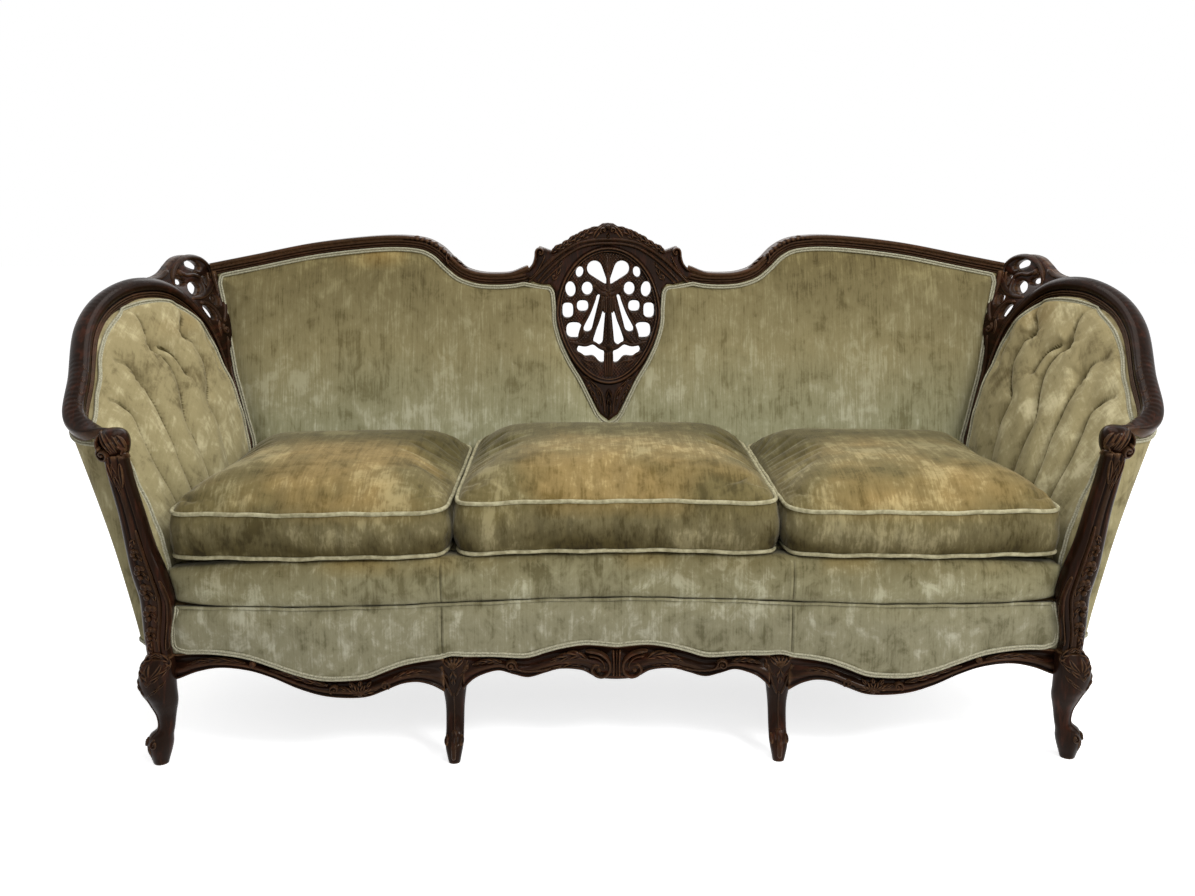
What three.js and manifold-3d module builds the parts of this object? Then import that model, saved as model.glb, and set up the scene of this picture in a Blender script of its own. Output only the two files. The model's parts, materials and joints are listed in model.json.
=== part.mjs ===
// Cabriole sofa: a carved and moulded hardwood show frame with tufted arms, a sprung seat
// and three loose seat cushions.
// Millimetres. +X runs to the right as seen from the front, +Y to the back, +Z up.
// The outlines are shares of the half width, the seat depth and the heights below.

import * as THREE from 'three';
import { mergeVertices } from 'three/addons/utils/BufferGeometryUtils.js';
import Module from 'manifold-3d';

const wasm = await Module();
wasm.setup();

// Overall sizes; the shares of the half width and of the height further on are taken of
// these. The arm rails reach to 0.982 of the half width.
const sofaWidth = 2058;
const sofaHeight = 935;
const seatDepth = 620;
const legHeight = 208;
const seatRailHeight = 85;
const deckHeight = 378;
const clearance = 0.3;

// Plan curve of the seat's front: hollow in the middle, swelling before each arm
const frontRecess = 35;
const frontSwell = 11;
const swellShare = 0.535;
const frontEndShare = 0.778;

// The back rakes above the seat and its ends wrap forward to meet the arms
const rakeShare = 0.28;
const rakeHeight = 450;
const backWrap = 60;
const wrapEndShare = 0.845;

// Show frame
const crestRailHeight = 26;
const crestRailDepth = 50;
const crestProud = 7;
const armRailWidth = 44;
const armRailDepth = 38;
const armRailEndWidth = 17;
const armPostWidth = 57;
const armPostDepth = 48;
const armPostInset = 10;
const scrollWidth = 54;
const scrollDepth = 56;
const scrollHeight = 52;
const backPostWidth = 26;
const backPostDepth = 38;
const cornerCarvingThickness = 18;

// Medallion in the middle of the back
const splatProud = 10;
const splatDepth = 44;
const fretFront = 3;
const fretDepth = 15;
const crestingProud = 15;
const crestingDepth = 34;

// Legs and aprons
const cornerLegWidth = 61;
const cornerLegThrow = 16;
const innerLegWidth = 58;
const innerLegDepth = 48;
const innerLegThrow = 40;
const rearLegWidth = 42;
const rearLegKick = 72;
const rearLegSplay = 26;
const apronProud = 2;
const apronDepth = 30;
const apronRound = 5;

// Seat frame
const seatRailSetback = 14;
const seatRailThickness = 32;
const sideRailThickness = 26;
const braceThickness = 28;
const braceDrop = 22;
const cornerBlockReach = 76;
const cornerBlockDrop = 24;
const lowerBackRailHeight = 40;
const lowerBackRailDepth = 22;
const webbingThickness = 3;
const webbingStrapWidth = 64;
const webbingTack = 13;
const dustCoverThickness = 1.5;
const springWire = 5;
const springWidth = 112;
const springRoll = 50;
const springEdgeRound = 7;
const deckPadding = 28;
const deckSideGap = 3;

// Upholstery
const borderProud = 4;
const borderCrown = 5;
const insideBackDepth = 20;
const insideBackCrown = 16;
const outsideBackThickness = 4;
const tuck = 4;
const armPadding = 22;
const armEdge = 7;
const armCrown = 14;
const outsideArmThickness = 8;
const foldDepth = 13;
const foldWidth = 24;
const tuftDepth = 9;
const tuftWidth = 40;

// Loose cushions
const cushionGap = 3;
const cushionHeight = 82;
const cushionCrown = 60;
const middleCushionRise = 12;
const cushionPull = 9;
const cushionWeltInset = 5;
const cushionOverhang = 6;
const cushionBackGap = 12;
const cushionSideGap = 12;
const cushionCorner = 38;

const halfWidth = sofaWidth / 2;
const railTop = legHeight + seatRailHeight;
const mix = THREE.MathUtils.lerp;
const smoothstep = THREE.MathUtils.smoothstep;

function evenSteps(from, to, count) {
  return Array.from({ length: count + 1 }, (_, i) => mix(from, to, i / count));
}

// Surfaces that carry the show frame

function swing(share) {
  return (1 - Math.cos(Math.PI * THREE.MathUtils.clamp(share, 0, 1))) / 2;
}

function frontY(x) {
  const share = Math.abs(x) / halfWidth;
  if (share < swellShare) {
    return mix(frontRecess, -frontSwell, swing(share / swellShare));
  }
  return mix(-frontSwell, 0, swing((share - swellShare) / (frontEndShare - swellShare)));
}

function backY(x, z) {
  const wrap = Math.pow(Math.abs(x) / (wrapEndShare * halfWidth), 3);
  return seatDepth + rakeShare * Math.max(z - rakeHeight, 0) - backWrap * wrap;
}

function onBack(x, z, behind) {
  return new THREE.Vector3(x, backY(x, z) + behind, z);
}

// Full over most of the way across and falling to nothing at either end
function flatOval(across) {
  const squareness = 6;
  return Math.sqrt(Math.max(1 - Math.pow(Math.abs(across), squareness), 0));
}

// Closed bodies

function bodyFrom(points, triangles) {
  const geometry = new THREE.BufferGeometry();
  const places = points.flatMap((point) => [point.x, point.y, point.z]);
  geometry.setAttribute('position', new THREE.Float32BufferAttribute(places, 3));
  geometry.setIndex(triangles.flat());
  return facingOut(geometry);
}

function signedVolume(geometry) {
  const place = geometry.attributes.position;
  const index = geometry.index.array;
  const [a, b, c] = [new THREE.Vector3(), new THREE.Vector3(), new THREE.Vector3()];
  let volume = 0;
  for (let i = 0; i < index.length; i += 3) {
    a.fromBufferAttribute(place, index[i]);
    b.fromBufferAttribute(place, index[i + 1]);
    c.fromBufferAttribute(place, index[i + 2]);
    volume += a.dot(b.cross(c));
  }
  return volume;
}

function facingOut(geometry) {
  if (signedVolume(geometry) < 0) {
    const index = geometry.index.array;
    for (let i = 0; i < index.length; i += 3) {
      [index[i], index[i + 1]] = [index[i + 1], index[i]];
    }
  }
  return geometry;
}

function mirrored(geometry) {
  const copy = geometry.clone();
  copy.scale(-1, 1, 1);
  return facingOut(copy);
}

function bothSides(...geometries) {
  return geometries.flatMap((geometry) => [geometry, mirrored(geometry)]);
}

// Rings of equal count, joined in a row and closed with a fan over each end
function loft(rings) {
  const points = rings.flat();
  const count = rings[0].length;
  const triangles = [];
  for (let r = 0; r + 1 < rings.length; r++) {
    for (let i = 0; i < count; i++) {
      const a = r * count + i;
      const b = r * count + ((i + 1) % count);
      triangles.push([a, b, b + count], [a, b + count, a + count]);
    }
  }
  const lastStart = (rings.length - 1) * count;
  const ends = [[rings[0], 0, 1], [rings[rings.length - 1], lastStart, -1]];
  for (const [ring, start, turn] of ends) {
    const centre = ring.reduce((sum, point) => sum.add(point), new THREE.Vector3());
    points.push(centre.divideScalar(count));
    for (let i = 0; i < count; i++) {
      const pair = [start + i, start + ((i + 1) % count)];
      const tip = points.length - 1;
      triangles.push(turn > 0 ? [tip, pair[1], pair[0]] : [tip, ...pair]);
    }
  }
  return bodyFrom(points, triangles);
}

// Two skins over the same grid of columns and rows, joined round their edge
function slab(near, far, columns, rows) {
  const points = [];
  const triangles = [];
  const at = (side, i, j) => side * (columns + 1) * (rows + 1) + j * (columns + 1) + i;
  for (const skin of [near, far]) {
    for (let j = 0; j <= rows; j++) {
      for (let i = 0; i <= columns; i++) {
        points.push(skin(i / columns, j / rows));
      }
    }
  }
  const quad = (a, b, c, d) => triangles.push([a, b, c], [a, c, d]);
  for (let j = 0; j < rows; j++) {
    for (let i = 0; i < columns; i++) {
      quad(at(0, i, j), at(0, i + 1, j), at(0, i + 1, j + 1), at(0, i, j + 1));
      quad(at(1, i, j), at(1, i, j + 1), at(1, i + 1, j + 1), at(1, i + 1, j));
    }
  }
  for (let i = 0; i < columns; i++) {
    quad(at(0, i + 1, 0), at(0, i, 0), at(1, i, 0), at(1, i + 1, 0));
    quad(at(0, i, rows), at(0, i + 1, rows), at(1, i + 1, rows), at(1, i, rows));
  }
  for (let j = 0; j < rows; j++) {
    quad(at(0, 0, j), at(0, 0, j + 1), at(1, 0, j + 1), at(1, 0, j));
    quad(at(0, columns, j + 1), at(0, columns, j), at(1, columns, j), at(1, columns, j + 1));
  }
  return bodyFrom(points, triangles);
}

// A flat outline given a thickness, each point of it then put in place by a rule
function plate(shape, thickness, place) {
  const geometry = new THREE.ExtrudeGeometry(shape, { depth: thickness, bevelEnabled: false });
  const position = geometry.attributes.position;
  const point = new THREE.Vector3();
  for (let i = 0; i < position.count; i++) {
    point.fromBufferAttribute(position, i);
    const put = place(point.x, point.y, point.z);
    position.setXYZ(i, put.x, put.y, put.z);
  }
  return facingOut(welded(geometry));
}

function welded(geometry) {
  const plain = geometry.clone();
  plain.deleteAttribute('normal');
  plain.deleteAttribute('uv');
  return mergeVertices(plain);
}

const leveled = (x, y, z) => new THREE.Vector3(x, y, z);

// Joining and cutting

function toSolid(geometry) {
  const whole = welded(geometry);
  return new wasm.Manifold(new wasm.Mesh({
    numProp: 3,
    vertProperties: new Float32Array(whole.attributes.position.array),
    triVerts: new Uint32Array(whole.index.array),
  }));
}

function toGeometry(solid) {
  const mesh = solid.getMesh();
  const geometry = new THREE.BufferGeometry();
  geometry.setAttribute('position', new THREE.Float32BufferAttribute(mesh.vertProperties, mesh.numProp));
  geometry.setIndex([...mesh.triVerts]);
  return geometry;
}

// The solid that stays when a cut leaves loose crumbs beside it
function mainBody(geometry) {
  const index = geometry.index.array;
  const parent = [...Array(geometry.attributes.position.count).keys()];
  const root = (vertex) => {
    let top = vertex;
    while (parent[top] !== top) {
      parent[top] = parent[parent[top]];
      top = parent[top];
    }
    return top;
  };
  for (let i = 0; i < index.length; i += 3) {
    parent[root(index[i + 1])] = root(index[i]);
    parent[root(index[i + 2])] = root(index[i]);
  }
  const bodies = new Map();
  for (let i = 0; i < index.length; i += 3) {
    const key = root(index[i]);
    if (!bodies.has(key)) {
      bodies.set(key, []);
    }
    bodies.get(key).push(index[i], index[i + 1], index[i + 2]);
  }
  const pieces = [...bodies.values()].map((corners) => {
    const piece = geometry.clone();
    piece.setIndex(corners);
    return piece;
  });
  const largest = pieces.reduce((best, piece) => (
    signedVolume(piece) > signedVolume(best) ? piece : best));
  return compact(largest);
}

function compact(geometry) {
  const place = geometry.attributes.position;
  const order = new Map();
  const points = [];
  const corners = [...geometry.index.array].map((corner) => {
    if (!order.has(corner)) {
      order.set(corner, points.length);
      points.push(new THREE.Vector3().fromBufferAttribute(place, corner));
    }
    return order.get(corner);
  });
  return bodyFrom(points, corners);
}

// The same body with every face moved out by a margin
function grown(geometry, margin) {
  const whole = welded(geometry);
  const place = whole.attributes.position;
  const index = whole.index.array;
  const normals = Array.from({ length: place.count }, () => []);
  const face = new THREE.Triangle();
  for (let i = 0; i < index.length; i += 3) {
    face.setFromAttributeAndIndices(place, index[i], index[i + 1], index[i + 2]);
    const normal = face.getNormal(new THREE.Vector3());
    if (normal.lengthSq() > 0) {
      [0, 1, 2].forEach((corner) => normals[index[i + corner]].push(normal));
    }
  }
  const moved = normals.map((around, i) => (
    new THREE.Vector3().fromBufferAttribute(place, i).add(cornerShift(around, margin))));
  return bodyFrom(moved, [...index]);
}

// The shift that moves a corner out of all the faces around it by the same margin
function cornerShift(around, margin) {
  const settle = 0.02;
  const mean = around.reduce((sum, normal) => sum.add(normal), new THREE.Vector3()).normalize();
  const sums = [settle, 0, 0, 0, settle, 0, 0, 0, settle];
  const target = mean.clone().multiplyScalar(settle * margin);
  for (const normal of around) {
    const parts = normal.toArray();
    parts.forEach((a, row) => parts.forEach((b, column) => {
      sums[row * 3 + column] += a * b / around.length;
    }));
    target.addScaledVector(normal, margin / around.length);
  }
  const shift = target.applyMatrix3(new THREE.Matrix3().set(...sums).invert());
  return shift.clampLength(margin, 2 * margin);
}

function joined(first, ...others) {
  return toGeometry(others.reduce((sum, other) => sum.add(toSolid(other)), toSolid(first)));
}

// A body trimmed back from its neighbours, with the clearance between them
function fitted(geometry, neighbours) {
  const solid = neighbours.reduce(
    (body, neighbour) => body.subtract(toSolid(grown(neighbour, clearance))), toSolid(geometry));
  return mainBody(toGeometry(solid));
}

// Curves and sections

function curveThrough(points) {
  return new THREE.CatmullRomCurve3(points, false, 'centripetal');
}

// Rows of shares turned into even steps along one smooth line
function smoothRows(rows, steps) {
  const curve = curveThrough(rows.map((row) => new THREE.Vector3(...row)));
  return curve.getPoints(steps).map((point) => point.toArray());
}

function heightAt(rows, x) {
  const next = rows.findIndex((row) => row[0] >= x);
  if (next <= 0) {
    return next === 0 ? rows[0][1] : rows[rows.length - 1][1];
  }
  const [from, to] = [rows[next - 1], rows[next]];
  return mix(from[1], to[1], (x - from[0]) / (to[0] - from[0]));
}

// Section shares: first across the rail, then towards the side that it faces
const mouldingShares = [
  [1, 0.05], [0.8, 0.74], [0.3, 1], [-0.3, 0.52], [-0.62, 0.8], [-1, 0.5],
  [-1, -0.8], [-0.6, -1], [0.6, -1], [1, -0.7],
];
const plainShares = [[1.03, 1.03], [-1.03, 1.03], [-1.03, -1.03], [1.03, -1.03]];
const blockShares = [
  [1, 0.55], [0.62, 1], [-0.62, 1], [-1, 0.55], [-1, -0.62], [-0.62, -1], [0.62, -1], [1, -0.62],
];
const reededShares = [
  [1, 0.5], [0.72, 0.96], [0.26, 0.9], [0, 0.68], [-0.26, 0.9], [-0.72, 0.96], [-1, 0.5],
  [-1, -0.8], [-0.8, -1], [0.8, -1], [1, -0.8],
];

function moulding({ curve, facing, halfAcross, halfDeep, steps, section }) {
  const rings = [];
  for (let step = 0; step <= steps; step++) {
    const share = step / steps;
    const centre = curve.getPointAt(share);
    const along = curve.getTangentAt(share);
    const face = facing(centre);
    face.addScaledVector(along, -face.dot(along)).normalize();
    const side = new THREE.Vector3().crossVectors(along, face);
    rings.push(section.map(([across, out]) => centre.clone()
      .addScaledVector(side, across * halfAcross(share))
      .addScaledVector(face, out * halfDeep)));
  }
  return loft(rings);
}

// Level rings up a leg or a post; the section's second share faces the front
function upright(levels, section) {
  return loft(levels.map(({ x, y, z, halfX, halfY, turn = 0 }) => section.map(([across, out]) => (
    new THREE.Vector3(across * halfX, -out * halfY, 0)
      .applyAxisAngle(new THREE.Vector3(0, 0, 1), turn)
      .add(new THREE.Vector3(x, y, z))))));
}

// Crest rail: from the corner down to the medallion
const crestShares = [
  [0.848, 0.894], [0.754, 0.914], [0.63, 0.94], [0.486, 0.956], [0.428, 0.955], [0.394, 0.948],
  [0.367, 0.932], [0.342, 0.906], [0.317, 0.884], [0.282, 0.871], [0.238, 0.868], [0.17, 0.881],
];

function crestRail(section) {
  const behind = crestRailDepth / 2 - crestProud;
  return moulding({
    curve: curveThrough(crestShares.map(([x, z]) => onBack(x * halfWidth, z * sofaHeight, behind))),
    facing: () => new THREE.Vector3(0, -1, 0),
    halfAcross: () => crestRailHeight / 2,
    halfDeep: crestRailDepth / 2,
    steps: 18,
    section,
  });
}

// Medallion: a pierced oval in a frame that runs down to a point
const splatShares = [
  [0, 0.959], [0.05, 0.954], [0.095, 0.934], [0.122, 0.921], [0.134, 0.94], [0.15, 0.945],
  [0.159, 0.93], [0.156, 0.91], [0.168, 0.892], [0.18, 0.886], [0.18, 0.855], [0.146, 0.853],
  [0.126, 0.855], [0.115, 0.838], [0.111, 0.8], [0.11, 0.763], [0.099, 0.72], [0.081, 0.677],
  [0.057, 0.635], [0.037, 0.593], [0.019, 0.555], [0, 0.541],
];
const crestingShares = [
  [0, 0.998], [0.021, 0.994], [0.037, 0.986], [0.05, 0.982], [0.062, 0.972], [0.077, 0.968],
  [0.09, 0.954], [0.103, 0.95], [0.114, 0.938], [0.108, 0.924], [0.08, 0.93], [0.044, 0.946],
  [0, 0.951],
];
const ovalWidthShare = 0.102;
const ovalHeightShare = 0.1465;
const ovalCentreShare = 0.784;
// The oval narrows towards its foot
const ovalTaperShare = 0.16;
// Fretwork: each hole as [x, z, half width, half height] in shares of the oval's half sizes
const fretRoundShares = [
  [0.29, 0.71, 0.125, 0.1], [0.585, 0.66, 0.062, 0.07], [0.78, 0.39, 0.08, 0.1],
  [0.435, 0.41, 0.095, 0.09], [0.835, 0.07, 0.085, 0.09], [0.53, 0.13, 0.095, 0.075],
  [0.72, -0.26, 0.12, 0.1],
];
// Slots as [x, z, end radius] at the head and at the foot
const fretSlotShares = [
  [[0.14, 0.56, 0.07], [0.07, 0.47, 0.03]],
  [[0.22, 0.28, 0.03], [0.42, -0.14, 0.085]],
  [[0.1, 0.02, 0.03], [0.2, -0.34, 0.08]],
];
const fretWingShares = [
  [0.13, -0.53], [0.43, -0.42], [0.6, -0.52], [0.56, -0.63], [0.32, -0.65], [0.14, -0.73],
];

function symmetricShape(shares, wide, high) {
  const right = shares.map(([x, z]) => new THREE.Vector2(x * wide, z * high));
  const left = right.filter((point) => point.x > 0).reverse();
  return new THREE.Shape([...right, ...left.map((point) => new THREE.Vector2(-point.x, point.y))]);
}

function ovalPoint(shareX, shareZ, reach = 0) {
  const narrowing = 1 - ovalTaperShare * Math.max(-shareZ, 0);
  return new THREE.Vector2(
    shareX * (ovalWidthShare * halfWidth + reach) * narrowing,
    ovalCentreShare * sofaHeight + shareZ * (ovalHeightShare * sofaHeight + reach));
}

function ovalPath(reach) {
  const steps = 24;
  return new THREE.Path(Array.from({ length: steps }, (_, i) => {
    const angle = 2 * Math.PI * i / steps;
    return ovalPoint(Math.cos(angle), Math.sin(angle), reach);
  }));
}

function roundHole([x, z, halfX, halfZ], side) {
  const steps = 6;
  return new THREE.Path(Array.from({ length: steps }, (_, i) => {
    const angle = 2 * Math.PI * (i + 1 / 2) / steps;
    return ovalPoint(side * (x + halfX * Math.cos(angle)), z + halfZ * Math.sin(angle));
  }));
}

function slotHole([head, foot], side) {
  const lean = Math.atan2(foot[1] - head[1], foot[0] - head[0]);
  const steps = 4;
  const endArc = ([x, z, radius], start) => Array.from({ length: steps }, (_, i) => {
    const angle = start + Math.PI * i / (steps - 1);
    return ovalPoint(side * (x + radius * Math.cos(angle)), z + radius * Math.sin(angle));
  });
  return new THREE.Path([...endArc(head, lean + Math.PI / 2), ...endArc(foot, lean - Math.PI / 2)]);
}

function wingHole(side) {
  return new THREE.Path(fretWingShares.map(([x, z]) => ovalPoint(side * x, z)));
}

function splatPlate(holes) {
  const frame = symmetricShape(splatShares, halfWidth, sofaHeight);
  frame.holes.push(...holes);
  return plate(frame, splatDepth, (x, z, deep) => onBack(x, z, deep - splatProud));
}

function medallionSplat() {
  const fret = new THREE.Shape(ovalPath(fretFront).getPoints());
  for (const side of [1, -1]) {
    fret.holes.push(...fretRoundShares.map((hole) => roundHole(hole, side)));
    fret.holes.push(...fretSlotShares.map((hole) => slotHole(hole, side)));
    fret.holes.push(wingHole(side));
  }
  return joined(
    splatPlate([ovalPath(0)]),
    plate(fret, fretDepth, (x, z, deep) => onBack(x, z, deep + fretFront)));
}

function medallionCresting() {
  const shape = symmetricShape(crestingShares, halfWidth, sofaHeight);
  return plate(shape, crestingDepth, (x, z, deep) => onBack(x, z, deep - crestingProud));
}

// Arm rail: from the scroll outwards, up over the arm and down the corner to the seat
const armRailShares = [
  [0.84, 0.012, 0.642], [0.915, 0.1, 0.65], [0.94, 0.258, 0.719], [0.96, 0.42, 0.802],
  [0.953, 0.54, 0.845], [0.926, 0.685, 0.868], [0.886, 0.826, 0.853], [0.839, 0.921, 0.779],
  [0.812, 0.948, 0.684], [0.796, 0.939, 0.572], [0.778, 0.925, 0.449],
];
const armRailTaperShare = 0.55;
const armFocusShares = [0.15, -0.5];

function inSofa([x, y, z]) {
  return new THREE.Vector3(x * halfWidth, y * seatDepth, z * sofaHeight);
}

const armRailCurve = curveThrough(armRailShares.map(inSofa));

function inwardFrom(point) {
  return inSofa([...armFocusShares, 0]).setZ(point.z).sub(point);
}

function armRail(section) {
  return moulding({
    curve: armRailCurve,
    facing: inwardFrom,
    halfAcross: (share) => (
      mix(armRailWidth, armRailEndWidth, smoothstep(share, armRailTaperShare, 1)) / 2),
    halfDeep: armRailDepth / 2,
    steps: 20,
    section,
  });
}

// Arm post rows: share of its height, x as a share of the half width, share of its width
const armPostShares = [
  [0, 0.78, 0.72], [0.1, 0.782, 0.75], [0.2, 0.779, 0.9], [0.3, 0.778, 1], [0.42, 0.788, 1],
  [0.55, 0.799, 0.84], [0.72, 0.81, 0.7], [0.88, 0.822, 0.62], [1, 0.829, 0.6],
];
const scrollPlaceShares = [0.833, 0.003, 0.621];
const scrollShares = [
  [-0.95, 0.4], [-0.7, 0.82], [-0.2, 1], [0.3, 0.96], [0.72, 0.72], [0.97, 0.3],
];

function armScroll() {
  const centre = inSofa(scrollPlaceShares);
  return upright(scrollShares.map(([level, width]) => ({
    x: centre.x,
    y: centre.y,
    z: centre.z + level * scrollHeight / 2,
    halfX: width * scrollWidth / 2,
    halfY: width * scrollDepth / 2,
  })), blockShares);
}

const armPostFoot = legHeight + clearance;
const armPostHead = scrollPlaceShares[2] * sofaHeight - scrollHeight / 4;
const armPostLevels = smoothRows(armPostShares, 9).map(([level, x, width]) => ({
  x: x * halfWidth,
  y: -armPostInset,
  z: mix(armPostFoot, armPostHead, level),
  halfX: width * armPostWidth / 2,
  halfY: mix(width, 1, 1 / 2) * armPostDepth / 2,
}));

function armPost(section) {
  return upright(armPostLevels, section);
}

// Where the front's covers end: the arm post's inner side at a height
function coverEndX(z) {
  const rows = armPostLevels.map((level) => [level.z, level.x - level.halfX]);
  return Math.min(heightAt(rows, z), cornerLegInnerX) - clearance;
}

// Back post: x as a share of the half width against height
const backPostShares = [
  [0.754, 0.223], [0.756, 0.321], [0.758, 0.42], [0.768, 0.509], [0.779, 0.552], [0.79, 0.596],
  [0.806, 0.657], [0.818, 0.734], [0.828, 0.799], [0.845, 0.882],
];

function backPostX(z) {
  const rows = backPostShares.map(([x, level]) => [level * sofaHeight, x * halfWidth]);
  return heightAt(rows, z);
}

function backPost(section) {
  const foot = legHeight + clearance;
  const head = backPostShares[backPostShares.length - 1][1] * sofaHeight;
  const levels = [
    ...evenSteps(foot, rakeHeight, 4).slice(0, -1), ...evenSteps(rakeHeight, head, 8)];
  return loft(levels.map((z) => section.map(([across, out]) => onBack(
    backPostX(z) + across * backPostWidth / 2, z, (1 - out) * backPostDepth / 2))));
}

// Corner carving: a plate in the upright plane between the arm rail and the back post.
// Its outline gives shares of the way along that plane and of the sofa's height.
const carvingStartShares = [0.935, 0.685];
const carvingEndShares = [0.843, 1.113];
const carvingShares = [
  [0.02, 0.866], [0.16, 0.879], [0.3, 0.896], [0.42, 0.913], [0.56, 0.924], [0.7, 0.918],
  [0.8, 0.908], [0.92, 0.911], [1, 0.896], [0.93, 0.87], [0.88, 0.8], [0.84, 0.734], [0.8, 0.657],
  [0.74, 0.596], [0.69, 0.64], [0.66, 0.734], [0.6, 0.78], [0.5, 0.822], [0.34, 0.852], [0.16, 0.864],
];
// Openings through the carving as [along, height, half size along, half height]
const carvingHoleShares = [
  [0.42, 0.893, 0.055, 0.012], [0.64, 0.898, 0.06, 0.011], [0.56, 0.868, 0.06, 0.011],
  [0.76, 0.872, 0.045, 0.013], [0.7, 0.826, 0.05, 0.017], [0.77, 0.78, 0.035, 0.012],
];
const carvingLeanHeight = 126;
const carvingLean = 55;

function carvingPlace(along, z, deep) {
  const start = inSofa([...carvingStartShares, 0]).setZ(z);
  const end = inSofa([...carvingEndShares, 0]).setZ(z);
  const way = end.clone().sub(start);
  const inward = new THREE.Vector3(-way.y, way.x, 0).normalize();
  const drop = (carvingShares[0][1] * sofaHeight - z) / carvingLeanHeight;
  const lean = carvingLean * (drop < 0 ? drop : 1 - Math.pow(Math.max(1 - drop, 0), 2));
  return start.addScaledVector(way, along).addScaledVector(inward, lean + deep);
}

function cornerCarving() {
  const shape = new THREE.Shape(carvingShares.map(([along, z]) => new THREE.Vector2(along, z)));
  for (const [along, level, halfAlong, halfLevel] of carvingHoleShares) {
    const steps = 6;
    shape.holes.push(new THREE.Path(Array.from({ length: steps }, (_, i) => {
      const angle = 2 * Math.PI * i / steps;
      return new THREE.Vector2(
        along + halfAlong * Math.cos(angle), level + halfLevel * Math.sin(angle));
    })));
  }
  return plate(shape, 1, (along, level, deep) => (
    carvingPlace(along, level * sofaHeight, (deep - 1 / 2) * cornerCarvingThickness)));
}

// Front corner leg rows from the floor: height share, outward and forward throw shares,
// width share. The knee comes forward of the arm post, the foot stands behind its middle.
const cornerLegPlaceShare = 0.78;
const cornerLegShares = [
  [0, 1, -0.6, 0.42], [0.05, 1, -0.6, 0.52], [0.19, 0.9, -0.52, 0.74], [0.27, 0.62, -0.36, 0.66],
  [0.35, 0.02, -0.3, 0.48], [0.46, -0.08, -0.2, 0.56], [0.59, 0.06, 0.06, 0.82],
  [0.7, 0.34, 0.34, 0.98], [0.84, 0.38, 0.38, 1], [1, 0, 0, 0.8],
];
// Inner leg rows: height share, throw share, width share, depth share
const innerLegPlaceShare = 0.284;
const innerLegShares = [
  [0, 1, 0.35, 0.46], [0.04, 1, 0.45, 0.54], [0.13, 0.88, 0.62, 0.7], [0.25, 0.4, 0.55, 0.56],
  [0.48, 0.1, 0.6, 0.62], [0.67, 0.17, 0.79, 0.84], [0.85, 0.25, 1, 1], [0.91, 0.18, 0.94, 0.96],
  [0.93, -0.13, 0.86, 0.62], [1, -0.13, 0.8, 0.62],
];
const rearLegShares = [[0, 1, 0.66], [0.3, 0.62, 0.76], [0.62, 0.24, 0.9], [1, 0, 1]];

const cornerLegHeadShare = cornerLegShares[cornerLegShares.length - 1][3];
const cornerLegInnerX = cornerLegPlaceShare * halfWidth - cornerLegHeadShare * cornerLegWidth / 2;

function cornerLeg() {
  return upright(cornerLegShares.map(([level, outward, forward, width]) => ({
    x: cornerLegPlaceShare * halfWidth + outward * cornerLegThrow,
    y: -armPostInset - forward * cornerLegThrow,
    z: level * legHeight,
    halfX: width * cornerLegWidth / 2,
    halfY: width * cornerLegWidth / 2,
    turn: Math.PI / 4 * smoothstep(1 - level, 0, 1 / 2),
  })), blockShares);
}

function innerLeg() {
  const x = innerLegPlaceShare * halfWidth;
  const seat = frontY(x) + seatRailSetback + innerLegDepth / 4;
  return upright(innerLegShares.map(([level, reach, width, depth]) => ({
    x,
    y: seat - reach * innerLegThrow,
    z: level * legHeight,
    halfX: width * innerLegWidth / 2,
    halfY: depth * innerLegDepth / 2,
  })), blockShares);
}

function rearLeg() {
  const head = legHeight;
  const topX = backPostX(head);
  const topY = backY(topX, head) + backPostDepth / 2;
  return upright(rearLegShares.map(([level, reach, width]) => ({
    x: topX - reach * rearLegSplay,
    y: topY + reach * rearLegKick,
    z: level * head,
    halfX: width * rearLegWidth / 2,
    halfY: width * rearLegWidth / 2,
  })), blockShares);
}

// Aprons: x share, then the upper and the lower edge as shares of the leg height
const sideApronShares = [
  [cornerLegInnerX / halfWidth, 0.99, 0.77], [0.72, 1.005, 0.84], [0.68, 1, 0.88], [0.63, 0.965, 0.86],
  [0.59, 0.9, 0.8], [0.545, 0.82, 0.7], [0.505, 0.775, 0.635], [0.465, 0.77, 0.61],
  [0.43, 0.785, 0.615], [0.4, 0.84, 0.665], [0.37, 0.89, 0.72], [0.34, 0.915, 0.73],
  [0.3, 0.93, 0.65],
];
const centreApronShares = [
  [0.268, 0.94, 0.7], [0.235, 0.935, 0.77], [0.205, 0.925, 0.8], [0.18, 0.91, 0.755],
  [0.155, 0.905, 0.72], [0.125, 0.945, 0.755], [0.1, 0.975, 0.785], [0.06, 1.005, 0.765],
  [0.035, 1, 0.7], [0, 0.98, 0.68],
];

function apronBody(samples) {
  const columns = samples.length - 1;
  const skin = (behind, round) => (u, v) => {
    const [x, upper, lower] = samples[Math.round(u * columns)];
    const bulge = round * Math.sin(Math.PI * v);
    const z = mix(lower, upper, v) * legHeight;
    return new THREE.Vector3(x * halfWidth, frontY(x * halfWidth) + behind - bulge, z);
  };
  return slab(skin(-apronProud, apronRound), skin(apronDepth, 0), columns, 2);
}

function sideApronRows() {
  return smoothRows(sideApronShares, 16);
}

function centreApronRows() {
  const left = centreApronShares.map(([x, ...edges]) => [-x, ...edges]);
  const right = centreApronShares.slice(0, -1).reverse();
  return smoothRows([...left, ...right], 26);
}

// Seat frame, sprung platform and covers below it

const railEndX = cornerLegPlaceShare * halfWidth + clearance;
const frontColumns = 24;

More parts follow.
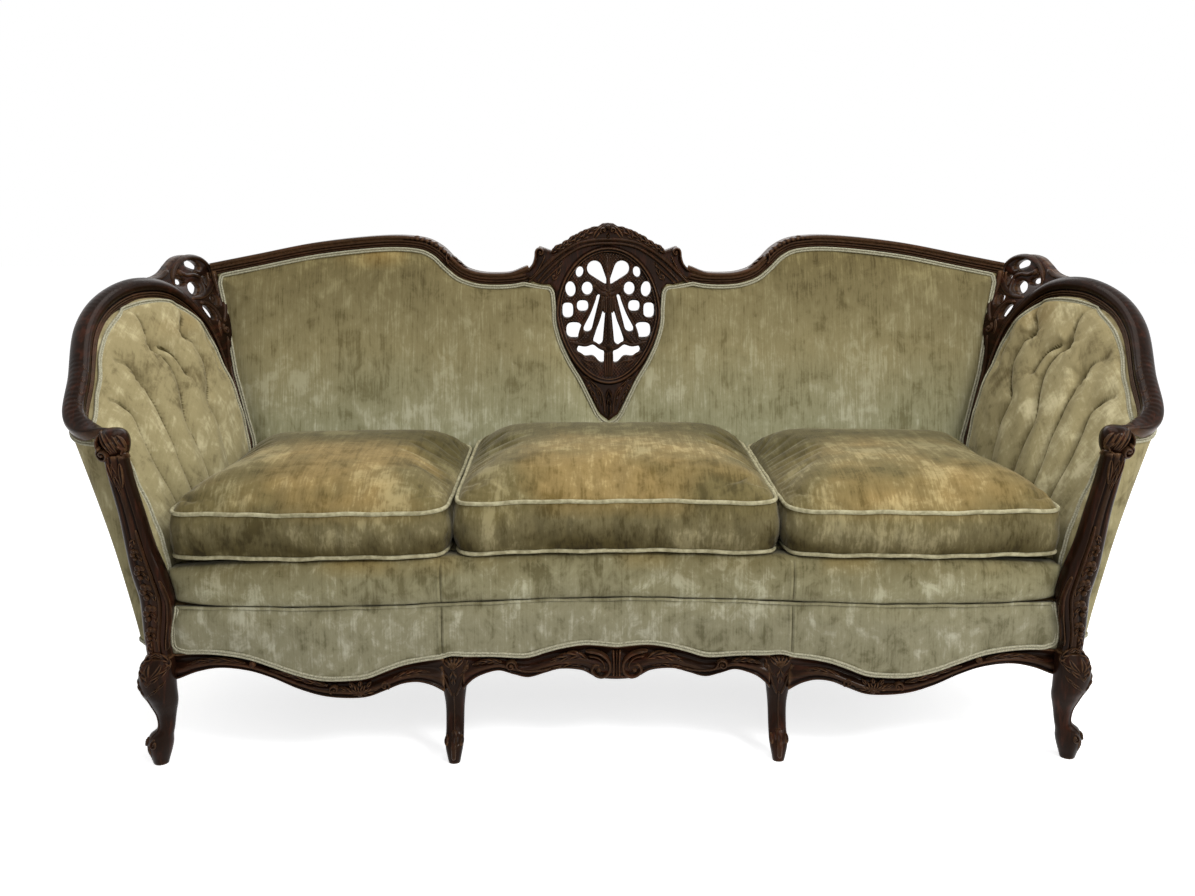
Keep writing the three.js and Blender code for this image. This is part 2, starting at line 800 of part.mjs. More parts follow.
// Plan outline of the seat platform: it narrows from the front to the back
function seatOutline(frontX, rearX, frontInset, backReach) {
  const along = (end) => evenSteps(-1, 1, frontColumns).map((share) => share * end);
  const front = along(frontX).map((x) => new THREE.Vector2(x, frontY(x) + frontInset));
  const back = along(rearX).filter((_, i) => i % 2 === 0).reverse()
    .map((x) => new THREE.Vector2(x, backY(x, 0) + backReach));
  return new THREE.Shape([...front, ...back]);
}

function frontSeatRail() {
  const front = seatRailSetback + clearance;
  const skin = (behind) => (u, v) => {
    const x = mix(-railEndX, railEndX, u);
    return new THREE.Vector3(
      x, frontY(x) + behind, mix(legHeight + clearance, railTop - clearance, v));
  };
  return slab(skin(front), skin(front + seatRailThickness), frontColumns, 1);
}

const rearRailEndShare = 0.8;
const rearRailX = rearRailEndShare * halfWidth;

function rearSeatRail() {
  const skin = (behind) => (u, v) => {
    const x = mix(-rearRailX, rearRailX, u);
    return onBack(x, mix(legHeight + clearance, railTop - clearance, v), behind);
  };
  return slab(skin(0), skin(seatRailThickness), 16, 1);
}

function sideRailX(y) {
  const frontX = railEndX + sideRailThickness;
  const rearX = backPostX(legHeight) + backPostWidth / 2 + sideRailThickness + clearance;
  return mix(frontX, rearX, y / seatDepth);
}

function sideRail() {
  const start = seatRailSetback + clearance;
  const end = backY(sideRailX(seatDepth), 0) + backPostDepth;
  const skin = (inset) => (u, v) => {
    const y = mix(start, end, u);
    return new THREE.Vector3(
      sideRailX(y) - inset, y, mix(legHeight + clearance, railTop - clearance, v));
  };
  return slab(skin(0), skin(sideRailThickness), 4, 1);
}

const braceShare = 0.26;

function seatBrace() {
  const x = braceShare * halfWidth;
  const [leftX, rightX] = [x - braceThickness / 2, x + braceThickness / 2];
  const shape = new THREE.Shape([
    new THREE.Vector2(leftX, frontRecess), new THREE.Vector2(rightX, frontRecess),
    new THREE.Vector2(rightX, seatDepth), new THREE.Vector2(leftX, seatDepth),
  ]);
  const low = legHeight + braceDrop;
  return plate(shape, railTop - clearance - low, (u, v, w) => leveled(u, v, low + w));
}

function cornerBlock(atRear) {
  const x = railEndX;
  const y = atRear ? backY(x, 0) + clearance : seatRailSetback + seatRailThickness / 2;
  const turn = atRear ? -1 : 1;
  const reach = cornerBlockReach + seatRailThickness / 2;
  const shape = new THREE.Shape([
    new THREE.Vector2(x + reach / 4, y - turn * reach / 4),
    new THREE.Vector2(x - reach, y - turn * reach / 4),
    new THREE.Vector2(x + reach / 4, y + turn * reach),
  ]);
  const low = legHeight + cornerBlockDrop;
  return plate(shape, railTop - cornerBlockDrop - low, (u, v, w) => leveled(u, v, low + w));
}

function lowerBackRail() {
  const low = rakeHeight - lowerBackRailHeight;
  const skin = (behind) => (u, v) => (
    onBack(mix(-rearRailX, rearRailX, u), mix(low, rakeHeight, v), behind));
  const front = insideBackDepth / 2 + 4 * clearance;
  return slab(skin(front), skin(front + lowerBackRailDepth), 16, 1);
}

const webbingColumns = 6;
const webbingRows = 3;

function webbing() {
  const frontInset = seatRailSetback + seatRailThickness - webbingTack;
  const low = legHeight - webbingThickness;
  const outline = seatOutline(
    railEndX + webbingTack, rearRailX - webbingTack, frontInset, webbingTack);
  const sheet = plate(outline, webbingThickness, (u, v, w) => leveled(u, v, low + w));
  const left = -railEndX + webbingTack;
  const start = frontRecess + seatRailSetback + seatRailThickness + webbingTack;
  const end = backY(railEndX, 0) - webbingTack;
  const stepX = (-2 * left + webbingStrapWidth) / webbingColumns;
  const stepY = (end - start + webbingStrapWidth) / webbingRows;
  const gapSize = [stepX - webbingStrapWidth, stepY - webbingStrapWidth, 4 * webbingThickness];
  let woven = toSolid(sheet);
  for (let column = 0; column < webbingColumns; column++) {
    for (let row = 0; row < webbingRows; row++) {
      const opening = new THREE.BoxGeometry(...gapSize);
      opening.translate(
        left + column * stepX + gapSize[0] / 2, start + row * stepY + gapSize[1] / 2, low);
      woven = woven.subtract(toSolid(opening));
    }
  }
  return mainBody(toGeometry(woven));
}

function dustCover() {
  const top = legHeight - webbingThickness - clearance;
  const shape = seatOutline(railEndX, rearRailX - webbingTack, apronDepth + innerLegDepth / 2, 0);
  return plate(shape, dustCoverThickness, (u, v, w) => leveled(u, v, top - dustCoverThickness + w));
}

const springTurns = 3;
const springSteps = 7;
const springWaistShare = 0.72;
const deckBottom = deckHeight - deckPadding;

// A coil spring that narrows at its waist, standing on the webbing
function coilSpring() {
  const low = springWire / 2;
  const high = deckBottom - legHeight - 2 * clearance - springWire / 2;
  const steps = springTurns * springSteps;
  const sides = 4;
  const rings = [];
  for (let step = 0; step <= steps; step++) {
    const share = step / steps;
    const angle = 2 * Math.PI * springTurns * share;
    const waist = mix(springWaistShare, 1, Math.pow(2 * share - 1, 2));
    const radius = waist * (springWidth - springWire) / 2;
    const out = new THREE.Vector3(Math.cos(angle), Math.sin(angle), 0);
    const centre = out.clone().multiplyScalar(radius);
    centre.z = mix(low, high, share);
    rings.push(Array.from({ length: sides }, (_, i) => {
      const around = 2 * Math.PI * (i + 1 / 2) / sides;
      const reach = springWire / 2 / Math.cos(Math.PI / sides);
      return centre.clone()
        .addScaledVector(out, reach * Math.cos(around))
        .add(new THREE.Vector3(0, 0, reach * Math.sin(around)));
    }));
  }
  return loft(rings);
}

function seatDeck() {
  const front = springRoll - borderProud + 3 * clearance;
  const [frontX, rearX] = insideFootShares.map((share) => share * halfWidth - deckSideGap);
  const shape = seatOutline(frontX, rearX, front, -insideBackCrown);
  return plate(shape, deckPadding, (u, v, w) => leveled(u, v, deckBottom + w));
}

// Front of the seat: a stuffed roll over the spring edge and the plain border below it

const rollEdgeShare = 0.08;
const narrowestEndX = Math.min(...armPostLevels.map((level) => level.x - level.halfX)) - clearance;

function springEdge() {
  const low = railTop + clearance;
  const skin = (behind, crown) => (u, v) => {
    const x = (2 * u - 1) * narrowestEndX;
    const rounding = Math.sin(Math.PI * mix(rollEdgeShare, 1 - rollEdgeShare, v));
    const bulge = crown * Math.sqrt(rounding);
    return new THREE.Vector3(x, frontY(x) + behind - bulge, mix(low, deckHeight, v));
  };
  return slab(skin(-borderProud, springEdgeRound), skin(springRoll - borderProud, 0), frontColumns, 3);
}

// The border's lower edge follows the top of the aprons and crosses the inner legs' heads
function borderEdge() {
  const half = [...centreApronRows().filter(([x]) => x >= 0), ...sideApronRows().reverse()];
  const right = half.map(([x, upper]) => [x * halfWidth, upper * legHeight + clearance]);
  const left = right.filter(([x]) => x > 0).reverse().map(([x, z]) => [-x, z]);
  return [...left, ...right];
}

function frontBorder() {
  const edge = borderEdge();
  const columns = edge.length - 1;
  const skin = (behind, crown) => (u, v) => {
    const [along, low] = edge[Math.round(u * columns)];
    const z = mix(low, railTop - clearance, v);
    const end = coverEndX(z);
    const x = THREE.MathUtils.clamp(along, -end, end);
    const bulge = crown * Math.sin(Math.PI * v);
    return new THREE.Vector3(x, frontY(along) + behind - bulge, z);
  };
  return slab(skin(-borderProud, borderCrown), skin(seatRailSetback - 2 * clearance, 0), columns, 2);
}

// Upholstered back

// Upper edge of the back's cover: the middle of the crest rail, then the medallion's edge
const coverTopShares = [
  [0, 0.553], [0.019, 0.567], [0.037, 0.602], [0.057, 0.645], [0.081, 0.686], [0.099, 0.73],
  [0.106, 0.775], [0.112, 0.84], [0.122, 0.862], [0.16, 0.872], [0.238, 0.868], [0.282, 0.871],
  [0.317, 0.884], [0.342, 0.906], [0.367, 0.932], [0.394, 0.948], [0.428, 0.955], [0.486, 0.956],
  [0.63, 0.94], [0.754, 0.914], [0.848, 0.894],
];

function coverHeight(x) {
  const rows = coverTopShares.map(([share, level]) => [share * halfWidth, level * sofaHeight]);
  return heightAt(rows, Math.abs(x));
}

// A point of the back's cover: u runs from side to side, v from the foot to the upper edge.
// The rows up to a share of v stand straight, below the rake.
function backGrid(low, straightShare, edgeX) {
  return (u, v) => {
    const across = 2 * u - 1;
    let top = coverHeight(across * edgeX(sofaHeight));
    const passes = 6;
    for (let pass = 0; pass < passes; pass++) {
      top = coverHeight(across * edgeX(top));
    }
    const z = v < straightShare
      ? mix(low, rakeHeight, v / straightShare)
      : mix(rakeHeight, top, (v - straightShare) / (1 - straightShare));
    return { x: across * edgeX(z), z, across };
  };
}

function backSkin(grid, behind, crown) {
  const footRiseShare = 1 / 6;
  return (u, v) => {
    const { x, z, across } = grid(u, v);
    const swell = flatOval(across);
    const rise = Math.sqrt(Math.max(Math.sin(Math.PI * mix(footRiseShare, 1, v)), 0));
    return onBack(x, z, behind - crown * swell * rise);
  };
}

function insideBack() {
  const edgeX = (z) => backPostX(z) - backPostWidth / 2 + tuck;
  const grid = backGrid(railTop + clearance, 1 / 4, edgeX);
  return slab(backSkin(grid, 0, insideBackCrown), backSkin(grid, insideBackDepth / 2, 0), 28, 4);
}

function outsideBack() {
  const start = backPostDepth + 3 * clearance;
  const grid = backGrid(legHeight + clearance, 1 / 2, outsideEdgeX);
  return slab(
    backSkin(grid, start, 0), backSkin(grid, start + outsideBackThickness, 0), 28, 2);
}

// Outside of the arm, from the arm rail down to the seat rail
const outsideTopShares = [
  [0.862, 0.02, 0.628], [0.927, 0.1, 0.635], [0.952, 0.25, 0.701], [0.974, 0.41, 0.785],
  [0.968, 0.53, 0.828], [0.939, 0.68, 0.85], [0.897, 0.82, 0.832], [0.866, 0.935, 0.792],
  [0.844, 1.03, 0.786],
];
const outsideFootShares = [0.822, 0.806];

function outsideEdgeX(z) {
  const top = outsideTopShares[outsideTopShares.length - 1];
  const corner = crestShares[0];
  return heightAt([
    [legHeight, outsideFootShares[1] * halfWidth],
    [top[2] * sofaHeight, top[0] * halfWidth],
    [corner[1] * sofaHeight, corner[0] * halfWidth],
  ], z);
}

const outsideTopCurve = curveThrough(outsideTopShares.map(inSofa));
const armFlareShare = 1.25;

function outsideArmSkin(inset) {
  return (u, v) => {
    const top = outsideTopCurve.getPointAt(u);
    const foot = new THREE.Vector3(
      mix(...outsideFootShares, u) * halfWidth,
      mix(seatRailSetback, backY(top.x, 0) + backPostDepth, u),
      legHeight + clearance);
    const point = foot.clone().lerp(top, v);
    point.x = mix(foot.x, top.x, Math.pow(v, armFlareShare)) - inset;
    if (u === 1) {
      point.z = v < 1 / 2 ? mix(foot.z, rakeHeight, 2 * v) : mix(rakeHeight, top.z, 2 * v - 1);
      point.x = outsideEdgeX(point.z) - inset;
      point.y = backY(point.x, point.z) + backPostDepth - 3 * clearance;
    }
    return point;
  };
}

function outsideArm() {
  return slab(outsideArmSkin(0), outsideArmSkin(outsideArmThickness), 12, 4);
}

// Inside of the arm: a stuffed pad whose folds fan out from the rail down to the seat.
// Places on it are shares of the way along the rail and of the way up from the seat.
const insideFootShares = [0.775, 0.752];
const insideFanShare = 0.85;
const armStraightShare = 0.25;
const armInnerFlareShare = 1.3;
const tuftShares = [[0.27, 0.56], [0.42, 0.66], [0.56, 0.74]];
const foldShares = [
  [[0.2, 0.98], [0.24, 0.72], [0.27, 0.56]],
  [[0.34, 0.98], [0.39, 0.8], [0.42, 0.66]],
  [[0.55, 0.99], [0.56, 0.88], [0.56, 0.74]],
  [[0.27, 0.56], [0.33, 0.48], [0.37, 0.36], [0.42, 0.12]],
  [[0.42, 0.66], [0.5, 0.55], [0.52, 0.44], [0.56, 0.12]],
  [[0.56, 0.74], [0.64, 0.62], [0.66, 0.46], [0.71, 0.12]],
  [[0.06, 0.98], [0.14, 0.84], [0.2, 0.5], [0.26, 0.12]],
];

function insideArmPoint(u, v) {
  const top = armRailCurve.getPointAt(u);
  const foot = new THREE.Vector3(
    mix(...insideFootShares, u) * halfWidth,
    backY(insideFootShares[1] * halfWidth, 0) * Math.pow(u, insideFanShare),
    railTop + clearance);
  const point = foot.clone().lerp(top, v);
  const flare = Math.max(v - armStraightShare, 0) / (1 - armStraightShare);
  point.x = mix(foot.x, top.x, Math.pow(flare, armInnerFlareShare));
  return point;
}

// Distance from a point to a run of straight stretches between points
function distanceTo(points, point) {
  let least = Infinity;
  for (let i = 0; i + 1 < points.length; i++) {
    const line = new THREE.Line3(points[i], points[i + 1]);
    const nearest = line.closestPointToPoint(point, true, new THREE.Vector3());
    least = Math.min(least, nearest.distanceTo(point));
  }
  return least;
}

const foldLines = foldShares.map((fold) => fold.map(([u, v]) => insideArmPoint(u, v)));
const tuftPoints = tuftShares.map(([u, v]) => insideArmPoint(u, v));

function dip(distance, width) {
  return Math.exp(-Math.pow(2 * distance / width, 2));
}

function insideArmSkin(u, v) {
  const point = insideArmPoint(u, v);
  const above = Math.max(v - armStraightShare, 0) / (1 - armStraightShare);
  const ease = Math.max(Math.sin(Math.PI * above), 0);
  const crown = armCrown * Math.sqrt(ease * Math.max(Math.sin(Math.PI * u), 0));
  const fold = Math.max(...foldLines.map((line) => dip(distanceTo(line, point), foldWidth)));
  const tuft = Math.max(...tuftPoints.map((place) => dip(place.distanceTo(point), tuftWidth)));
  const rise = crown - ease * (foldDepth * fold + tuftDepth * tuft);
  return point.addScaledVector(inwardFrom(point).normalize(), rise);
}

function insideArmBack(u, v) {
  const point = insideArmPoint(u, v);
  const thickness = mix(armEdge, armPadding, flatOval(2 * v - 1));
  return point.addScaledVector(inwardFrom(point).normalize(), -thickness);
}

function insideArm() {
  return slab(insideArmSkin, insideArmBack, 22, 8);
}

// Loose cushions: a boxed edge between two welts, sides drawn in, and a full crown
const cushionBaseShare = 0.55;
const crownRingShares = [0.96, 0.86, 0.68, 0.42];
const crownFullness = 2.6;
const crownRoundness = 0.8;

function cushion([leftX, rightX], narrowing, rise) {
  const low = deckHeight + clearance;
  const high = low + cushionHeight + rise;
  const rear = (x) => backY(x, low) - insideBackCrown - cushionBackGap;
  const middleX = (leftX + rightX) / 2;
  const centre = new THREE.Vector2(middleX, (frontY(middleX) + rear(0)) / 2);
  const sideSteps = 9;
  const cornerShare = cushionCorner / (rightX - leftX);
  const edge = [];
  for (let side = 0; side < 4; side++) {
    for (let i = 0; i < sideSteps; i++) {
      const t = mix(cornerShare, 1 - cornerShare, i / (sideSteps - 1));
      const pull = cushionPull * Math.pow(Math.sin(Math.PI * t), 1 / 2);
      const rearEnd = rightX - narrowing;
      const x = [
        mix(leftX, rightX, t), mix(rightX, rearEnd, t) - pull, mix(rearEnd, leftX, t), leftX + pull,
      ][side];
      const front = frontY(x) - cushionOverhang;
      const y = [front + pull / 2, mix(front, rear(x), t), rear(x) - pull, mix(rear(x), front, t)][side];
      edge.push(new THREE.Vector2(x, y));
    }
  }
  const ring = (share, inset, z) => edge.map((point) => {
    const way = point.clone().sub(centre);
    const scale = share * (1 - inset / way.length());
    return new THREE.Vector3(centre.x + way.x * scale, centre.y + way.y * scale, z);
  });
  const crown = (share) => (
    high + cushionCrown * Math.pow(1 - Math.pow(share, crownFullness), crownRoundness));
  return loft([
    ring(cushionBaseShare, 0, low),
    ring(1, 2 * cushionWeltInset, low),
    ring(1, 0, low + cushionWeltInset),
    ring(1, cushionWeltInset, mix(low, high, 1 / 2)),
    ring(1, 0, high),
    ...crownRingShares.map((share) => ring(share, 0, crown(share))),
  ]);
}

// Cushion sides follow the seat between the arms
const cushionDivideShare = 0.283;
const cushionEndX = insideFootShares[0] * halfWidth - cushionSideGap;
const cushionNarrowing = (insideFootShares[0] - insideFootShares[1]) * halfWidth;

// Pieces trimmed to each other, the right-hand one where there are two

const cutter = {
  splat: splatPlate([]),
  crestRail: crestRail(plainShares),
  armRail: armRail(plainShares),
  armPost: armPost(plainShares),
  backPost: backPost(plainShares),
};
const body = {};
body.splat = medallionSplat();
body.cresting = fitted(medallionCresting(), [cutter.splat]);
body.crestRail = fitted(crestRail(mouldingShares), [cutter.splat]);
body.scroll = armScroll();
body.armPost = fitted(armPost(reededShares), [body.scroll]);
body.armRail = fitted(armRail(mouldingShares), [body.scroll, cutter.armPost]);
body.backPost = fitted(backPost(blockShares), [cutter.crestRail, cutter.armRail]);
body.carving = fitted(cornerCarving(), [cutter.armRail, cutter.backPost, cutter.crestRail]);
body.cornerLeg = cornerLeg();
body.innerLeg = innerLeg();
body.rearLeg = rearLeg();
body.frontRail = fitted(frontSeatRail(), bothSides(cutter.armPost));
body.sideApron = fitted(apronBody(sideApronRows()), [
  body.cornerLeg, body.innerLeg, cutter.armPost, body.frontRail,
]);
body.centreApron = fitted(
  apronBody(centreApronRows()), [...bothSides(body.innerLeg), body.frontRail]);
body.sideRail = fitted(sideRail(), [body.frontRail, cutter.armPost, cutter.backPost]);
body.rearRail = fitted(rearSeatRail(), bothSides(cutter.backPost, body.sideRail));
body.brace = fitted(seatBrace(), [body.frontRail, body.rearRail]);
body.frontBlock = fitted(cornerBlock(false), [body.frontRail, body.sideRail, cutter.armPost]);
body.rearBlock = fitted(cornerBlock(true), [body.rearRail, body.sideRail, cutter.backPost]);
body.lowerBackRail = fitted(lowerBackRail(), bothSides(cutter.backPost));
body.border = frontBorder();
body.springEdge = springEdge();
body.insideBack = fitted(insideBack(), [
  cutter.splat, ...bothSides(cutter.crestRail, cutter.backPost),
]);
body.insideArm = fitted(insideArm(), [
  cutter.armRail, body.scroll, cutter.armPost, cutter.backPost, body.insideBack,
]);
body.outsideArm = fitted(outsideArm(), [
  cutter.armRail, body.scroll, cutter.armPost, body.sideRail, body.carving, cutter.backPost,
  body.cornerLeg,
]);
body.outsideBack = fitted(outsideBack(), [cutter.splat, ...bothSides(cutter.crestRail)]);
body.deck = seatDeck();
body.webbing = fitted(webbing(), bothSides(body.innerLeg, body.rearLeg));
body.dustCover = fitted(dustCover(), bothSides(body.innerLeg, body.rearLeg));

// Finishes

const finishes = {
  mahogany: { color: 0x43231a, roughness: 0.35, metalness: 0 },
  frameWood: { color: 0x9a7a52, roughness: 0.8, metalness: 0 },
  velvet: { color: 0x8f865c, roughness: 0.9, metalness: 0 },
  cushionVelvet: { color: 0x92814c, roughness: 0.9, metalness: 0 },
  burlap: { color: 0xa58c62, roughness: 0.95, metalness: 0 },
  dustCloth: { color: 0x2b2a28, roughness: 0.95, metalness: 0 },
  springSteel: { color: 0x8a8780, roughness: 0.4, metalness: 0.9 },
};

const sofa = new THREE.Group();
const frame = new THREE.Group();
sofa.add(frame);

function put(name, geometry, finish) {
  const mesh = new THREE.Mesh(geometry, new THREE.MeshStandardMaterial(finishes[finish]));
  mesh.name = name;
  frame.add(mesh);
  return mesh;
}

function putPair(name, geometry, finish) {
  put(`${name}_right`, geometry, finish);
  put(`${name}_left`, geometry, finish).scale.x = -1;
}

put('medallion_splat', body.splat, 'mahogany');
put('medallion_cresting', body.cresting, 'mahogany');
putPair('crest_rail', body.crestRail, 'mahogany');
putPair('arm_scroll', body.scroll, 'mahogany');
putPair('arm_post', body.armPost, 'mahogany');
putPair('arm_rail', body.armRail, 'mahogany');
putPair('back_post', body.backPost, 'mahogany');
putPair('corner_carving', body.carving, 'mahogany');
putPair('front_corner_leg', body.cornerLeg, 'mahogany');
putPair('front_inner_leg', body.innerLeg, 'mahogany');
putPair('rear_leg', body.rearLeg, 'mahogany');
putPair('front_apron', body.sideApron, 'mahogany');
put('front_apron_centre', body.centreApron, 'mahogany');
put('front_seat_rail', body.frontRail, 'frameWood');
put('rear_seat_rail', body.rearRail, 'frameWood');
putPair('side_seat_rail', body.sideRail, 'frameWood');
putPair('seat_brace', body.brace, 'frameWood');
putPair('front_corner_block', body.frontBlock, 'frameWood');
putPair('rear_corner_block', body.rearBlock, 'frameWood');
put('lower_back_rail', body.lowerBackRail, 'frameWood');
put('seat_webbing', body.webbing, 'burlap');
put('dust_cover', body.dustCover, 'dustCloth');
put('seat_deck', body.deck, 'burlap');
put('spring_edge', body.springEdge, 'velvet');
put('front_border', body.border, 'velvet');
put('inside_back', body.insideBack, 'velvet');
put('outside_back', body.outsideBack, 'velvet');
putPair('inside_arm', body.insideArm, 'velvet');
putPair('outside_arm', body.outsideArm, 'velvet');

// Three springs under each seat, between the spring edge and the back
const springPlaceShares = { across: [-0.52, 0, 0.52], deep: [0.06, 0.5, 0.94] };
const springStart = frontRecess + springRoll + springWidth / 2;
const springEnd = backY(0, 0) - insideBackCrown - springWidth / 2;
const spring = coilSpring();
springPlaceShares.across.forEach((across, seat) => {
  springPlaceShares.deep.forEach((deep, row) => {
    const number = seat * springPlaceShares.deep.length + row + 1;
    const mesh = put(`seat_spring_${number}`, spring, 'springSteel');
    mesh.position.set(across * halfWidth, mix(springStart, springEnd, deep), legHeight + clearance);
  });
});

const divideX = cushionDivideShare * halfWidth;
const middleEndX = divideX - cushionGap / 2;
put('seat_cushion_middle', cushion([-middleEndX, middleEndX], 0, middleCushionRise), 'cushionVelvet');
putPair(
  'seat_cushion', cushion([divideX + cushionGap / 2, cushionEndX], cushionNarrowing, 0), 'cushionVelvet');

// The origin is on the floor, in the middle of the sofa's box
sofa.updateMatrixWorld(true);
const box = new THREE.Box3().setFromObject(sofa, true);
frame.position.y = -(box.min.y + box.max.y) / 2;

export default sofa;
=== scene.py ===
"""Looks of a cabriole sofa: a carved mahogany show frame, tufted arms and loose velvet cushions.

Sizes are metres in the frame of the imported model: +X runs to the right as seen from the front,
+Y to the back and +Z up, with the origin on the floor in the middle of the sofa. Only the
mouldings, the carver's strokes and the lines marked so are in millimetres.
Right-hand pieces are built first and mirrored for the left.
"""
import json
import logging
import math
from dataclasses import dataclass
from enum import Enum
from typing import Callable, Sequence

import bpy
import numpy as np
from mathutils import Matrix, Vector

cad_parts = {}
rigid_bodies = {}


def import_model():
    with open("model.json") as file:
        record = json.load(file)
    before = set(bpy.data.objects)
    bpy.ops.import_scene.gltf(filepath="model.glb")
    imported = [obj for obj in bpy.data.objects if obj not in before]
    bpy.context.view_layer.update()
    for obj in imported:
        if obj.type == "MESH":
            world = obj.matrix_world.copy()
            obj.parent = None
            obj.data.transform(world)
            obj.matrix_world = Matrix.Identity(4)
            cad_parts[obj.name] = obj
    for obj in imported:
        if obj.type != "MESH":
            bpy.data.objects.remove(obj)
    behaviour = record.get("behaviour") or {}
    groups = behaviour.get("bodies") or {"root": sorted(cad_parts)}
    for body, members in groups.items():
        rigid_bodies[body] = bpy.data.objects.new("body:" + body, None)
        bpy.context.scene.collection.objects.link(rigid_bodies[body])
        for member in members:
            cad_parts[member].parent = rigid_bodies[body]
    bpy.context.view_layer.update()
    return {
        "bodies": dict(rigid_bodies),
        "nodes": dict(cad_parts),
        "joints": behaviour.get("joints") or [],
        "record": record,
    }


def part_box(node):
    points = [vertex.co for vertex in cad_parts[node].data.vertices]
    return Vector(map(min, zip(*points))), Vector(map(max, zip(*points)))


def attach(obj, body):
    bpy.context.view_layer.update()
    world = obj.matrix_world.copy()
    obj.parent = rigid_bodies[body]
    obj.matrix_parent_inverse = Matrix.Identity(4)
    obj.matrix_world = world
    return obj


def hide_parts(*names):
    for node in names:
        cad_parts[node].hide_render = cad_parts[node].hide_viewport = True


log = logging.getLogger("sofa")
Array = np.ndarray
Ground = Callable[[Array, Array, Array], Array]
MM = 0.001


class Side(Enum):
    """Which half of the sofa a mirrored piece belongs to."""

    RIGHT = 1
    LEFT = -1

    @property
    def word(self) -> str:
        """The ending that a piece of this side has in its name."""
        return self.name.lower()


class Cut(Enum):
    """The ways in which a carver raises a stroke from the wood."""

    REED = "half-round strand with rounded ends"
    LEAF = "lobed leaf with a vein down its middle"
    PETAL = "smooth leaf with a hollow down its middle"


# Numbers and curves


def mix(low: float, high: float, share: Array) -> Array:
    """Return the value a share of the way from one value to another."""
    return low + (high - low) * share


def ease(value: Array, low: float, high: float) -> Array:
    """Return a share that rises smoothly from 0 at a low value to 1 at a high one."""
    share = np.clip((np.asarray(value, float) - low) / (high - low), 0, 1)
    return share * share * (3 - 2 * share)


def unit(vectors: Array) -> Array:
    """Return vectors, along the last axis, with their length made 1."""
    length = np.linalg.norm(vectors, axis=-1, keepdims=True)
    return vectors / np.maximum(length, 1e-12)


def curve_through(points: Sequence, count: int) -> Array:
    """Run a smooth line through points and space it evenly.

    Args:
        points: The points to pass, in any dimension.
        count: How many points the line gets.

    Returns:
        An array of count points.
    """
    place = np.asarray(points, float)
    if len(place) == 2:
        return mix(place[0], place[1], np.linspace(0, 1, count)[:, None])
    gap = np.maximum(np.linalg.norm(np.diff(place, axis=0), axis=1) ** 0.5, 1e-9)
    knot = np.concatenate([[0], np.cumsum(gap)])
    slope = np.diff(place, axis=0) / gap[:, None]
    lean = np.empty_like(place)
    lean[1:-1] = (slope[:-1] * gap[1:, None] + slope[1:] * gap[:-1, None]) / (
        knot[2:] - knot[:-2])[:, None]
    lean[0] = 1.5 * slope[0] - 0.5 * lean[1]
    lean[-1] = 1.5 * slope[-1] - 0.5 * lean[-2]
    fine = np.linspace(0, knot[-1], count * 8)
    index = np.clip(np.searchsorted(knot, fine, side="right") - 1, 0, len(gap) - 1)
    width = gap[index][:, None]
    share = ((fine - knot[index]) / gap[index])[:, None]
    line = (
        (1 + 2 * share) * (1 - share) ** 2 * place[index]
        + share * (1 - share) ** 2 * width * lean[index]
        + share ** 2 * (3 - 2 * share) * place[index + 1]
        + share ** 2 * (share - 1) * width * lean[index + 1]
    )
    return spaced(line, count)


def spaced(line: Array, count: int) -> Array:
    """Space the points of a line evenly.

    Args:
        line: The points of the line.
        count: How many points to return.

    Returns:
        An array of count points.
    """
    step = np.linalg.norm(np.diff(line, axis=0), axis=1)
    travelled = np.concatenate([[0], np.cumsum(step)])
    wanted = np.linspace(0, travelled[-1], count)
    return sampled(line, travelled, wanted)


def sampled(line: Array, knots: Array, places: Array) -> Array:
    """Return the points of a line at places between the knots of its points."""
    return np.stack([np.interp(places, knots, axis) for axis in line.T], axis=-1)


def softened(line: Array, times: int) -> Array:
    """Return a line whose points are drawn towards their neighbours a number of times."""
    for _ in range(times):
        line = np.vstack([line[:1], (line[:-2] + 2 * line[1:-1] + line[2:]) / 4, line[-1:]])
    return line


def tangents(path: Array, loop: bool = False) -> Array:
    """Return the direction at each point of a line, which may close on itself."""
    if loop:
        return unit(np.roll(path, -1, axis=0) - np.roll(path, 1, axis=0))
    return unit(np.gradient(path, axis=0))


def distance_to(line: Array, points: Array) -> Array:
    """Find how far points are from a run of straight stretches.

    Args:
        line: The corners of the run.
        points: Points along the last axis.

    Returns:
        The least distance of each point.
    """
    least = np.full(points.shape[:-1], np.inf)
    for start, end in zip(line[:-1], line[1:]):
        way = end - start
        share = np.clip(((points - start) @ way) / (way @ way), 0, 1)
        nearest = start + share[..., None] * way
        least = np.minimum(least, np.linalg.norm(points - nearest, axis=-1))
    return least


def spiral(centre: Sequence, radius: float, turns: float, start: float, tightness: float = 0.25) -> Array:
    """Wind a volute inwards.

    Args:
        centre: The middle, in the carver's own two directions.
        radius: The radius at the outer end.
        turns: How many turns it makes, negative for clockwise.
        start: The angle of its outer end, in degrees.
        tightness: The last radius as a share of the first.

    Returns:
        Points from the outer end to the inner end.
    """
    share = np.linspace(0, 1, max(int(abs(turns) * 22), 8))
    angle = math.radians(start) + 2 * math.pi * turns * share
    reach = radius * mix(1, tightness, share)
    return np.stack([centre[0] + reach * np.cos(angle), centre[1] + reach * np.sin(angle)], axis=1)


# Meshes


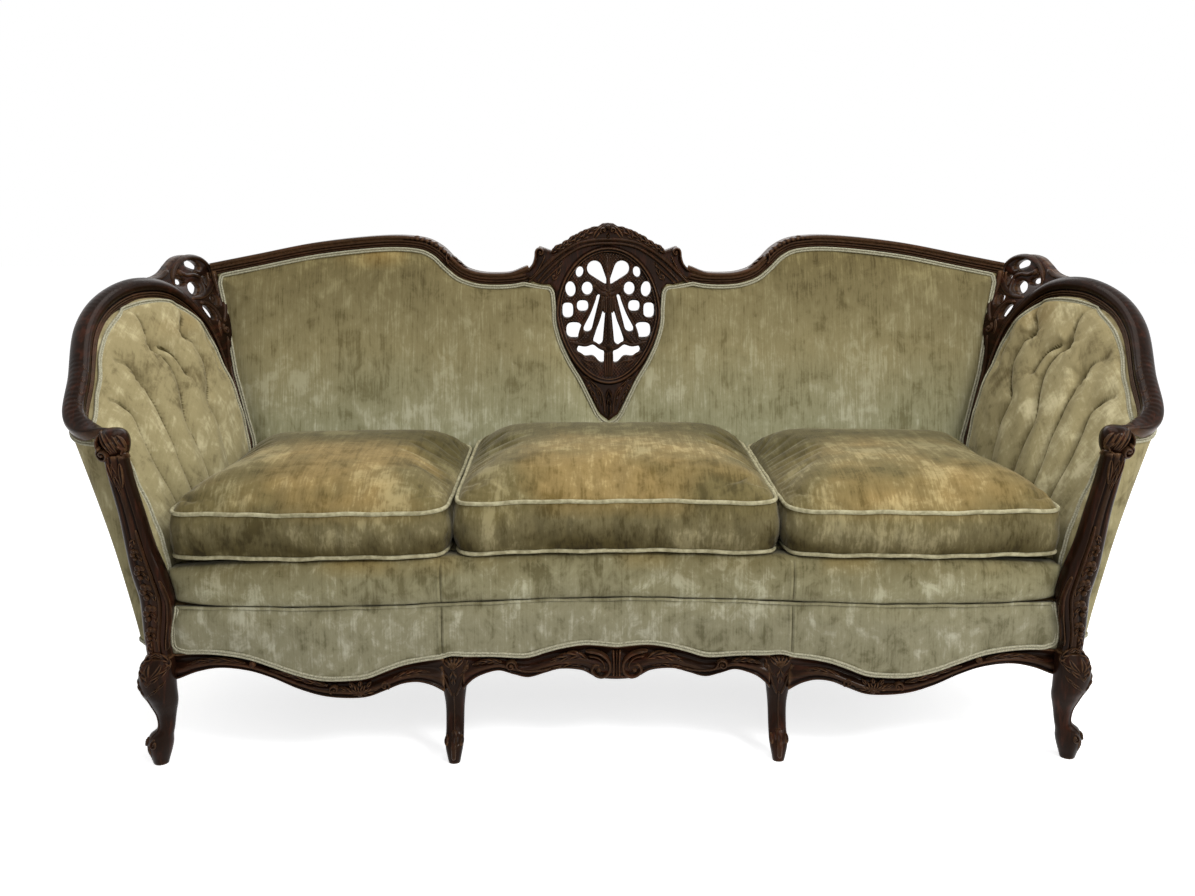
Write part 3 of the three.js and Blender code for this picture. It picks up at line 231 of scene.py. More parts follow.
class Shape:
    """Closed bodies gathered into one mesh."""

    def __init__(self) -> None:
        """Start with no body."""
        self.points: list[Array] = []
        self.faces: list[Array] = []
        self.count = 0

    def add(self, points: Array, *faces: Array) -> None:
        """Add one closed body, turned so that its faces look outwards.

        Args:
            points: The body's points.
            faces: Arrays of faces, each with 3 or 4 corners a row.
        """
        place = np.asarray(points, float).reshape(-1, 3)
        volume = 0.0
        for group in faces:
            for second in range(1, group.shape[1] - 1):
                a, b, c = (place[group[:, i]] for i in (0, second, second + 1))
                volume += np.einsum("ij,ij->", a, np.cross(b, c))
        for group in faces:
            self.faces.append((group[:, ::-1] if volume < 0 else group) + self.count)
        self.points.append(place)
        self.count += len(place)

    def loft(self, rings: Array, loop: bool = False) -> None:
        """Join rings of equal count in a row.

        Args:
            rings: Points as rows of rings.
            loop: Whether the last ring leads back to the first, with no end caps.
        """
        rows, count, _ = rings.shape
        place = rings.reshape(-1, 3)
        row = np.arange(rows if loop else rows - 1)[:, None]
        column = np.arange(count)[None, :]
        following = (row + 1) % rows
        quads = np.stack([
            row * count + column, row * count + (column + 1) % count,
            following * count + (column + 1) % count, following * count + column,
        ], axis=-1).reshape(-1, 4)
        if loop:
            self.add(place, quads)
            return
        fan = np.arange(count)
        first, last = len(place), len(place) + 1
        near = np.stack([np.full(count, first), (fan + 1) % count, fan], axis=1)
        end = (rows - 1) * count
        far = np.stack([np.full(count, last), end + fan, end + (fan + 1) % count], axis=1)
        place = np.vstack([place, rings[0].mean(axis=0), rings[-1].mean(axis=0)])
        self.add(place, quads, np.vstack([near, far]))

    def slab(self, near: Array, far: Array) -> None:
        """Join two skins over the same grid round their edge.

        Args:
            near: Points of one skin, as rows and columns.
            far: Points of the other skin.
        """
        rows, columns, _ = near.shape
        index = np.arange(rows * columns).reshape(rows, columns)
        quads = np.stack([index[:-1, :-1], index[:-1, 1:], index[1:, 1:], index[1:, :-1]], axis=-1)
        quads = quads.reshape(-1, 4)
        offset = rows * columns
        edge = np.concatenate([index[0, :-1], index[:-1, -1], index[-1, :0:-1], index[:0:-1, 0]])
        ahead = np.roll(edge, -1)
        wall = np.stack([ahead, edge, edge + offset, ahead + offset], axis=1)
        place = np.concatenate([near.reshape(-1, 3), far.reshape(-1, 3)])
        self.add(place, np.concatenate([quads, quads[:, ::-1] + offset, wall]))

    def tube(self, path: Array, radius: float | Array, facing: Array, sides: int = 8,
             loop: bool = False, flat: float = 1.0) -> None:
        """Run a round strand along a line.

        Args:
            path: The middle line.
            radius: The radius, one for all or one a point.
            facing: The direction that the strand's first side looks in.
            sides: How many sides it has.
            loop: Whether it closes on itself.
            flat: Its thickness as a share of its width.
        """
        angle = 2 * math.pi * (np.arange(sides) + 0.5) / sides
        section = np.stack([np.cos(angle), np.sin(angle) * flat], axis=1)
        size = np.broadcast_to(np.asarray(radius, float), (len(path),))
        if not loop:
            order = np.arange(len(path))
            size = size * np.minimum(1, 0.25 + np.minimum(order, order[::-1]))
        self.sweep(path, facing, section, size, size, loop=loop)

    def sweep(self, path: Array, facing: Array, section: Array, across: Array | float = 1.0,
              out: Array | float = 1.0, loop: bool = False, relief: Array | None = None) -> None:
        """Run a section along a line.

        Args:
            path: The line.
            facing: The way that the section's second axis looks, one for all or one a point.
            section: The outline as pairs across and out, closed.
            across: The scale of the first axis, one for all or one a point.
            out: The scale of the second axis.
            loop: Whether the line closes on itself.
            relief: Extra reach along the outline's normal, as points by outline.
        """
        side, face = across_frame(path, facing, loop)
        wide = np.broadcast_to(np.asarray(across, float), (len(path),))
        deep = np.broadcast_to(np.asarray(out, float), (len(path),))
        first = section[None, :, 0] * wide[:, None]
        second = section[None, :, 1] * deep[:, None]
        if relief is not None:
            way = np.roll(section, -1, axis=0) - np.roll(section, 1, axis=0)
            turn = np.sign(np.sum(section[:, 0] * way[:, 1] - section[:, 1] * way[:, 0]))
            normal = turn * unit(np.stack([way[:, 1], -way[:, 0]], axis=1))
            first = first + normal[None, :, 0] * relief
            second = second + normal[None, :, 1] * relief
        rings = path[:, None] + side[:, None] * first[..., None] + face[:, None] * second[..., None]
        self.loft(rings, loop)

    def mirrored(self) -> "Shape":
        """Return the same bodies on the other side of the sofa's middle."""
        other = Shape()
        other.points = [place * np.array([-1, 1, 1]) for place in self.points]
        other.faces = [group[:, ::-1] for group in self.faces]
        other.count = self.count
        return other

    def piece(self, name: str, material: bpy.types.Material, slot: str, body: str = "frame",
              nodes: Sequence[str] = ()) -> bpy.types.Object:
        """Make the gathered bodies into one dressed piece that rides on a body.

        Args:
            name: The piece's name.
            material: Its finish.
            slot: Not used.
            body: The body that it rides on.
            nodes: The model's nodes that it stands for.

        Returns:
            The new object.
        """
        mesh = bpy.data.meshes.new(name)
        corners = [row for group in self.faces for row in group.tolist()]
        mesh.from_pydata(np.concatenate(self.points).tolist(), [], corners)
        mesh.polygons.foreach_set("use_smooth", [True] * len(mesh.polygons))
        mesh.materials.append(material)
        piece = bpy.data.objects.new(name, mesh)
        bpy.context.scene.collection.objects.link(piece)
        if nodes:
            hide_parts(*nodes)
        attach(piece, body)
        log.info("%s: %d faces", name, len(mesh.polygons))
        return piece

    def pair(self, name: str, material: bpy.types.Material, slot: str,
             nodes: Sequence[str] = ()) -> list[bpy.types.Object]:
        """Make the right-hand piece and its mirrored twin.

        Args:
            name: The name that both share.
            material: Their finish.
            slot: Passed on to the making of each piece.
            nodes: The shared names of the model's nodes that they stand for.

        Returns:
            The right-hand and the left-hand object.
        """
        pieces = []
        for side, shape in ((Side.RIGHT, self), (Side.LEFT, self.mirrored())):
            stands_for = [f"{node}_{side.word}" for node in nodes]
            pieces.append(shape.piece(f"{name}_{side.word}", material, slot, nodes=stands_for))
        return pieces


def across_frame(path: Array, facing: Array, loop: bool = False) -> tuple[Array, Array]:
    """Find the two directions across a line.

    Args:
        path: The line.
        facing: The way to look, one for all or one a point.
        loop: Whether the line closes on itself.

    Returns:
        Unit vectors to the side, and unit vectors that look the given way.
    """
    along = tangents(path, loop)
    face = np.broadcast_to(np.asarray(facing, float), path.shape)
    face = unit(face - along * np.sum(face * along, axis=1, keepdims=True))
    return np.cross(along, face), face


@dataclass(frozen=True)
class Reed:
    """One rounded strand of a moulding, in millimetres.

    Its outline starts and ends at places across the moulding, on a level, and bulges from it.
    """

    start: float
    end: float
    level: float
    bulge: float

    def outline(self, steps: int = 6) -> Array:
        """Return the strand's outline as pairs across and out, in metres."""
        angle = np.linspace(0, math.pi, steps + 1)
        across = mix(self.start, self.end, (1 - np.cos(angle)) / 2)
        return np.stack([across, self.level + self.bulge * np.sin(angle)], axis=1) * MM


def moulded(reeds: Sequence[Reed], behind: float) -> Array:
    """Join strands into the closed section of a rail.

    Args:
        reeds: The strands of the face, from one edge to the other.
        behind: How far the back lies behind the path, in millimetres.

    Returns:
        The section as pairs across and out, in metres.
    """
    face = np.concatenate([reed.outline() for reed in reeds])
    first, last = face[0, 0], face[-1, 0]
    back = -behind * MM
    soft = 3 * MM if first > last else -3 * MM
    rear = [
        [last, back + abs(soft)], [last + soft, back], [first - soft, back], [first, back + abs(soft)]]
    return np.concatenate([face, rear])


@dataclass
class Carver:
    """Raises strokes from a ground. Their places and sizes are in millimetres.

    The ground turns places in the carver's two directions and a lift into points of the sofa.
    """

    ground: Ground
    shape: Shape
    twin: bool = False
    sink: float = 3
    buried: float = 0.6
    """How deep a stroke's rim lies in the ground, so that no gap shows."""

    def stroke(self, spine: Sequence, width: float, height: float, cut: Cut = Cut.REED,
               lobes: int = 4, fineness: float = 1.2) -> None:
        """Raise one stroke along a spine.

        Args:
            spine: Points in the carver's two directions.
            width: The half width at the widest place.
            height: How far it stands up.
            cut: How it is shaped.
            lobes: How many lobes a leaf has.
            fineness: The aimed spacing of the points.
        """
        rough = np.asarray(spine, float)
        length = np.linalg.norm(np.diff(rough, axis=0), axis=1).sum()
        count = int(np.clip(length / fineness, 10, 90))
        path = curve_through(rough, count) * MM
        along = tangents(path)
        side = np.stack([-along[:, 1], along[:, 0]], axis=1)
        share = np.linspace(0, 1, count)[:, None]
        across = np.linspace(-1, 1, 15 if cut is Cut.LEAF else 9)[None, :]
        half, lift = self.profile(share, across, cut, lobes)
        flat = path[:, None] + side[:, None] * (half * across * width * MM)[..., None]
        top = (height * lift - self.buried) * MM
        for twin in ((1, -1) if self.twin else (1,)):
            near = self.ground(twin * flat[..., 0], flat[..., 1], top)
            far = self.ground(twin * flat[..., 0], flat[..., 1], -self.sink * MM)
            self.shape.slab(near, far)

    @staticmethod
    def profile(share: Array, across: Array, cut: Cut, lobes: int) -> tuple[Array, Array]:
        """Shape a stroke of half width 1 and height 1.

        Args:
            share: The way along the stroke.
            across: The way across it, from -1 to 1.
            cut: How it is shaped.
            lobes: How many lobes a leaf has.

        Returns:
            The half widths and the lifts.
        """
        wide = np.abs(across)
        round_top = np.sqrt(np.maximum(1 - wide ** 2, 0))
        if cut is Cut.REED:
            taper = np.minimum(1, 0.3 + 1.4 * np.sqrt(np.maximum(np.sin(math.pi * share), 0)))
            return taper + 0 * across, round_top * taper
        body = np.sin(math.pi * np.clip(share, 0.01, 0.995) ** 0.8) ** 0.6
        vein = 1 - 0.6 * np.exp(-(across / 0.17) ** 2)
        if cut is Cut.PETAL:
            return body + 0 * across, body * round_top * (1 - 0.75 * np.exp(-(across / 0.45) ** 2))
        nick = np.abs(np.sin(math.pi * lobes * share)) ** 0.5
        ribs = 0.72 + 0.28 * np.cos(2 * math.pi * (lobes * share - 0.9 * wide))
        return body * (0.72 + 0.28 * nick) + 0 * across, body * round_top * vein * ribs

    def scroll(self, centre: Sequence, radius: float, turns: float, start: float, width: float,
               height: float, bead: float = 0.0, lead: Sequence = ()) -> None:
        """Raise a volute that ends in a bead.

        Args:
            centre: The middle of the volute.
            radius: Its outer radius.
            turns: How many turns it makes, negative for clockwise.
            start: The angle of its outer end, in degrees.
            width: The strand's half width.
            height: How far it stands up.
            bead: The radius of the bead in its middle, or 0 for none.
            lead: Points that lead up to its outer end.
        """
        winding = spiral(centre, radius, turns, start)
        spine = np.concatenate([np.asarray(lead, float), winding[1::2]]) if len(lead) else winding[::2]
        self.stroke(spine, width, height)
        if bead:
            self.bead(centre, bead, height)

    def bead(self, centre: Sequence, radius: float, height: float) -> None:
        """Raise a round bead.

        Args:
            centre: Its middle.
            radius: Its radius.
            height: How far it stands up.
        """
        ring = np.linspace(0, 1, 7)[:, None]
        angle = np.linspace(0, 2 * math.pi, 16, endpoint=False)[None, :]
        for twin in ((1, -1) if self.twin else (1,)):
            first = (centre[0] + radius * ring * np.cos(angle)) * MM
            second = (centre[1] + radius * ring * np.sin(angle)) * MM
            lift = (height * np.sqrt(np.maximum(1 - ring ** 2, 0)) - self.buried) * MM + 0 * angle
            cap = self.ground(twin * first[::-1], second[::-1], lift[::-1])[:-1]
            foot = self.ground(twin * first[-1:], second[-1:], -self.sink * MM)
            self.shape.loft(np.concatenate([foot, cap]))


# The sofa's guiding surfaces


@dataclass(frozen=True)
class Plan:
    """The plan and the rake that all of the pieces follow."""

    half_width: float = 1.029
    seat_depth: float = 0.62
    front_line: float = -0.3644
    front_recess: float = 0.035
    front_swell: float = 0.011
    swell_x: float = 0.5505
    front_end_x: float = 0.8006
    rake: float = 0.28
    rake_height: float = 0.45
    back_wrap: float = 0.06
    wrap_x: float = 0.8695
    back_post: tuple = (
        (0.208, 0.776), (0.3, 0.778), (0.393, 0.78), (0.476, 0.79), (0.516, 0.802),
        (0.557, 0.813), (0.614, 0.829), (0.686, 0.842), (0.747, 0.852), (0.825, 0.8695))

    def front_y(self, x: Array) -> Array:
        """Return the front of the seat at a place along it."""
        away = np.abs(x)
        inner = (1 - np.cos(math.pi * np.clip(away / self.swell_x, 0, 1))) / 2
        outer = np.clip((away - self.swell_x) / (self.front_end_x - self.swell_x), 0, 1)
        hollow = mix(self.front_recess, -self.front_swell, inner)
        swell = mix(-self.front_swell, 0, (1 - np.cos(math.pi * outer)) / 2)
        return self.front_line + np.where(away < self.swell_x, hollow, swell)

    def back_y(self, x: Array, z: Array) -> Array:
        """Return the front of the back frame at a place along it and a height."""
        wrap = (np.abs(x) / self.wrap_x) ** 3
        return (self.front_line + self.seat_depth - self.back_wrap * wrap
                + self.rake * np.maximum(np.asarray(z) - self.rake_height, 0))

    def on_back(self, x: Array, z: Array, lift: Array) -> Array:
        """Return points on the raked back, lifted towards the front."""
        x, z, lift = np.broadcast_arrays(x, z, lift)
        return np.stack([x, self.back_y(x, z) - lift, z], axis=-1)

    def on_front(self, x: Array, z: Array, lift: Array) -> Array:
        """Return points on the front of the seat, lifted towards the front."""
        x, z, lift = np.broadcast_arrays(x, z, lift)
        return np.stack([x, self.front_y(x) - lift, z], axis=-1)

    def post_x(self, z: Array) -> Array:
        """Return how far out the middle of the back post stands at a height."""
        rows = np.array(self.back_post)
        return np.interp(z, rows[:, 0], rows[:, 1])


PLAN = Plan()


# Finishes


def shade(code: str) -> tuple[float, float, float, float]:
    """Turn a colour code into a linear colour.

    Args:
        code: Six hex digits.

    Returns:
        Red, green, blue and alpha.
    """
    parts = [int(code[i:i + 2], 16) / 255 for i in (0, 2, 4)]
    linear = [p / 12.92 if p <= 0.04045 else ((p + 0.055) / 1.055) ** 2.4 for p in parts]
    return (*linear, 1.0)


class Recipe:
    """The nodes of one material."""

    def __init__(self, name: str) -> None:
        """Start a material of that name with a shader and object coordinates."""
        self.material = bpy.data.materials.new(name)
        self.material.use_nodes = True
        self.tree = self.material.node_tree
        self.shader = self.tree.nodes["Principled BSDF"]
        self.place = self.tree.nodes.new("ShaderNodeTexCoord").outputs["Object"]

    def node(self, kind: str, inputs: dict | None = None, **options: object) -> bpy.types.Node:
        """Add a node.

        Args:
            kind: The node's type after the word ShaderNode.
            inputs: Values and sockets by input name or number.
            **options: The node's own settings.

        Returns:
            The node.
        """
        node = self.tree.nodes.new(f"ShaderNode{kind}")
        for key, value in options.items():
            setattr(node, key, value)
        for key, value in (inputs or {}).items():
            if isinstance(value, bpy.types.NodeSocket):
                self.tree.links.new(value, node.inputs[key])
            else:
                node.inputs[key].default_value = value
        return node

    def noise(self, scale: Sequence, detail: float = 4, roughness: float = 0.55,
              distortion: float = 0.0) -> bpy.types.NodeSocket:
        """Add a noise with its own scale along each axis.

        Args:
            scale: How often it repeats a metre, along X, Y and Z.
            detail: Its octaves.
            roughness: The strength of the fine ones.
            distortion: How much it swirls.

        Returns:
            Its factor.
        """
        mapping = self.node("Mapping", {"Vector": self.place, "Scale": scale})
        return self.node("TexNoise", {
            "Vector": mapping.outputs[0], "Scale": 1.0, "Detail": detail,
            "Roughness": roughness, "Distortion": distortion}).outputs[0]

    def ramp(self, factor: bpy.types.NodeSocket, stops: Sequence) -> bpy.types.NodeSocket:
        """Add a colour ramp.

        Args:
            factor: What drives it.
            stops: Pairs of a position and a colour code.

        Returns:
            Its colour.
        """
        node = self.node("ValToRGB", {0: factor})
        node.color_ramp.interpolation = "EASE"
        elements = node.color_ramp.elements
        stops = tuple(stops)
        while len(elements) < len(stops):
            elements.new(0.5)
        for element, (position, code) in zip(elements, stops):
            element.position = position
            element.color = shade(code)
        return node.outputs["Color"]

    def maths(self, operation: str, first: object, second: object = 0.0,
              third: object = 0.0) -> bpy.types.NodeSocket:
        """Add a sum of values or sockets and return its result."""
        return self.node("Math", {0: first, 1: second, 2: third}, operation=operation).outputs[0]

    def product(self, first: object, second: object) -> bpy.types.NodeSocket:
        """Multiply two values or sockets."""
        return self.maths("MULTIPLY", first, second)

    def span(self, value: object, low: float, high: float) -> bpy.types.NodeSocket:
        """Return the share of the way that a value has come from one limit to another."""
        return self.node("MapRange", {"Value": value, "From Min": low, "From Max": high}).outputs[0]

    def blend(self, factor: object, first: object, second: object,
              kind: str = "MIX") -> bpy.types.NodeSocket:
        """Mix two colours by the factor of the second."""
        node = self.node("Mix", {0: factor, 6: first, 7: second}, data_type="RGBA", blend_type=kind)
        return node.outputs[2]

    def tinted(self, colour: object, share: object, code: str) -> bpy.types.NodeSocket:
        """Tint a colour fully where a share is 0 and not at all where it is 1."""
        tint = self.ramp(share, ((0.0, code), (1.0, "ffffff")))
        return self.blend(1.0, colour, tint, "MULTIPLY")

    def bump(self, height: bpy.types.NodeSocket, strength: float, depth: float,
             below: bpy.types.NodeSocket | None = None) -> bpy.types.NodeSocket:
        """Add a bump.

        Args:
            height: What stands up.
            strength: How strongly, from 0 to 1.
            depth: The height of a full bump, in metres.
            below: A bump that it adds to.

        Returns:
            The normal.
        """
        inputs = {"Height": height, "Strength": strength, "Distance": depth}
        if below is not None:
            inputs["Normal"] = below
        return self.node("Bump", inputs).outputs[0]

    def finish(self, **values: object) -> bpy.types.Material:
        """Set the shader's sockets.

        Args:
            **values: Values and sockets by input name, with a low line for a space.

        Returns:
            The material.
        """
        for key, value in values.items():
            socket = self.shader.inputs[key.replace("_", " ")]
            if isinstance(value, bpy.types.NodeSocket):
                self.tree.links.new(value, socket)
            else:
                socket.default_value = value
        return self.material


class Grain(Enum):
    """The way that the wood's grain runs, as its repeats a metre along X, Y and Z."""

    LEVEL = (9, 60, 110)
    UPRIGHT = (110, 90, 9)
    DEEP = (90, 9, 90)


@dataclass(frozen=True)
class Mahogany:
    """Dark stained mahogany under an old glossy varnish. Its sharp edges are painted lighter, partly as
    wear and partly as painted highlight, and its hollows darker with painted shade.
    """

    grain: Grain
    dark: str = "0c0604"
    body: str = "1a0e08"
    warm: str = "381c11"
    # Lighter edge colour: partly real wear, partly painted highlight where the varnished edges would catch
    # the lamps.
    rubbed: str = "8d6847"
    shadow: str = "3a3230"
    sharp_edge: tuple[float, float] = (0.515, 0.6)
    # How sharp an edge is where the lighter edge colour, partly wear and partly painted highlight, starts,
    # and where it is full.
    """How sharp an edge is where the wear starts, and where it is full."""
    hollow: tuple[float, float] = (0.44, 0.5)
    """How sharp a hollow is where it lies darkest, and where the shadow ends."""
    roughness: float = 0.25

    def make(self) -> bpy.types.Material:
        """Build the material."""
        recipe = Recipe(f"mahogany_{self.grain.name.lower()}")
        strand = recipe.noise(self.grain.value, 7, 0.62, 0.5)
        cloud = recipe.noise((7, 7, 7), 3, 0.5)
        tone = recipe.maths("ADD", recipe.product(strand, 0.7), recipe.product(cloud, 0.4))
        colour = recipe.ramp(tone, ((0.34, self.dark), (0.52, self.body), (0.74, self.warm)))
        edge = recipe.node("NewGeometry").outputs["Pointiness"]
        # Painted highlight and wear: sharp edges, found by their pointiness, are lightened in patches
        # towards the rubbed colour.
        wear = recipe.span(edge, *self.sharp_edge)
        edge_wear_and_highlight = recipe.product(wear, recipe.noise((140, 140, 140), 3, 0.6))
        colour = recipe.blend(recipe.product(edge_wear_and_highlight, 0.75), colour, shade(self.rubbed))
        # Painted shade: hollows, found by their low pointiness, are darkened towards the shadow colour.
        colour = recipe.tinted(colour, recipe.span(edge, *self.hollow), self.shadow)
        pores = recipe.noise(tuple(6 * s for s in self.grain.value), 3, 0.6)
        fine = recipe.bump(pores, 0.12, 0.0006)
        hand = recipe.bump(recipe.noise((55, 55, 55), 2, 0.5), 0.25, 0.0012, fine)
        rough = recipe.node("MapRange", {
            "Value": cloud, "To Min": self.roughness - 0.06, "To Max": self.roughness + 0.14}).outputs[0]
        return recipe.finish(Base_Color=colour, Roughness=rough, Normal=hand, Coat_Weight=0.09,
                             Coat_Roughness=0.1, Specular_IOR_Level=0.07, Specular_Tint=shade("c89468"))


class Nap(Enum):
    """How the velvet's pile has been rubbed: fine lines, broad streaks, clouds and crush."""

    BACK = (0.36, 0.18, 0.46, 0.55)
    ARM = (0.16, 0.14, 0.55, 0.5)
    FRONT = (0.22, 0.1, 0.46, 0.72)
    CUSHION = (0.3, 0.34, 0.6, 0.5)


@dataclass(frozen=True)
class Velvet:
    """Cotton velvet whose crushed pile catches the light in streaks and patches."""

    nap: Nap
    levels: tuple[tuple[float, str, str, str], ...]
    """From the foot up: a height, then a dark, a middle and a light shade."""
    worn: tuple[str, str, str]
    """The dark, the middle and the light shade where it is rubbed golden."""
    worn_share: tuple[float, float]
    """How large a noise starts the golden wear, and where it is full."""
    spacing: float = 1000.0
    """How far apart the golden places stand along the sofa."""
    rear: tuple[float, float] = (8.0, 9.0)
    # How far back the golden wear ends and the painted shade at the rear is full.
    """How far back the golden wear ends and the pile lies dark."""
    lines: tuple[float, float, float] = (300, 16, 16)
    streaks: tuple[float, float, float] = (60, 8, 6)
    stops: tuple[float, float, float] = (0.04, 0.5, 0.96)
    """Where the dark, the middle and the light shade stand on the scale of the nap."""
    contrast: float = 2.9
    # Painted shade: the tint that darkens the rear of the cover.
    painted_rear_shade: str = "c9cbc0"
    # Painted shade: the tint laid into the creases and hollows of the cover.
    painted_crease_shade: str = "7c7862"
    sheen: float = 0.22

    def make(self) -> bpy.types.Material:
        """Build the material."""
        recipe = Recipe(f"velvet_{self.nap.name.lower()}")
        thin = recipe.noise(self.lines, 4, 0.6, 0.2)
        broad = recipe.noise(self.streaks, 4, 0.6, 0.4)
        cloud = recipe.noise((6.5, 6.5, 6.5), 4, 0.55, 0.4)
        crush = recipe.noise((30, 30, 22), 8, 0.68, 0.4)
        axes = recipe.node("SeparateXYZ", {0: recipe.place}).outputs
        wavy = recipe.maths("MULTIPLY_ADD", cloud, 0.12, axes["Z"])
        tone = 0.5
        for part, share in zip((thin, broad, cloud, crush), self.nap.value):
            swing = recipe.product(recipe.maths("SUBTRACT", part, 0.5), self.contrast * share)
            tone = recipe.maths("ADD", swing, tone)
        colour, below = None, 0.0
        for height, *shades in self.levels:
            level = recipe.ramp(tone, zip(self.stops, shades))
            share = recipe.span(wavy, below + 0.06, height + 0.06)
            colour = recipe.blend(share, colour, level) if colour else level
            below = height
        gold = recipe.ramp(tone, zip(self.stops, self.worn))
        middle = recipe.maths("COSINE", recipe.product(axes["X"], 2 * math.pi / self.spacing))
        patch = recipe.noise((4.3, 4.3, 4.3), 3, 0.5)
        rubbed = recipe.maths("MULTIPLY_ADD", middle, 0.12, patch)
        rubbed = recipe.span(rubbed, *self.worn_share)
        depth = recipe.maths("MULTIPLY_ADD", cloud, 0.25, axes["Y"])
        forward = recipe.span(depth, *self.rear[::-1])
        high = recipe.span(axes["Z"], self.levels[-1][0] - 0.03, self.levels[-1][0] + 0.01)
        rubbed = recipe.product(rubbed, recipe.product(forward, high))
        colour = recipe.blend(rubbed, colour, gold)
        # Painted shade: the rear of the cover is darkened towards a grey tint.
        colour = recipe.tinted(colour, forward, self.painted_rear_shade)
        # Painted shade: creases and hollows of the cover, found by their low pointiness, are darkened.
        crease_shade_share = recipe.span(recipe.node("NewGeometry").outputs["Pointiness"], 0.42, 0.5)
        colour = recipe.tinted(colour, crease_shade_share, self.painted_crease_shade)
        pile = recipe.noise((1400, 1400, 1400), 2, 0.5)
        weave = recipe.bump(pile, 0.3, 0.0006)
        lain = recipe.bump(crush, 0.3, 0.002, weave)
        brushed = recipe.bump(thin, 0.1, 0.001, lain)
        return recipe.finish(Base_Color=colour, Roughness=0.9, Normal=brushed, Sheen_Weight=self.sheen,
                             Sheen_Roughness=0.36, Sheen_Tint=shade("e4dfca"),
                             Specular_IOR_Level=0.12)


@dataclass(frozen=True)
class Plain:
    """A plain working material with a grain or a weave."""

    name: str
    dark: str
    light: str
    scale: tuple[float, float, float]
    roughness: float = 0.8
    metallic: float = 0.0
    depth: float = 0.0008

    def make(self) -> bpy.types.Material:
        """Build the material."""
        recipe = Recipe(self.name)
        grain = recipe.noise(self.scale, 6, 0.6, 0.3)
        colour = recipe.ramp(grain, ((0.3, self.dark), (0.7, self.light)))
        return recipe.finish(Base_Color=colour, Roughness=self.roughness, Metallic=self.metallic,
                             Normal=recipe.bump(grain, 0.4, self.depth))


@dataclass(frozen=True)
class Woven:
    """A cloth of crossing threads."""

    name: str
    dark: str
    light: str
    threads: float
    roughness: float = 0.9

    def make(self) -> bpy.types.Material:
        """Build the material."""
        recipe = Recipe(self.name)
        stripes = []
        for direction in ("X", "Y"):
            wave = recipe.node("TexWave", {
                "Vector": recipe.place, "Scale": self.threads, "Distortion": 1.2, "Detail": 2.0,
                "Detail Scale": 3.0}, wave_type="BANDS", bands_direction=direction)
            stripes.append(wave.outputs["Fac"])
        thread = recipe.maths("MAXIMUM", *stripes)
        slub = recipe.noise((160, 160, 160), 4, 0.6)
        tone = recipe.maths("ADD", recipe.product(thread, 0.6), recipe.product(slub, 0.5))
        colour = recipe.ramp(tone, ((0.3, self.dark), (0.85, self.light)))
        return recipe.finish(Base_Color=colour, Roughness=self.roughness,
                             Normal=recipe.bump(tone, 0.6, 0.0012))


class Workshop:
    """All the finishes of the sofa, made once."""

    def __init__(self) -> None:
        """Make each finish."""
        self.level_wood = Mahogany(Grain.LEVEL).make()
        self.upright_wood = Mahogany(Grain.UPRIGHT).make()
        self.deep_wood = Mahogany(Grain.DEEP).make()
        self.back_velvet = Velvet(
            Nap.BACK, ((0.5, "757050", "939070", "b4b196"), (0.66, "6c6241", "897f5b", "a09977"),
                       (0.86, "473d23", "655a3a", "80754f")),
            ("6d572c", "8a7547", "a99460"), (0.68, 0.82)).make()
        self.arm_velvet = Velvet(
            Nap.ARM, ((0.36, "665d40", "908763", "bab28f"), (0.74, "675a3b", "978a64", "c3b78f")),
            ("6a5a38", "8b7a52", "b5a67e"), (0.68, 0.8), streaks=(14, 14, 8)).make()
        self.front_velvet = Velvet(
            Nap.FRONT, ((0.25, "635e45", "847f65", "a8a48e"), (0.33, "645d40", "868061", "aca88c"),
                        (0.375, "4a4227", "6e6545", "908868")),
            ("6c5a34", "8b7849", "ab9a6a"), (0.66, 0.8)).make()
        # The cushion's lowest and darkest level, at the foot of the boxing, is partly painted shade and
        # partly the velvet's own colour.
        self.cushion_velvet = Velvet(
            Nap.CUSHION, ((0.385, "2c2410", "453c20", "5f5536"), (0.43, "4d4428", "6a6143", "8f8563"),
                          (0.47, "50472a", "6a5f3c", "8f845e")),
            ("6a582f", "8a7549", "ae9a6a"), (0.44, 0.62), 0.56, (-0.02, 0.14),
            lines=(240, 14, 60), streaks=(40, 7, 12), sheen=0.26).make()
        self.welt = Plain("cushion_welt", "817a5a", "b1aa88", (90, 90, 90), 0.85).make()
        self.gimp = Plain("gimp_cloth", "7d7962", "b6b197", (420, 420, 420), 0.85, depth=0.0014).make()
        self.bare_wood = Plain("bare_hardwood", "8a6a42", "b08e60", (12, 90, 120), 0.75).make()
        self.burlap = Woven("burlap", "6b5637", "b39a6c", 150.0).make()
        self.deck_cloth = Woven("deck_cloth", "7d744f", "a1976c", 420.0).make()
        self.cambric = Woven("black_cambric", "121211", "2c2b29", 500.0).make()
        self.steel = Plain("spring_steel", "5a5651", "8d8881", (300, 300, 300), 0.42, 1.0, 0.0003).make()


# Carved show frame


def inside(outline: Array, points: Array) -> Array:
    """Tell which points lie inside a closed outline.

    Args:
        outline: The corners of the outline.
        points: Points along the last axis.

    Returns:
        True for each point inside.
    """
    crossed = np.zeros(points.shape[:-1], bool)
    for start, end in zip(outline, np.roll(outline, -1, axis=0)):
        spans = (start[1] > points[..., 1]) != (end[1] > points[..., 1])
        rise = end[1] - start[1]
        reach = start[0] + (points[..., 1] - start[1]) * (end[0] - start[0]) / (rise or 1e-12)
        crossed ^= spans & (points[..., 0] < reach)
    return crossed


def depth_in(outline: Array, points: Array) -> Array:
    """Return how deep points lie inside a closed outline, negative outside."""
    away = distance_to(np.vstack([outline, outline[:1]]), points)
    return np.where(inside(outline, points), away, -away)


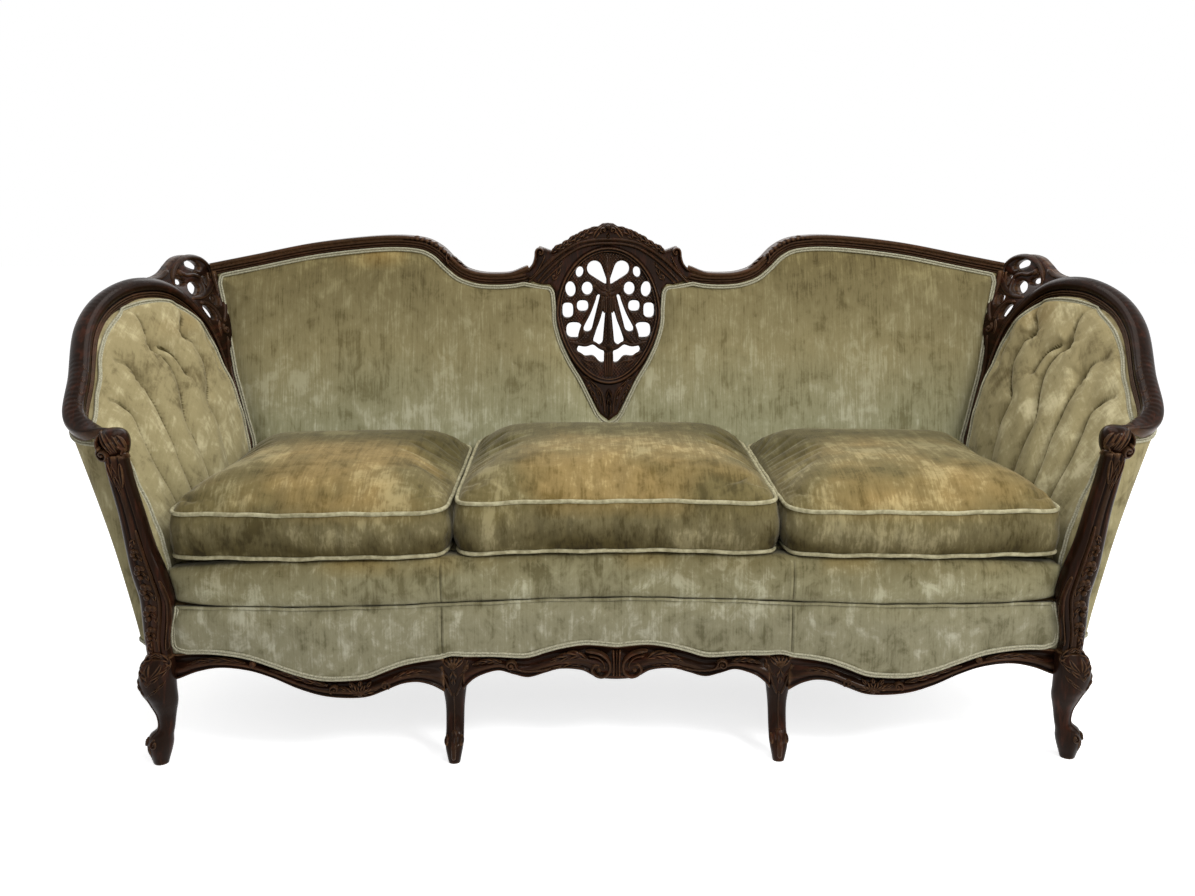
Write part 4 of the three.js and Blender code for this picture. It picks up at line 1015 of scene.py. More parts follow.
def mirrored_outline(half: Sequence) -> Array:
    """Close a right-hand outline with its mirror image.

    Args:
        half: Points from the middle round the right side and back to the middle.

    Returns:
        The whole outline.
    """
    right = np.asarray(half, float)
    left = right[::-1] * np.array([-1, 1])
    return np.vstack([right, left[np.abs(left[:, 0]) > 1e-9]])


def ellipse(centre: Sequence, radii: Sequence, lean: float = 0.0, count: int = 28) -> Array:
    """Draw an ellipse.

    Args:
        centre: Its middle.
        radii: Its half sizes.
        lean: Its turn, in degrees.
        count: How many points it has.

    Returns:
        Its outline.
    """
    angle = np.linspace(0, 2 * math.pi, count, endpoint=False)
    turn = math.radians(lean)
    first, second = radii[0] * np.cos(angle), radii[1] * np.sin(angle)
    return np.stack([
        centre[0] + first * math.cos(turn) - second * math.sin(turn),
        centre[1] + first * math.sin(turn) + second * math.cos(turn)], axis=1)


def drop(head: Sequence, head_radius: float, foot: Sequence, foot_radius: float) -> Array:
    """Draw the outline round two circles of unlike size.

    Args:
        head: The middle of the first circle.
        head_radius: Its radius.
        foot: The middle of the second circle.
        foot_radius: Its radius.

    Returns:
        The outline.
    """
    way = np.subtract(foot, head)
    lean = math.atan2(way[1], way[0])
    tip = math.acos(np.clip((head_radius - foot_radius) / np.hypot(*way), -1, 1))
    arcs = []
    for centre, radius, start, end in (
            (head, head_radius, tip, 2 * math.pi - tip), (foot, foot_radius, -tip, tip)):
        angle = lean + np.linspace(start, end, 12)
        arcs.append(np.stack([
            centre[0] + radius * np.cos(angle), centre[1] + radius * np.sin(angle)], axis=1))
    return np.vstack(arcs)


def fretted(shape: Shape, ground: Ground, outline: Array, holes: Sequence[Array], step: float,
            face: Callable[[Array, Array], Array], back: Callable[[Array], Array]) -> None:
    """Saw a board to an outline, pierce it and carve its face.

    Args:
        shape: Where the board goes.
        ground: Turns board places and lifts into points of the sofa.
        outline: The board's outline.
        holes: The outlines of its openings.
        step: The spacing of its points.
        face: Gives the lift of the face from places and their distance to the nearest edge.
        back: Gives the lift of the back from places.
    """
    low, high = outline.min(axis=0) - step, outline.max(axis=0) + step
    first = np.arange(low[0], high[0] + step, step)
    second = np.arange(low[1], high[1] + step, step)
    grid = np.stack(np.meshgrid(first, second, indexing="ij"), axis=-1)
    depth = depth_in(outline, grid)
    for hole in holes:
        depth = np.minimum(depth, -depth_in(hole, grid))
    slope = np.stack(np.gradient(depth, step), axis=-1)
    near_edge = np.abs(depth) < 0.75 * step
    grid = grid - np.where(near_edge[..., None], unit(slope) * depth[..., None], 0)
    depth = np.where(near_edge, 0, depth)
    kept = depth >= 0
    cell = kept[:-1, :-1] & kept[1:, :-1] & kept[1:, 1:] & kept[:-1, 1:]
    lift = np.stack([face(grid, depth), back(grid)])
    index = np.arange(grid[..., 0].size).reshape(grid.shape[:2])
    size = index.size
    corners = np.stack([index[:-1, :-1], index[1:, :-1], index[1:, 1:], index[:-1, 1:]], axis=-1)
    front = corners[cell]
    padded = np.pad(cell, 1)
    walls = []
    beyond = {(0, 1): padded[1:-1, :-2], (1, 2): padded[2:, 1:-1],
              (2, 3): padded[1:-1, 2:], (3, 0): padded[:-2, 1:-1]}
    for (start, end), neighbour in beyond.items():
        bare = corners[cell & ~neighbour]
        near = np.stack([bare[:, end], bare[:, start]], axis=1)
        walls.append(np.concatenate([near, near[:, ::-1] + size], axis=1))
    place = np.concatenate([ground(grid[..., 0], grid[..., 1], layer).reshape(-1, 3) for layer in lift])
    faces = np.concatenate([front, front[:, ::-1] + size, *walls])
    used, renumbered = np.unique(faces, return_inverse=True)
    shape.add(place[used], renumbered.reshape(faces.shape))


@dataclass
class CrestRails:
    """The moulded top rails, which run from the corners down to the medallion."""

    # Across and up, in millimetres.
    line: tuple = (
        (872.6, 835.9), (775.9, 854.6), (648.3, 878.9), (500.1, 893.9), (440.4, 892.9), (405.4, 886.4),
        (377.6, 871.4), (351.9, 847.1), (326.2, 826.5), (290.2, 814.4), (244.9, 811.6), (205, 815),
        (175, 823.7))
    behind: float = 0.018
    flare: float = 1.35
    cuff: tuple = (0.352, 0.46)
    reeds: tuple = (
        Reed(13, 3.5, 20, 6.5), Reed(3.5, -2.5, 20, 3.6), Reed(-2.5, -8, 18.5, 3.2), Reed(-8, -13, 17, 2.6))

    def path(self, count: int) -> Array:
        """Return the middle line of the right-hand rail."""
        flat = curve_through(self.line, count) * MM
        return PLAN.on_back(flat[:, 0], flat[:, 1], -self.behind)

    def lower_edge(self, count: int, drop_by: float, lift: float) -> Array:
        """Return the line where the cover meets the rail.

        Args:
            count: How many points it has.
            drop_by: How far below the rail's middle it lies.
            lift: How far it stands in front of the back.

        Returns:
            The points of the line.
        """
        flat = curve_through(self.line, count) * MM
        along = tangents(flat)
        edge = flat + np.stack([-along[:, 1], along[:, 0]], axis=1) * drop_by
        return PLAN.on_back(edge[:, 0], edge[:, 1], lift)

    def build(self, shop: Workshop) -> None:
        """Make both rails with their carved shoulders.

        Args:
            shop: The finishes.
        """
        section = moulded(self.reeds, 25)
        count = 300
        path = self.path(count)
        widen = mix(1.0, self.flare, ease(-path[:, 0], -0.225, -0.18))
        start, end = self.cuff
        within = ease(path[:, 0], start, start + 0.004) * (1 - ease(path[:, 0], end - 0.05, end))
        travelled = np.linspace(0, 1, count) * 210
        nick = np.abs(np.sin(travelled)) ** 0.5 - 1
        top = np.exp(-((section[:, 0] - 0.009) / 0.006) ** 2) * (section[:, 1] > 0)
        relief = 0.0042 * (within * nick)[:, None] * top[None, :]
        rail = Shape()
        rail.sweep(path, (0, -1, 0), section, across=widen, relief=relief)
        carver = Carver(PLAN.on_back, rail, sink=4)
        carver.stroke(((356, 870), (360, 858), (354.5, 844)), 3.4, 17.5)
        carver.stroke(((348, 863), (333, 848), (312, 833)), 4.5, 12.5, Cut.LEAF, 3)
        for index in range(5):
            share = index / 4
            x, z = mix(366, 420, share), mix(879, 903, share ** 0.6)
            carver.stroke(((x, z), (x + 10, z - 1), (x + 18, z - 7.5)), 4, 13, Cut.PETAL)
        rail.pair("crest_rail_wood", shop.level_wood, "mahogany", ("crest_rail",))


@dataclass
class Medallion:
    """The pierced oval in the middle of the back, with its arch, its point and its cresting."""

    centre: float = 0.733
    half_width: float = 0.105
    half_height: float = 0.137
    taper: float = 0.16
    rim: float = 0.0125
    proud: float = 0.006
    depth: float = 0.034
    fret_front: float = -0.003
    fret_back: float = -0.018
    step: float = 0.0013
    # The right half, across and up, in millimetres.
    outline: tuple = (
        (0, 897), (51, 892), (98, 879), (122, 871), (140, 877), (154, 882), (163, 872), (160, 855),
        (167, 841), (181, 832), (199, 827.5), (196.5, 823.5), (180, 813), (162, 803), (145, 798.5),
        (130, 799), (120, 788), (116, 752), (114.5, 714), (102, 673), (83, 633), (59, 594), (38, 554),
        (20, 519), (0, 505))
    cresting: tuple = (
        (0, 933.5), (12, 932.5), (22, 926), (37, 924.5), (47, 917), (60, 913.5), (68, 906), (83, 901),
        (92, 892), (106, 887), (120, 877), (112, 864), (82, 872), (45, 886), (0, 892))

    def holes(self) -> list[Array]:
        """Return the outlines of the openings on both sides."""
        right = [
            drop((30.5, 834), 16.8, (6.5, 804.5), 4.2),
            ellipse((64, 826.5), (8, 11.5), 14),
            ellipse((84.5, 789), (11.2, 16.5), -6),
            ellipse((47, 790.5), (12, 14)),
            self.shield((90.5, 743), (11.8, 16), 0.62),
            self.shield((57.5, 752.5), (12.5, 11.8), 0.75),
            drop((21.8, 774), 3, (47.5, 707.5), 11.2),
            drop((10.2, 738), 3, (23.2, 678.5), 10.5),
            self.shield((76.5, 700), (17.2, 16.5), 0.7),
            curve_through(((11, 655), (38, 669), (66, 666), (70, 656),
                           (56, 644), (34, 644), (20, 631), (11.5, 630),
                           (9.5, 642), (11, 655)), 34)[:-1],
        ]
        return [hole * np.array([side, 1]) * MM for hole in right for side in (1, -1)]

    @staticmethod
    def shield(centre: Sequence, radii: Sequence, power: float) -> Array:
        """Draw a squarish opening, squarer as the power falls below 1."""
        angle = np.linspace(0, 2 * math.pi, 28, endpoint=False)
        first, second = (
            np.sign(wave) * np.abs(wave) ** power for wave in (np.cos(angle), np.sin(angle)))
        return np.stack([centre[0] + radii[0] * first, centre[1] + radii[1] * second], axis=1)

    def oval(self, reach: float, count: int = 96) -> Array:
        """Return the outline of the oval, moved outwards by a reach."""
        angle = np.linspace(0, 2 * math.pi, count, endpoint=False)
        narrowing = 1 - self.taper * np.maximum(-np.sin(angle), 0)
        return np.stack([
            (self.half_width + reach) * np.cos(angle) * narrowing,
            self.centre + (self.half_height + reach) * np.sin(angle)], axis=1)

    def face(self, places: Array, depth: Array) -> Array:
        """Return the lift of the carved face.

        Args:
            places: Places on the board.
            depth: Their distance to the nearest edge.

        Returns:
            The lift of each place.
        """
        away = -depth_in(self.oval(0), places)
        bar = self.fret_front + 0.0055 * (1 - np.exp(-np.maximum(depth, 0) / 0.0026))
        tooled = 0.0009 * np.sin(places[..., 0] * 900) * np.sin(places[..., 1] * 760)
        bar = bar + tooled * (depth > 0.0015)
        soft_edge = -0.004 * np.exp(-np.maximum(depth, 0) / 0.0016)
        panel = self.proud + soft_edge
        share = np.clip(away / self.rim, 0, 1)
        bead = 0.003 * np.sin(math.pi * np.clip(share / 0.3, 0, 1))
        roll = 0.0065 * np.sin(math.pi * np.clip((share - 0.3) / 0.7, 0, 1))
        rim = self.proud + 0.0015 + bead + roll
        return np.where(away < 0, bar, np.where(away < self.rim, rim, panel))

    def back(self, places: Array) -> Array:
        """Return the lift of the board's back."""
        away = -depth_in(self.oval(0), places)
        return np.where(away < 0, self.fret_back, -self.depth)

    def build(self, shop: Workshop) -> None:
        """Make the board with its fretwork and the cresting.

        Args:
            shop: The finishes.
        """
        board = Shape()
        ground = PLAN.on_back
        outline = mirrored_outline(self.outline) * MM
        fretted(board, ground, outline, self.holes(), self.step, self.face, self.back)
        self.carve_fret(Carver(
            lambda x, z, lift: ground(x, z, lift + self.fret_front + 0.004), board, True))
        self.carve_arch(Carver(lambda x, z, lift: ground(x, z, lift + self.proud), board, True))
        board.piece("medallion_carving", shop.upright_wood, "mahogany", nodes=("medallion_splat",))
        crest = Shape()
        fretted(
            crest, ground, mirrored_outline(self.cresting) * MM, [], self.step,
            lambda places, depth: 0.006 + 0.006 * (1 - np.exp(-np.maximum(depth, 0) / 0.004)),
            lambda places: np.full(places.shape[:-1], -0.019))
        self.carve_cresting(Carver(lambda x, z, lift: ground(x, z, lift + 0.011), crest, True))
        crest.piece("medallion_crest_carving", shop.level_wood, "mahogany", nodes=("medallion_cresting",))

    def carve_fret(self, carver: Carver) -> None:
        """Cut the bell of flutes, its sprays and the leaves at the foot of the oval."""
        for x, z in ((21, 866), (13, 868), (5, 869)):
            carver.stroke(((1, 826), (x * 0.35, 848), (x, z)), 2.6, 3.5)
        carver.stroke(((10, 866.5), (34, 860), (56, 843)), 5, 3, Cut.LEAF)
        carver.stroke(((1, 777), (16, 781), (34, 797)), 5.2, 5)
        carver.stroke(((1, 786), (14, 790), (28, 803)), 3, 4)
        carver.stroke(((1, 824), (1, 800), (1, 780)), 3.6, 3.6)
        for x in (0, 5.5, 11):
            carver.stroke(((x, 774), (x * 0.9, 756), (x * 0.8, 737)), 2.6, 4)
        carver.stroke(((14.5, 774), (16, 745), (26, 712), (42, 684), (60, 670)), 3.4, 4.5)
        carver.stroke(((28, 776), (43, 737), (58, 708), (66, 682)), 3.6, 4.2)
        carver.stroke(((0, 738), (0, 700), (0, 668)), 3, 4.5)
        carver.stroke(((0, 656), (18, 662), (34, 672), (52, 668), (84, 675)), 4, 4.5)
        carver.bead((0, 663), 7.5, 7)
        carver.bead((8.5, 661), 3.5, 5.5)
        for x in (2.5, 8):
            carver.stroke(((x, 652), (x, 625), (x * 0.8, 600)), 2.6, 4.5)
        carver.stroke(((78, 655), (50, 632), (26, 622), (10, 600)), 10, 4.5, Cut.LEAF, 3)
        for centre, radius in (((64, 826.5), 12.5), ((84.5, 789), 16.5), ((47, 790.5), 15.5),
                               ((57.5, 752.5), 15.2), ((90.5, 743), 16.5), ((76.5, 700), 19.5)):
            ring = ellipse(centre, (radius, radius * 1.12), 20, 14)
            carver.stroke(ring[2:12], 1.9, 2.6)

    def carve_arch(self, carver: Carver) -> None:
        """Cut the double arch, the curls where the rails meet it and the leaves in the point."""
        whole = Carver(carver.ground, carver.shape)
        inner = mirrored_outline(((0, 889.5), (34, 887.5), (67, 879), (115, 848), (157, 806)))
        outer = mirrored_outline(((0, 898.5), (36, 896.5), (72, 888), (122, 857), (178, 803)))
        half = len(inner) // 2 + 1
        for band, width, height in ((inner, 4.2, 7.5), (outer, 5.2, 8.5)):
            run = np.vstack([band[:half][::-1], band[half:][::-1]])
            whole.stroke(run, width, height, fineness=3)
        carver.stroke(((150, 801), (128, 822), (104, 842)), 3, 6)
        carver.stroke(((126, 806), (114, 822), (108, 840), (100, 850)), 6, 5.5, Cut.LEAF, 3)
        carver.scroll((121, 816), 6, 0.8, 200, 1.8, 6.2)
        carver.scroll((152, 870), 9.5, 1.1, -10, 3, 12, 4.2,
                      lead=((182, 828), (168, 842), (162.5, 858)))
        carver.stroke(((176, 812), (160, 826), (148, 846), (141, 862)), 2.6, 8.5)
        carver.stroke(((0, 575), (0, 552), (0, 530)), 8.5, 7, Cut.LEAF, 2)
        carver.stroke(((0, 545), (0, 528), (0, 511)), 6, 6, Cut.PETAL)
        carver.stroke(((60, 602), (40, 590), (24, 568), (15, 532)), 5, 6.5, Cut.LEAF, 4)
        carver.stroke(((52, 584), (39, 570), (30, 552), (20, 528)), 4.2, 5.5, Cut.LEAF, 4)
        carver.stroke(((26, 578), (16, 566), (11, 545), (9, 520)), 3, 6)
        carver.scroll((43, 577), 5, -0.8, 100, 1.6, 6.5)

    def carve_cresting(self, carver: Carver) -> None:
        """Cut the leaves that climb the arch and the knot at its top."""
        sprays = (
            ((126, 868), (114, 880), (98, 888)), ((110, 874), (94, 890), (76, 899)),
            ((94, 882), (78, 900), (60, 910)), ((76, 890), (60, 908), (40, 920)),
            ((56, 897), (42, 914), (22, 925)))
        for index, spray in enumerate(sprays):
            carver.stroke(spray, 6.2 + 0.5 * index, 6.5, Cut.LEAF, 3)
        carver.stroke(((32, 900), (22, 915), (10, 928)), 6.2, 8, Cut.PETAL)
        carver.scroll((10.5, 917.5), 7, 1.0, -60, 2.4, 9.5, 3.2)
        carver.bead((0, 924), 6.2, 10.5)
        carver.stroke(((0, 915), (0, 904), (0, 896)), 5, 8.5, Cut.LEAF, 2)


@dataclass
class CornerCarvings:
    """The pierced scrolls that fill the corners between the arms and the back."""

    start: tuple = (0.9621, 0.0603)
    end: tuple = (0.8674, 0.3257)
    bend_height: float = 0.8097
    lean_height: float = 0.126
    lean: float = 0.055
    thickness: float = 0.018
    step: float = 0.0014
    # Along from the front end and up, in millimetres.
    outline: tuple = (
        (275.9, 846.9), (264.5, 858.8), (244.3, 866.3), (221.3, 869), (196.8, 868.6), (169.8, 863.7),
        (140.7, 851.2), (111.3, 837.5), (84.7, 831.3), (56.8, 829.4), (25.3, 827.9), (19.2, 817.9),
        (74, 814.1), (108.7, 802.5), (128.4, 790.4), (147, 775.1), (164.5, 754.9), (178.6, 730.1),
        (191.3, 706.5), (200, 672.6), (210, 631.7), (220, 587.2), (230, 585.7), (240, 630),
        (244.5, 670), (248, 701.5), (253, 730.4), (259, 758.4), (264, 780.6), (270, 802.6),
        (281.3, 827.1))

    def place(self, along: Array, z: Array, lift: Array) -> Array:
        """Return points of the leaning board, lifted towards the seat.

        Args:
            along: How far from its front end.
            z: The height.
            lift: The lift from the board's middle.

        Returns:
            Points of the sofa.
        """
        along, z, lift = np.broadcast_arrays(along, z, lift)
        way = unit(np.subtract(self.end, self.start))
        fallen = (self.bend_height - z) / self.lean_height
        leaning = self.lean * np.where(fallen < 0, fallen, 1 - np.maximum(1 - fallen, 0) ** 2)
        flat = (np.asarray(self.start) + along[..., None] * way
                + (leaning + lift)[..., None] * np.array([-way[1], way[0]]))
        return np.concatenate([flat, z[..., None]], axis=-1)

    def holes(self) -> list[Array]:
        """Return the outlines of the openings."""
        rough = (
            ((244.6, 843.8), (237.6, 852.2), (216.5, 857.8), (196.4, 854.4), (194.3, 848.2),
             (204.5, 842.9), (225.6, 837.5), (238.1, 837.8)),
            ((166.4, 842), (150.1, 843.9), (137.1, 834.4), (133.1, 822.3), (141.8, 812.4),
             (156.1, 809.2), (171.4, 812.5), (169.7, 818.9), (156.6, 822.3), (154.7, 831.1)),
            ((253.5, 817.5), (246.3, 823.5), (232.9, 822.1), (235, 813.9), (233.6, 804.5),
             (246.4, 806.8)),
            ((210.1, 801.4), (210, 809.9), (193.2, 814.2), (175.8, 808.5), (166, 796.8),
             (171.9, 788.6), (189.8, 789.4)),
            ((245.7, 782.9), (234.8, 784.7), (217.9, 778.7), (216.8, 770.9), (226.4, 761.2),
             (238.1, 761.2), (246.3, 773.3)),
            ((185.8, 766.6), (178.1, 763.1), (183.5, 745.4), (194, 733), (206.4, 733.7),
             (208.9, 741.5), (201, 759)),
        )
        return [curve_through((*hole, hole[0]), 28)[:-1] * MM for hole in rough]

    def build(self, shop: Workshop) -> None:
        """Make both boards with their scrolls.

        Args:
            shop: The finishes.
        """
        board = Shape()
        half = self.thickness / 2
        outline = curve_through((*self.outline, self.outline[0]), 130)[:-1] * MM
        fretted(
            board, self.place, outline, self.holes(), self.step,
            lambda places, depth: half - 0.0035 * np.exp(-np.maximum(depth, 0) / 0.0022),
            lambda places: np.full(places.shape[:-1], -half))
        carver = Carver(lambda s, z, lift: self.place(s, z, lift + half - 0.001), board)
        ring = ((129, 805.9), (135.5, 826.8), (156.9, 846.9), (189.9, 860.9), (226.1, 864.9),
                (255.5, 857.5), (269.9, 840.4), (264.8, 818.4), (236.3, 798.3), (197.4, 785.2),
                (156, 783))
        carver.stroke(ring, 5.2, 6.2, fineness=4)
        carver.stroke(((165.5, 836.5), (181.3, 829.5), (208, 828.5), (223.5, 820),
                       (220, 805), (208, 790), (183, 783)), 4.8, 6)
        carver.bead((165, 834.5), 7.5, 8)
        carver.stroke(((194, 832), (215, 834), (236, 830)), 3.5, 5, Cut.LEAF, 3)
        carver.stroke(((130, 842), (103.6, 831), (63.9, 826.2), (28.4, 825)), 4.2, 6.2)
        carver.stroke(((120, 811), (95.9, 819), (61, 820.5), (25.6, 820)), 3, 5)
        carver.stroke(((256, 786), (256, 769), (244, 748), (226, 727)), 4.8, 5.5)
        carver.stroke(((174, 772), (195.7, 770), (212, 754), (216, 730)), 4, 5.5)
        carver.scroll((224, 712), 11, 1.0, 100, 3, 6.5, 4.5)
        carver.stroke(((214, 733), (204, 716), (208, 696)), 3.6, 5.5, Cut.PETAL)
        carver.stroke(((226, 696), (224, 660.9), (225, 625), (226, 595)), 3.6, 5.5)
        board.pair("corner_scroll_carving", shop.deep_wood, "mahogany", ("corner_carving",))


@dataclass
class ArmRails:
    """The swept arm rails, from the front scroll over the arm and down behind it."""

    # Across, back and up, in millimetres.
    line: tuple = (
        (864.4, -357, 600.3), (941.5, -302.4, 607.8), (967.3, -204.4, 672.3), (987.8, -104, 749.9),
        (980.6, -29.6, 790.1), (952.9, 60.3, 811.6), (911.7, 147.7, 797.6), (863.3, 206.6, 728.4),
        (835.5, 223.4, 639.5), (819.1, 217.8, 534.8), (800.6, 209.1, 419.8))
    focus: tuple = (0.1544, -0.6744)
    knuckle_centre: tuple = (0.8572, -0.3635, 0.582)
    knuckle_size: tuple = (0.0265, 0.0285, 0.03)
    roll: tuple = (
        (9, -19), (18, -15.5), (22.5, -5), (22, 6), (16.5, 16), (8, 20.5), (0, 18.5), (-4.5, 12.5))
    reeds: tuple = (
        Reed(-4.5, -9.5, 13, 4), Reed(-9.5, -14.5, 12, 3.6), Reed(-14.5, -20, 10.5, 3.2))

    def section(self) -> Array:
        """Return the rail's section: a broad outer roll, then fine reeds."""
        roll = curve_through(self.roll, 28) * MM
        reeds = np.concatenate([reed.outline() for reed in self.reeds])
        rear = np.array([[-20, -16], [-17, -19]]) * MM
        return np.concatenate([roll, reeds[1:], rear])

    def path(self, count: int) -> Array:
        """Return the middle line of the right-hand rail, from its scroll."""
        return curve_through(self.line, count) * MM

    def facing(self, path: Array) -> Array:
        """Return the level way from a line towards the middle of the seat's front."""
        way = np.asarray(self.focus) - path[:, :2]
        return unit(np.concatenate([way, np.zeros((len(path), 1))], axis=1))

    def width(self, share: Array) -> Array:
        """Return the rail's width along it, as a share of its full width."""
        return mix(0.38, 1, ease(share, 0, 0.13)) * mix(1, 0.42, ease(share, 0.5, 0.76))

    def build(self, shop: Workshop) -> None:
        """Make both rails with their carved scrolls.

        Args:
            shop: The finishes.
        """
        count = 340
        path = self.path(count)
        share = np.linspace(0, 1, count)
        section = self.section()
        nick = np.abs(np.sin(share * 260)) ** 0.45 - 1
        shoulder = ease(share, 0.3, 0.33) * (1 - ease(share, 0.47, 0.5))
        leafy = 1 - ease(share, 0.22, 0.26)
        crown = np.exp(-((section[:, 0] - 0.0205) / 0.0045) ** 2) * (section[:, 1] > -0.006)
        relief = 0.0013 * ((0.4 * shoulder + leafy) * nick)[:, None] * crown[None, :]
        rail = Shape()
        deep = mix(0.62, 1, ease(share, 0, 0.1))
        rail.sweep(path, self.facing(path), section, across=self.width(share), out=deep, relief=relief)
        side, face = across_frame(path, self.facing(path))
        top = np.asarray(self.roll[:2:-1]) * MM

        def on_rail(s: Array, across: Array, lift: Array) -> Array:
            """Return points on the rail's broad roll by share along it and metres across it."""
            s, across, lift = np.broadcast_arrays(s, across, lift)
            index = np.clip(s * (count - 1), 0, count - 1.001)
            low = index.astype(int)
            part = (index - low)[..., None]
            middle = path[low] * (1 - part) + path[low + 1] * part
            wide = self.width(s)
            out = np.interp(across, top[:, 0], top[:, 1]) * np.interp(s, [0, 0.1], [0.62, 1])
            return middle + side[low] * (across * wide)[..., None] + face[low] * (out + lift)[..., None]

        carver = Carver(on_rail, rail, sink=5)
        for index in range(6):
            s = 50 + 30 * index
            carver.stroke(((s, 8), (s + 10, 14), (s + 24, 19.5)), 4.2, 2.6, Cut.LEAF, 3, 2)
        rail.pair("arm_rail_moulding", shop.deep_wood, "mahogany", ("arm_rail",))
        self.build_knuckle(shop)

    def build_knuckle(self, shop: Workshop) -> None:
        """Make the carved knuckles at the front ends of the arms.

        Args:
            shop: The finishes.
        """
        centre, size = np.asarray(self.knuckle_centre), np.asarray(self.knuckle_size)
        knuckle = Shape()
        around = np.linspace(0, 2 * math.pi, 84, endpoint=False)[None, :]
        polar = np.linspace(0.06, math.pi - 0.06, 34)[:, None]
        belly = np.sin(polar) ** 0.72 * (1 + 0.12 * np.cos(polar))
        lobes = 1 - 0.1 * (1 - np.abs(np.sin(2.5 * (around + 0.9))) ** 0.5) * np.sin(polar)
        rings = np.stack([
            belly * lobes * np.cos(around) * size[0], belly * lobes * np.sin(around) * size[1],
            np.cos(polar) * size[2] + 0 * around], axis=-1)
        knuckle.loft(centre + rings)

        def on_knuckle(x: Array, z: Array, lift: Array) -> Array:
            """Return points on the knuckle's front by places round its middle and a lift."""
            round_out = np.sqrt(np.maximum(1 - (x / 0.033) ** 2 - (z / 0.037) ** 2, 0.1))
            y = centre[1] - size[1] * round_out - lift + 0.002
            return np.stack(np.broadcast_arrays(centre[0] + x, y, centre[2] + z), axis=-1)

        carver = Carver(on_knuckle, knuckle, sink=8)
        for step in range(4):
            top = (20 - 10 * step, 26 - 2 * step)
            foot = (-4 - 6.5 * step, -12 + 3 * step)
            bend = (mix(top[0], foot[0], 0.35) - 2, mix(top[1], foot[1], 0.5) + 3)
            carver.stroke((top, bend, foot), 5, 8.2 - 0.6 * step, Cut.PETAL)
        carver.scroll((13.5, -13), 12.5, -1.5, 80, 3.4, 11.5, 4.6,
                      lead=((22, 20), (24.5, 8), (22, -1)))
        carver.scroll((-15.5, -17.5), 8.5, 1.2, 100, 2.8, 8.5, 3.6,
                      lead=((-12, 4), (-21, -4)))
        carver.stroke(((-2, -14), (-3, -22), (-2, -31)), 4.2, 8, Cut.PETAL)
        knuckle.pair("arm_scroll_carving", shop.deep_wood, "mahogany", ("arm_scroll",))


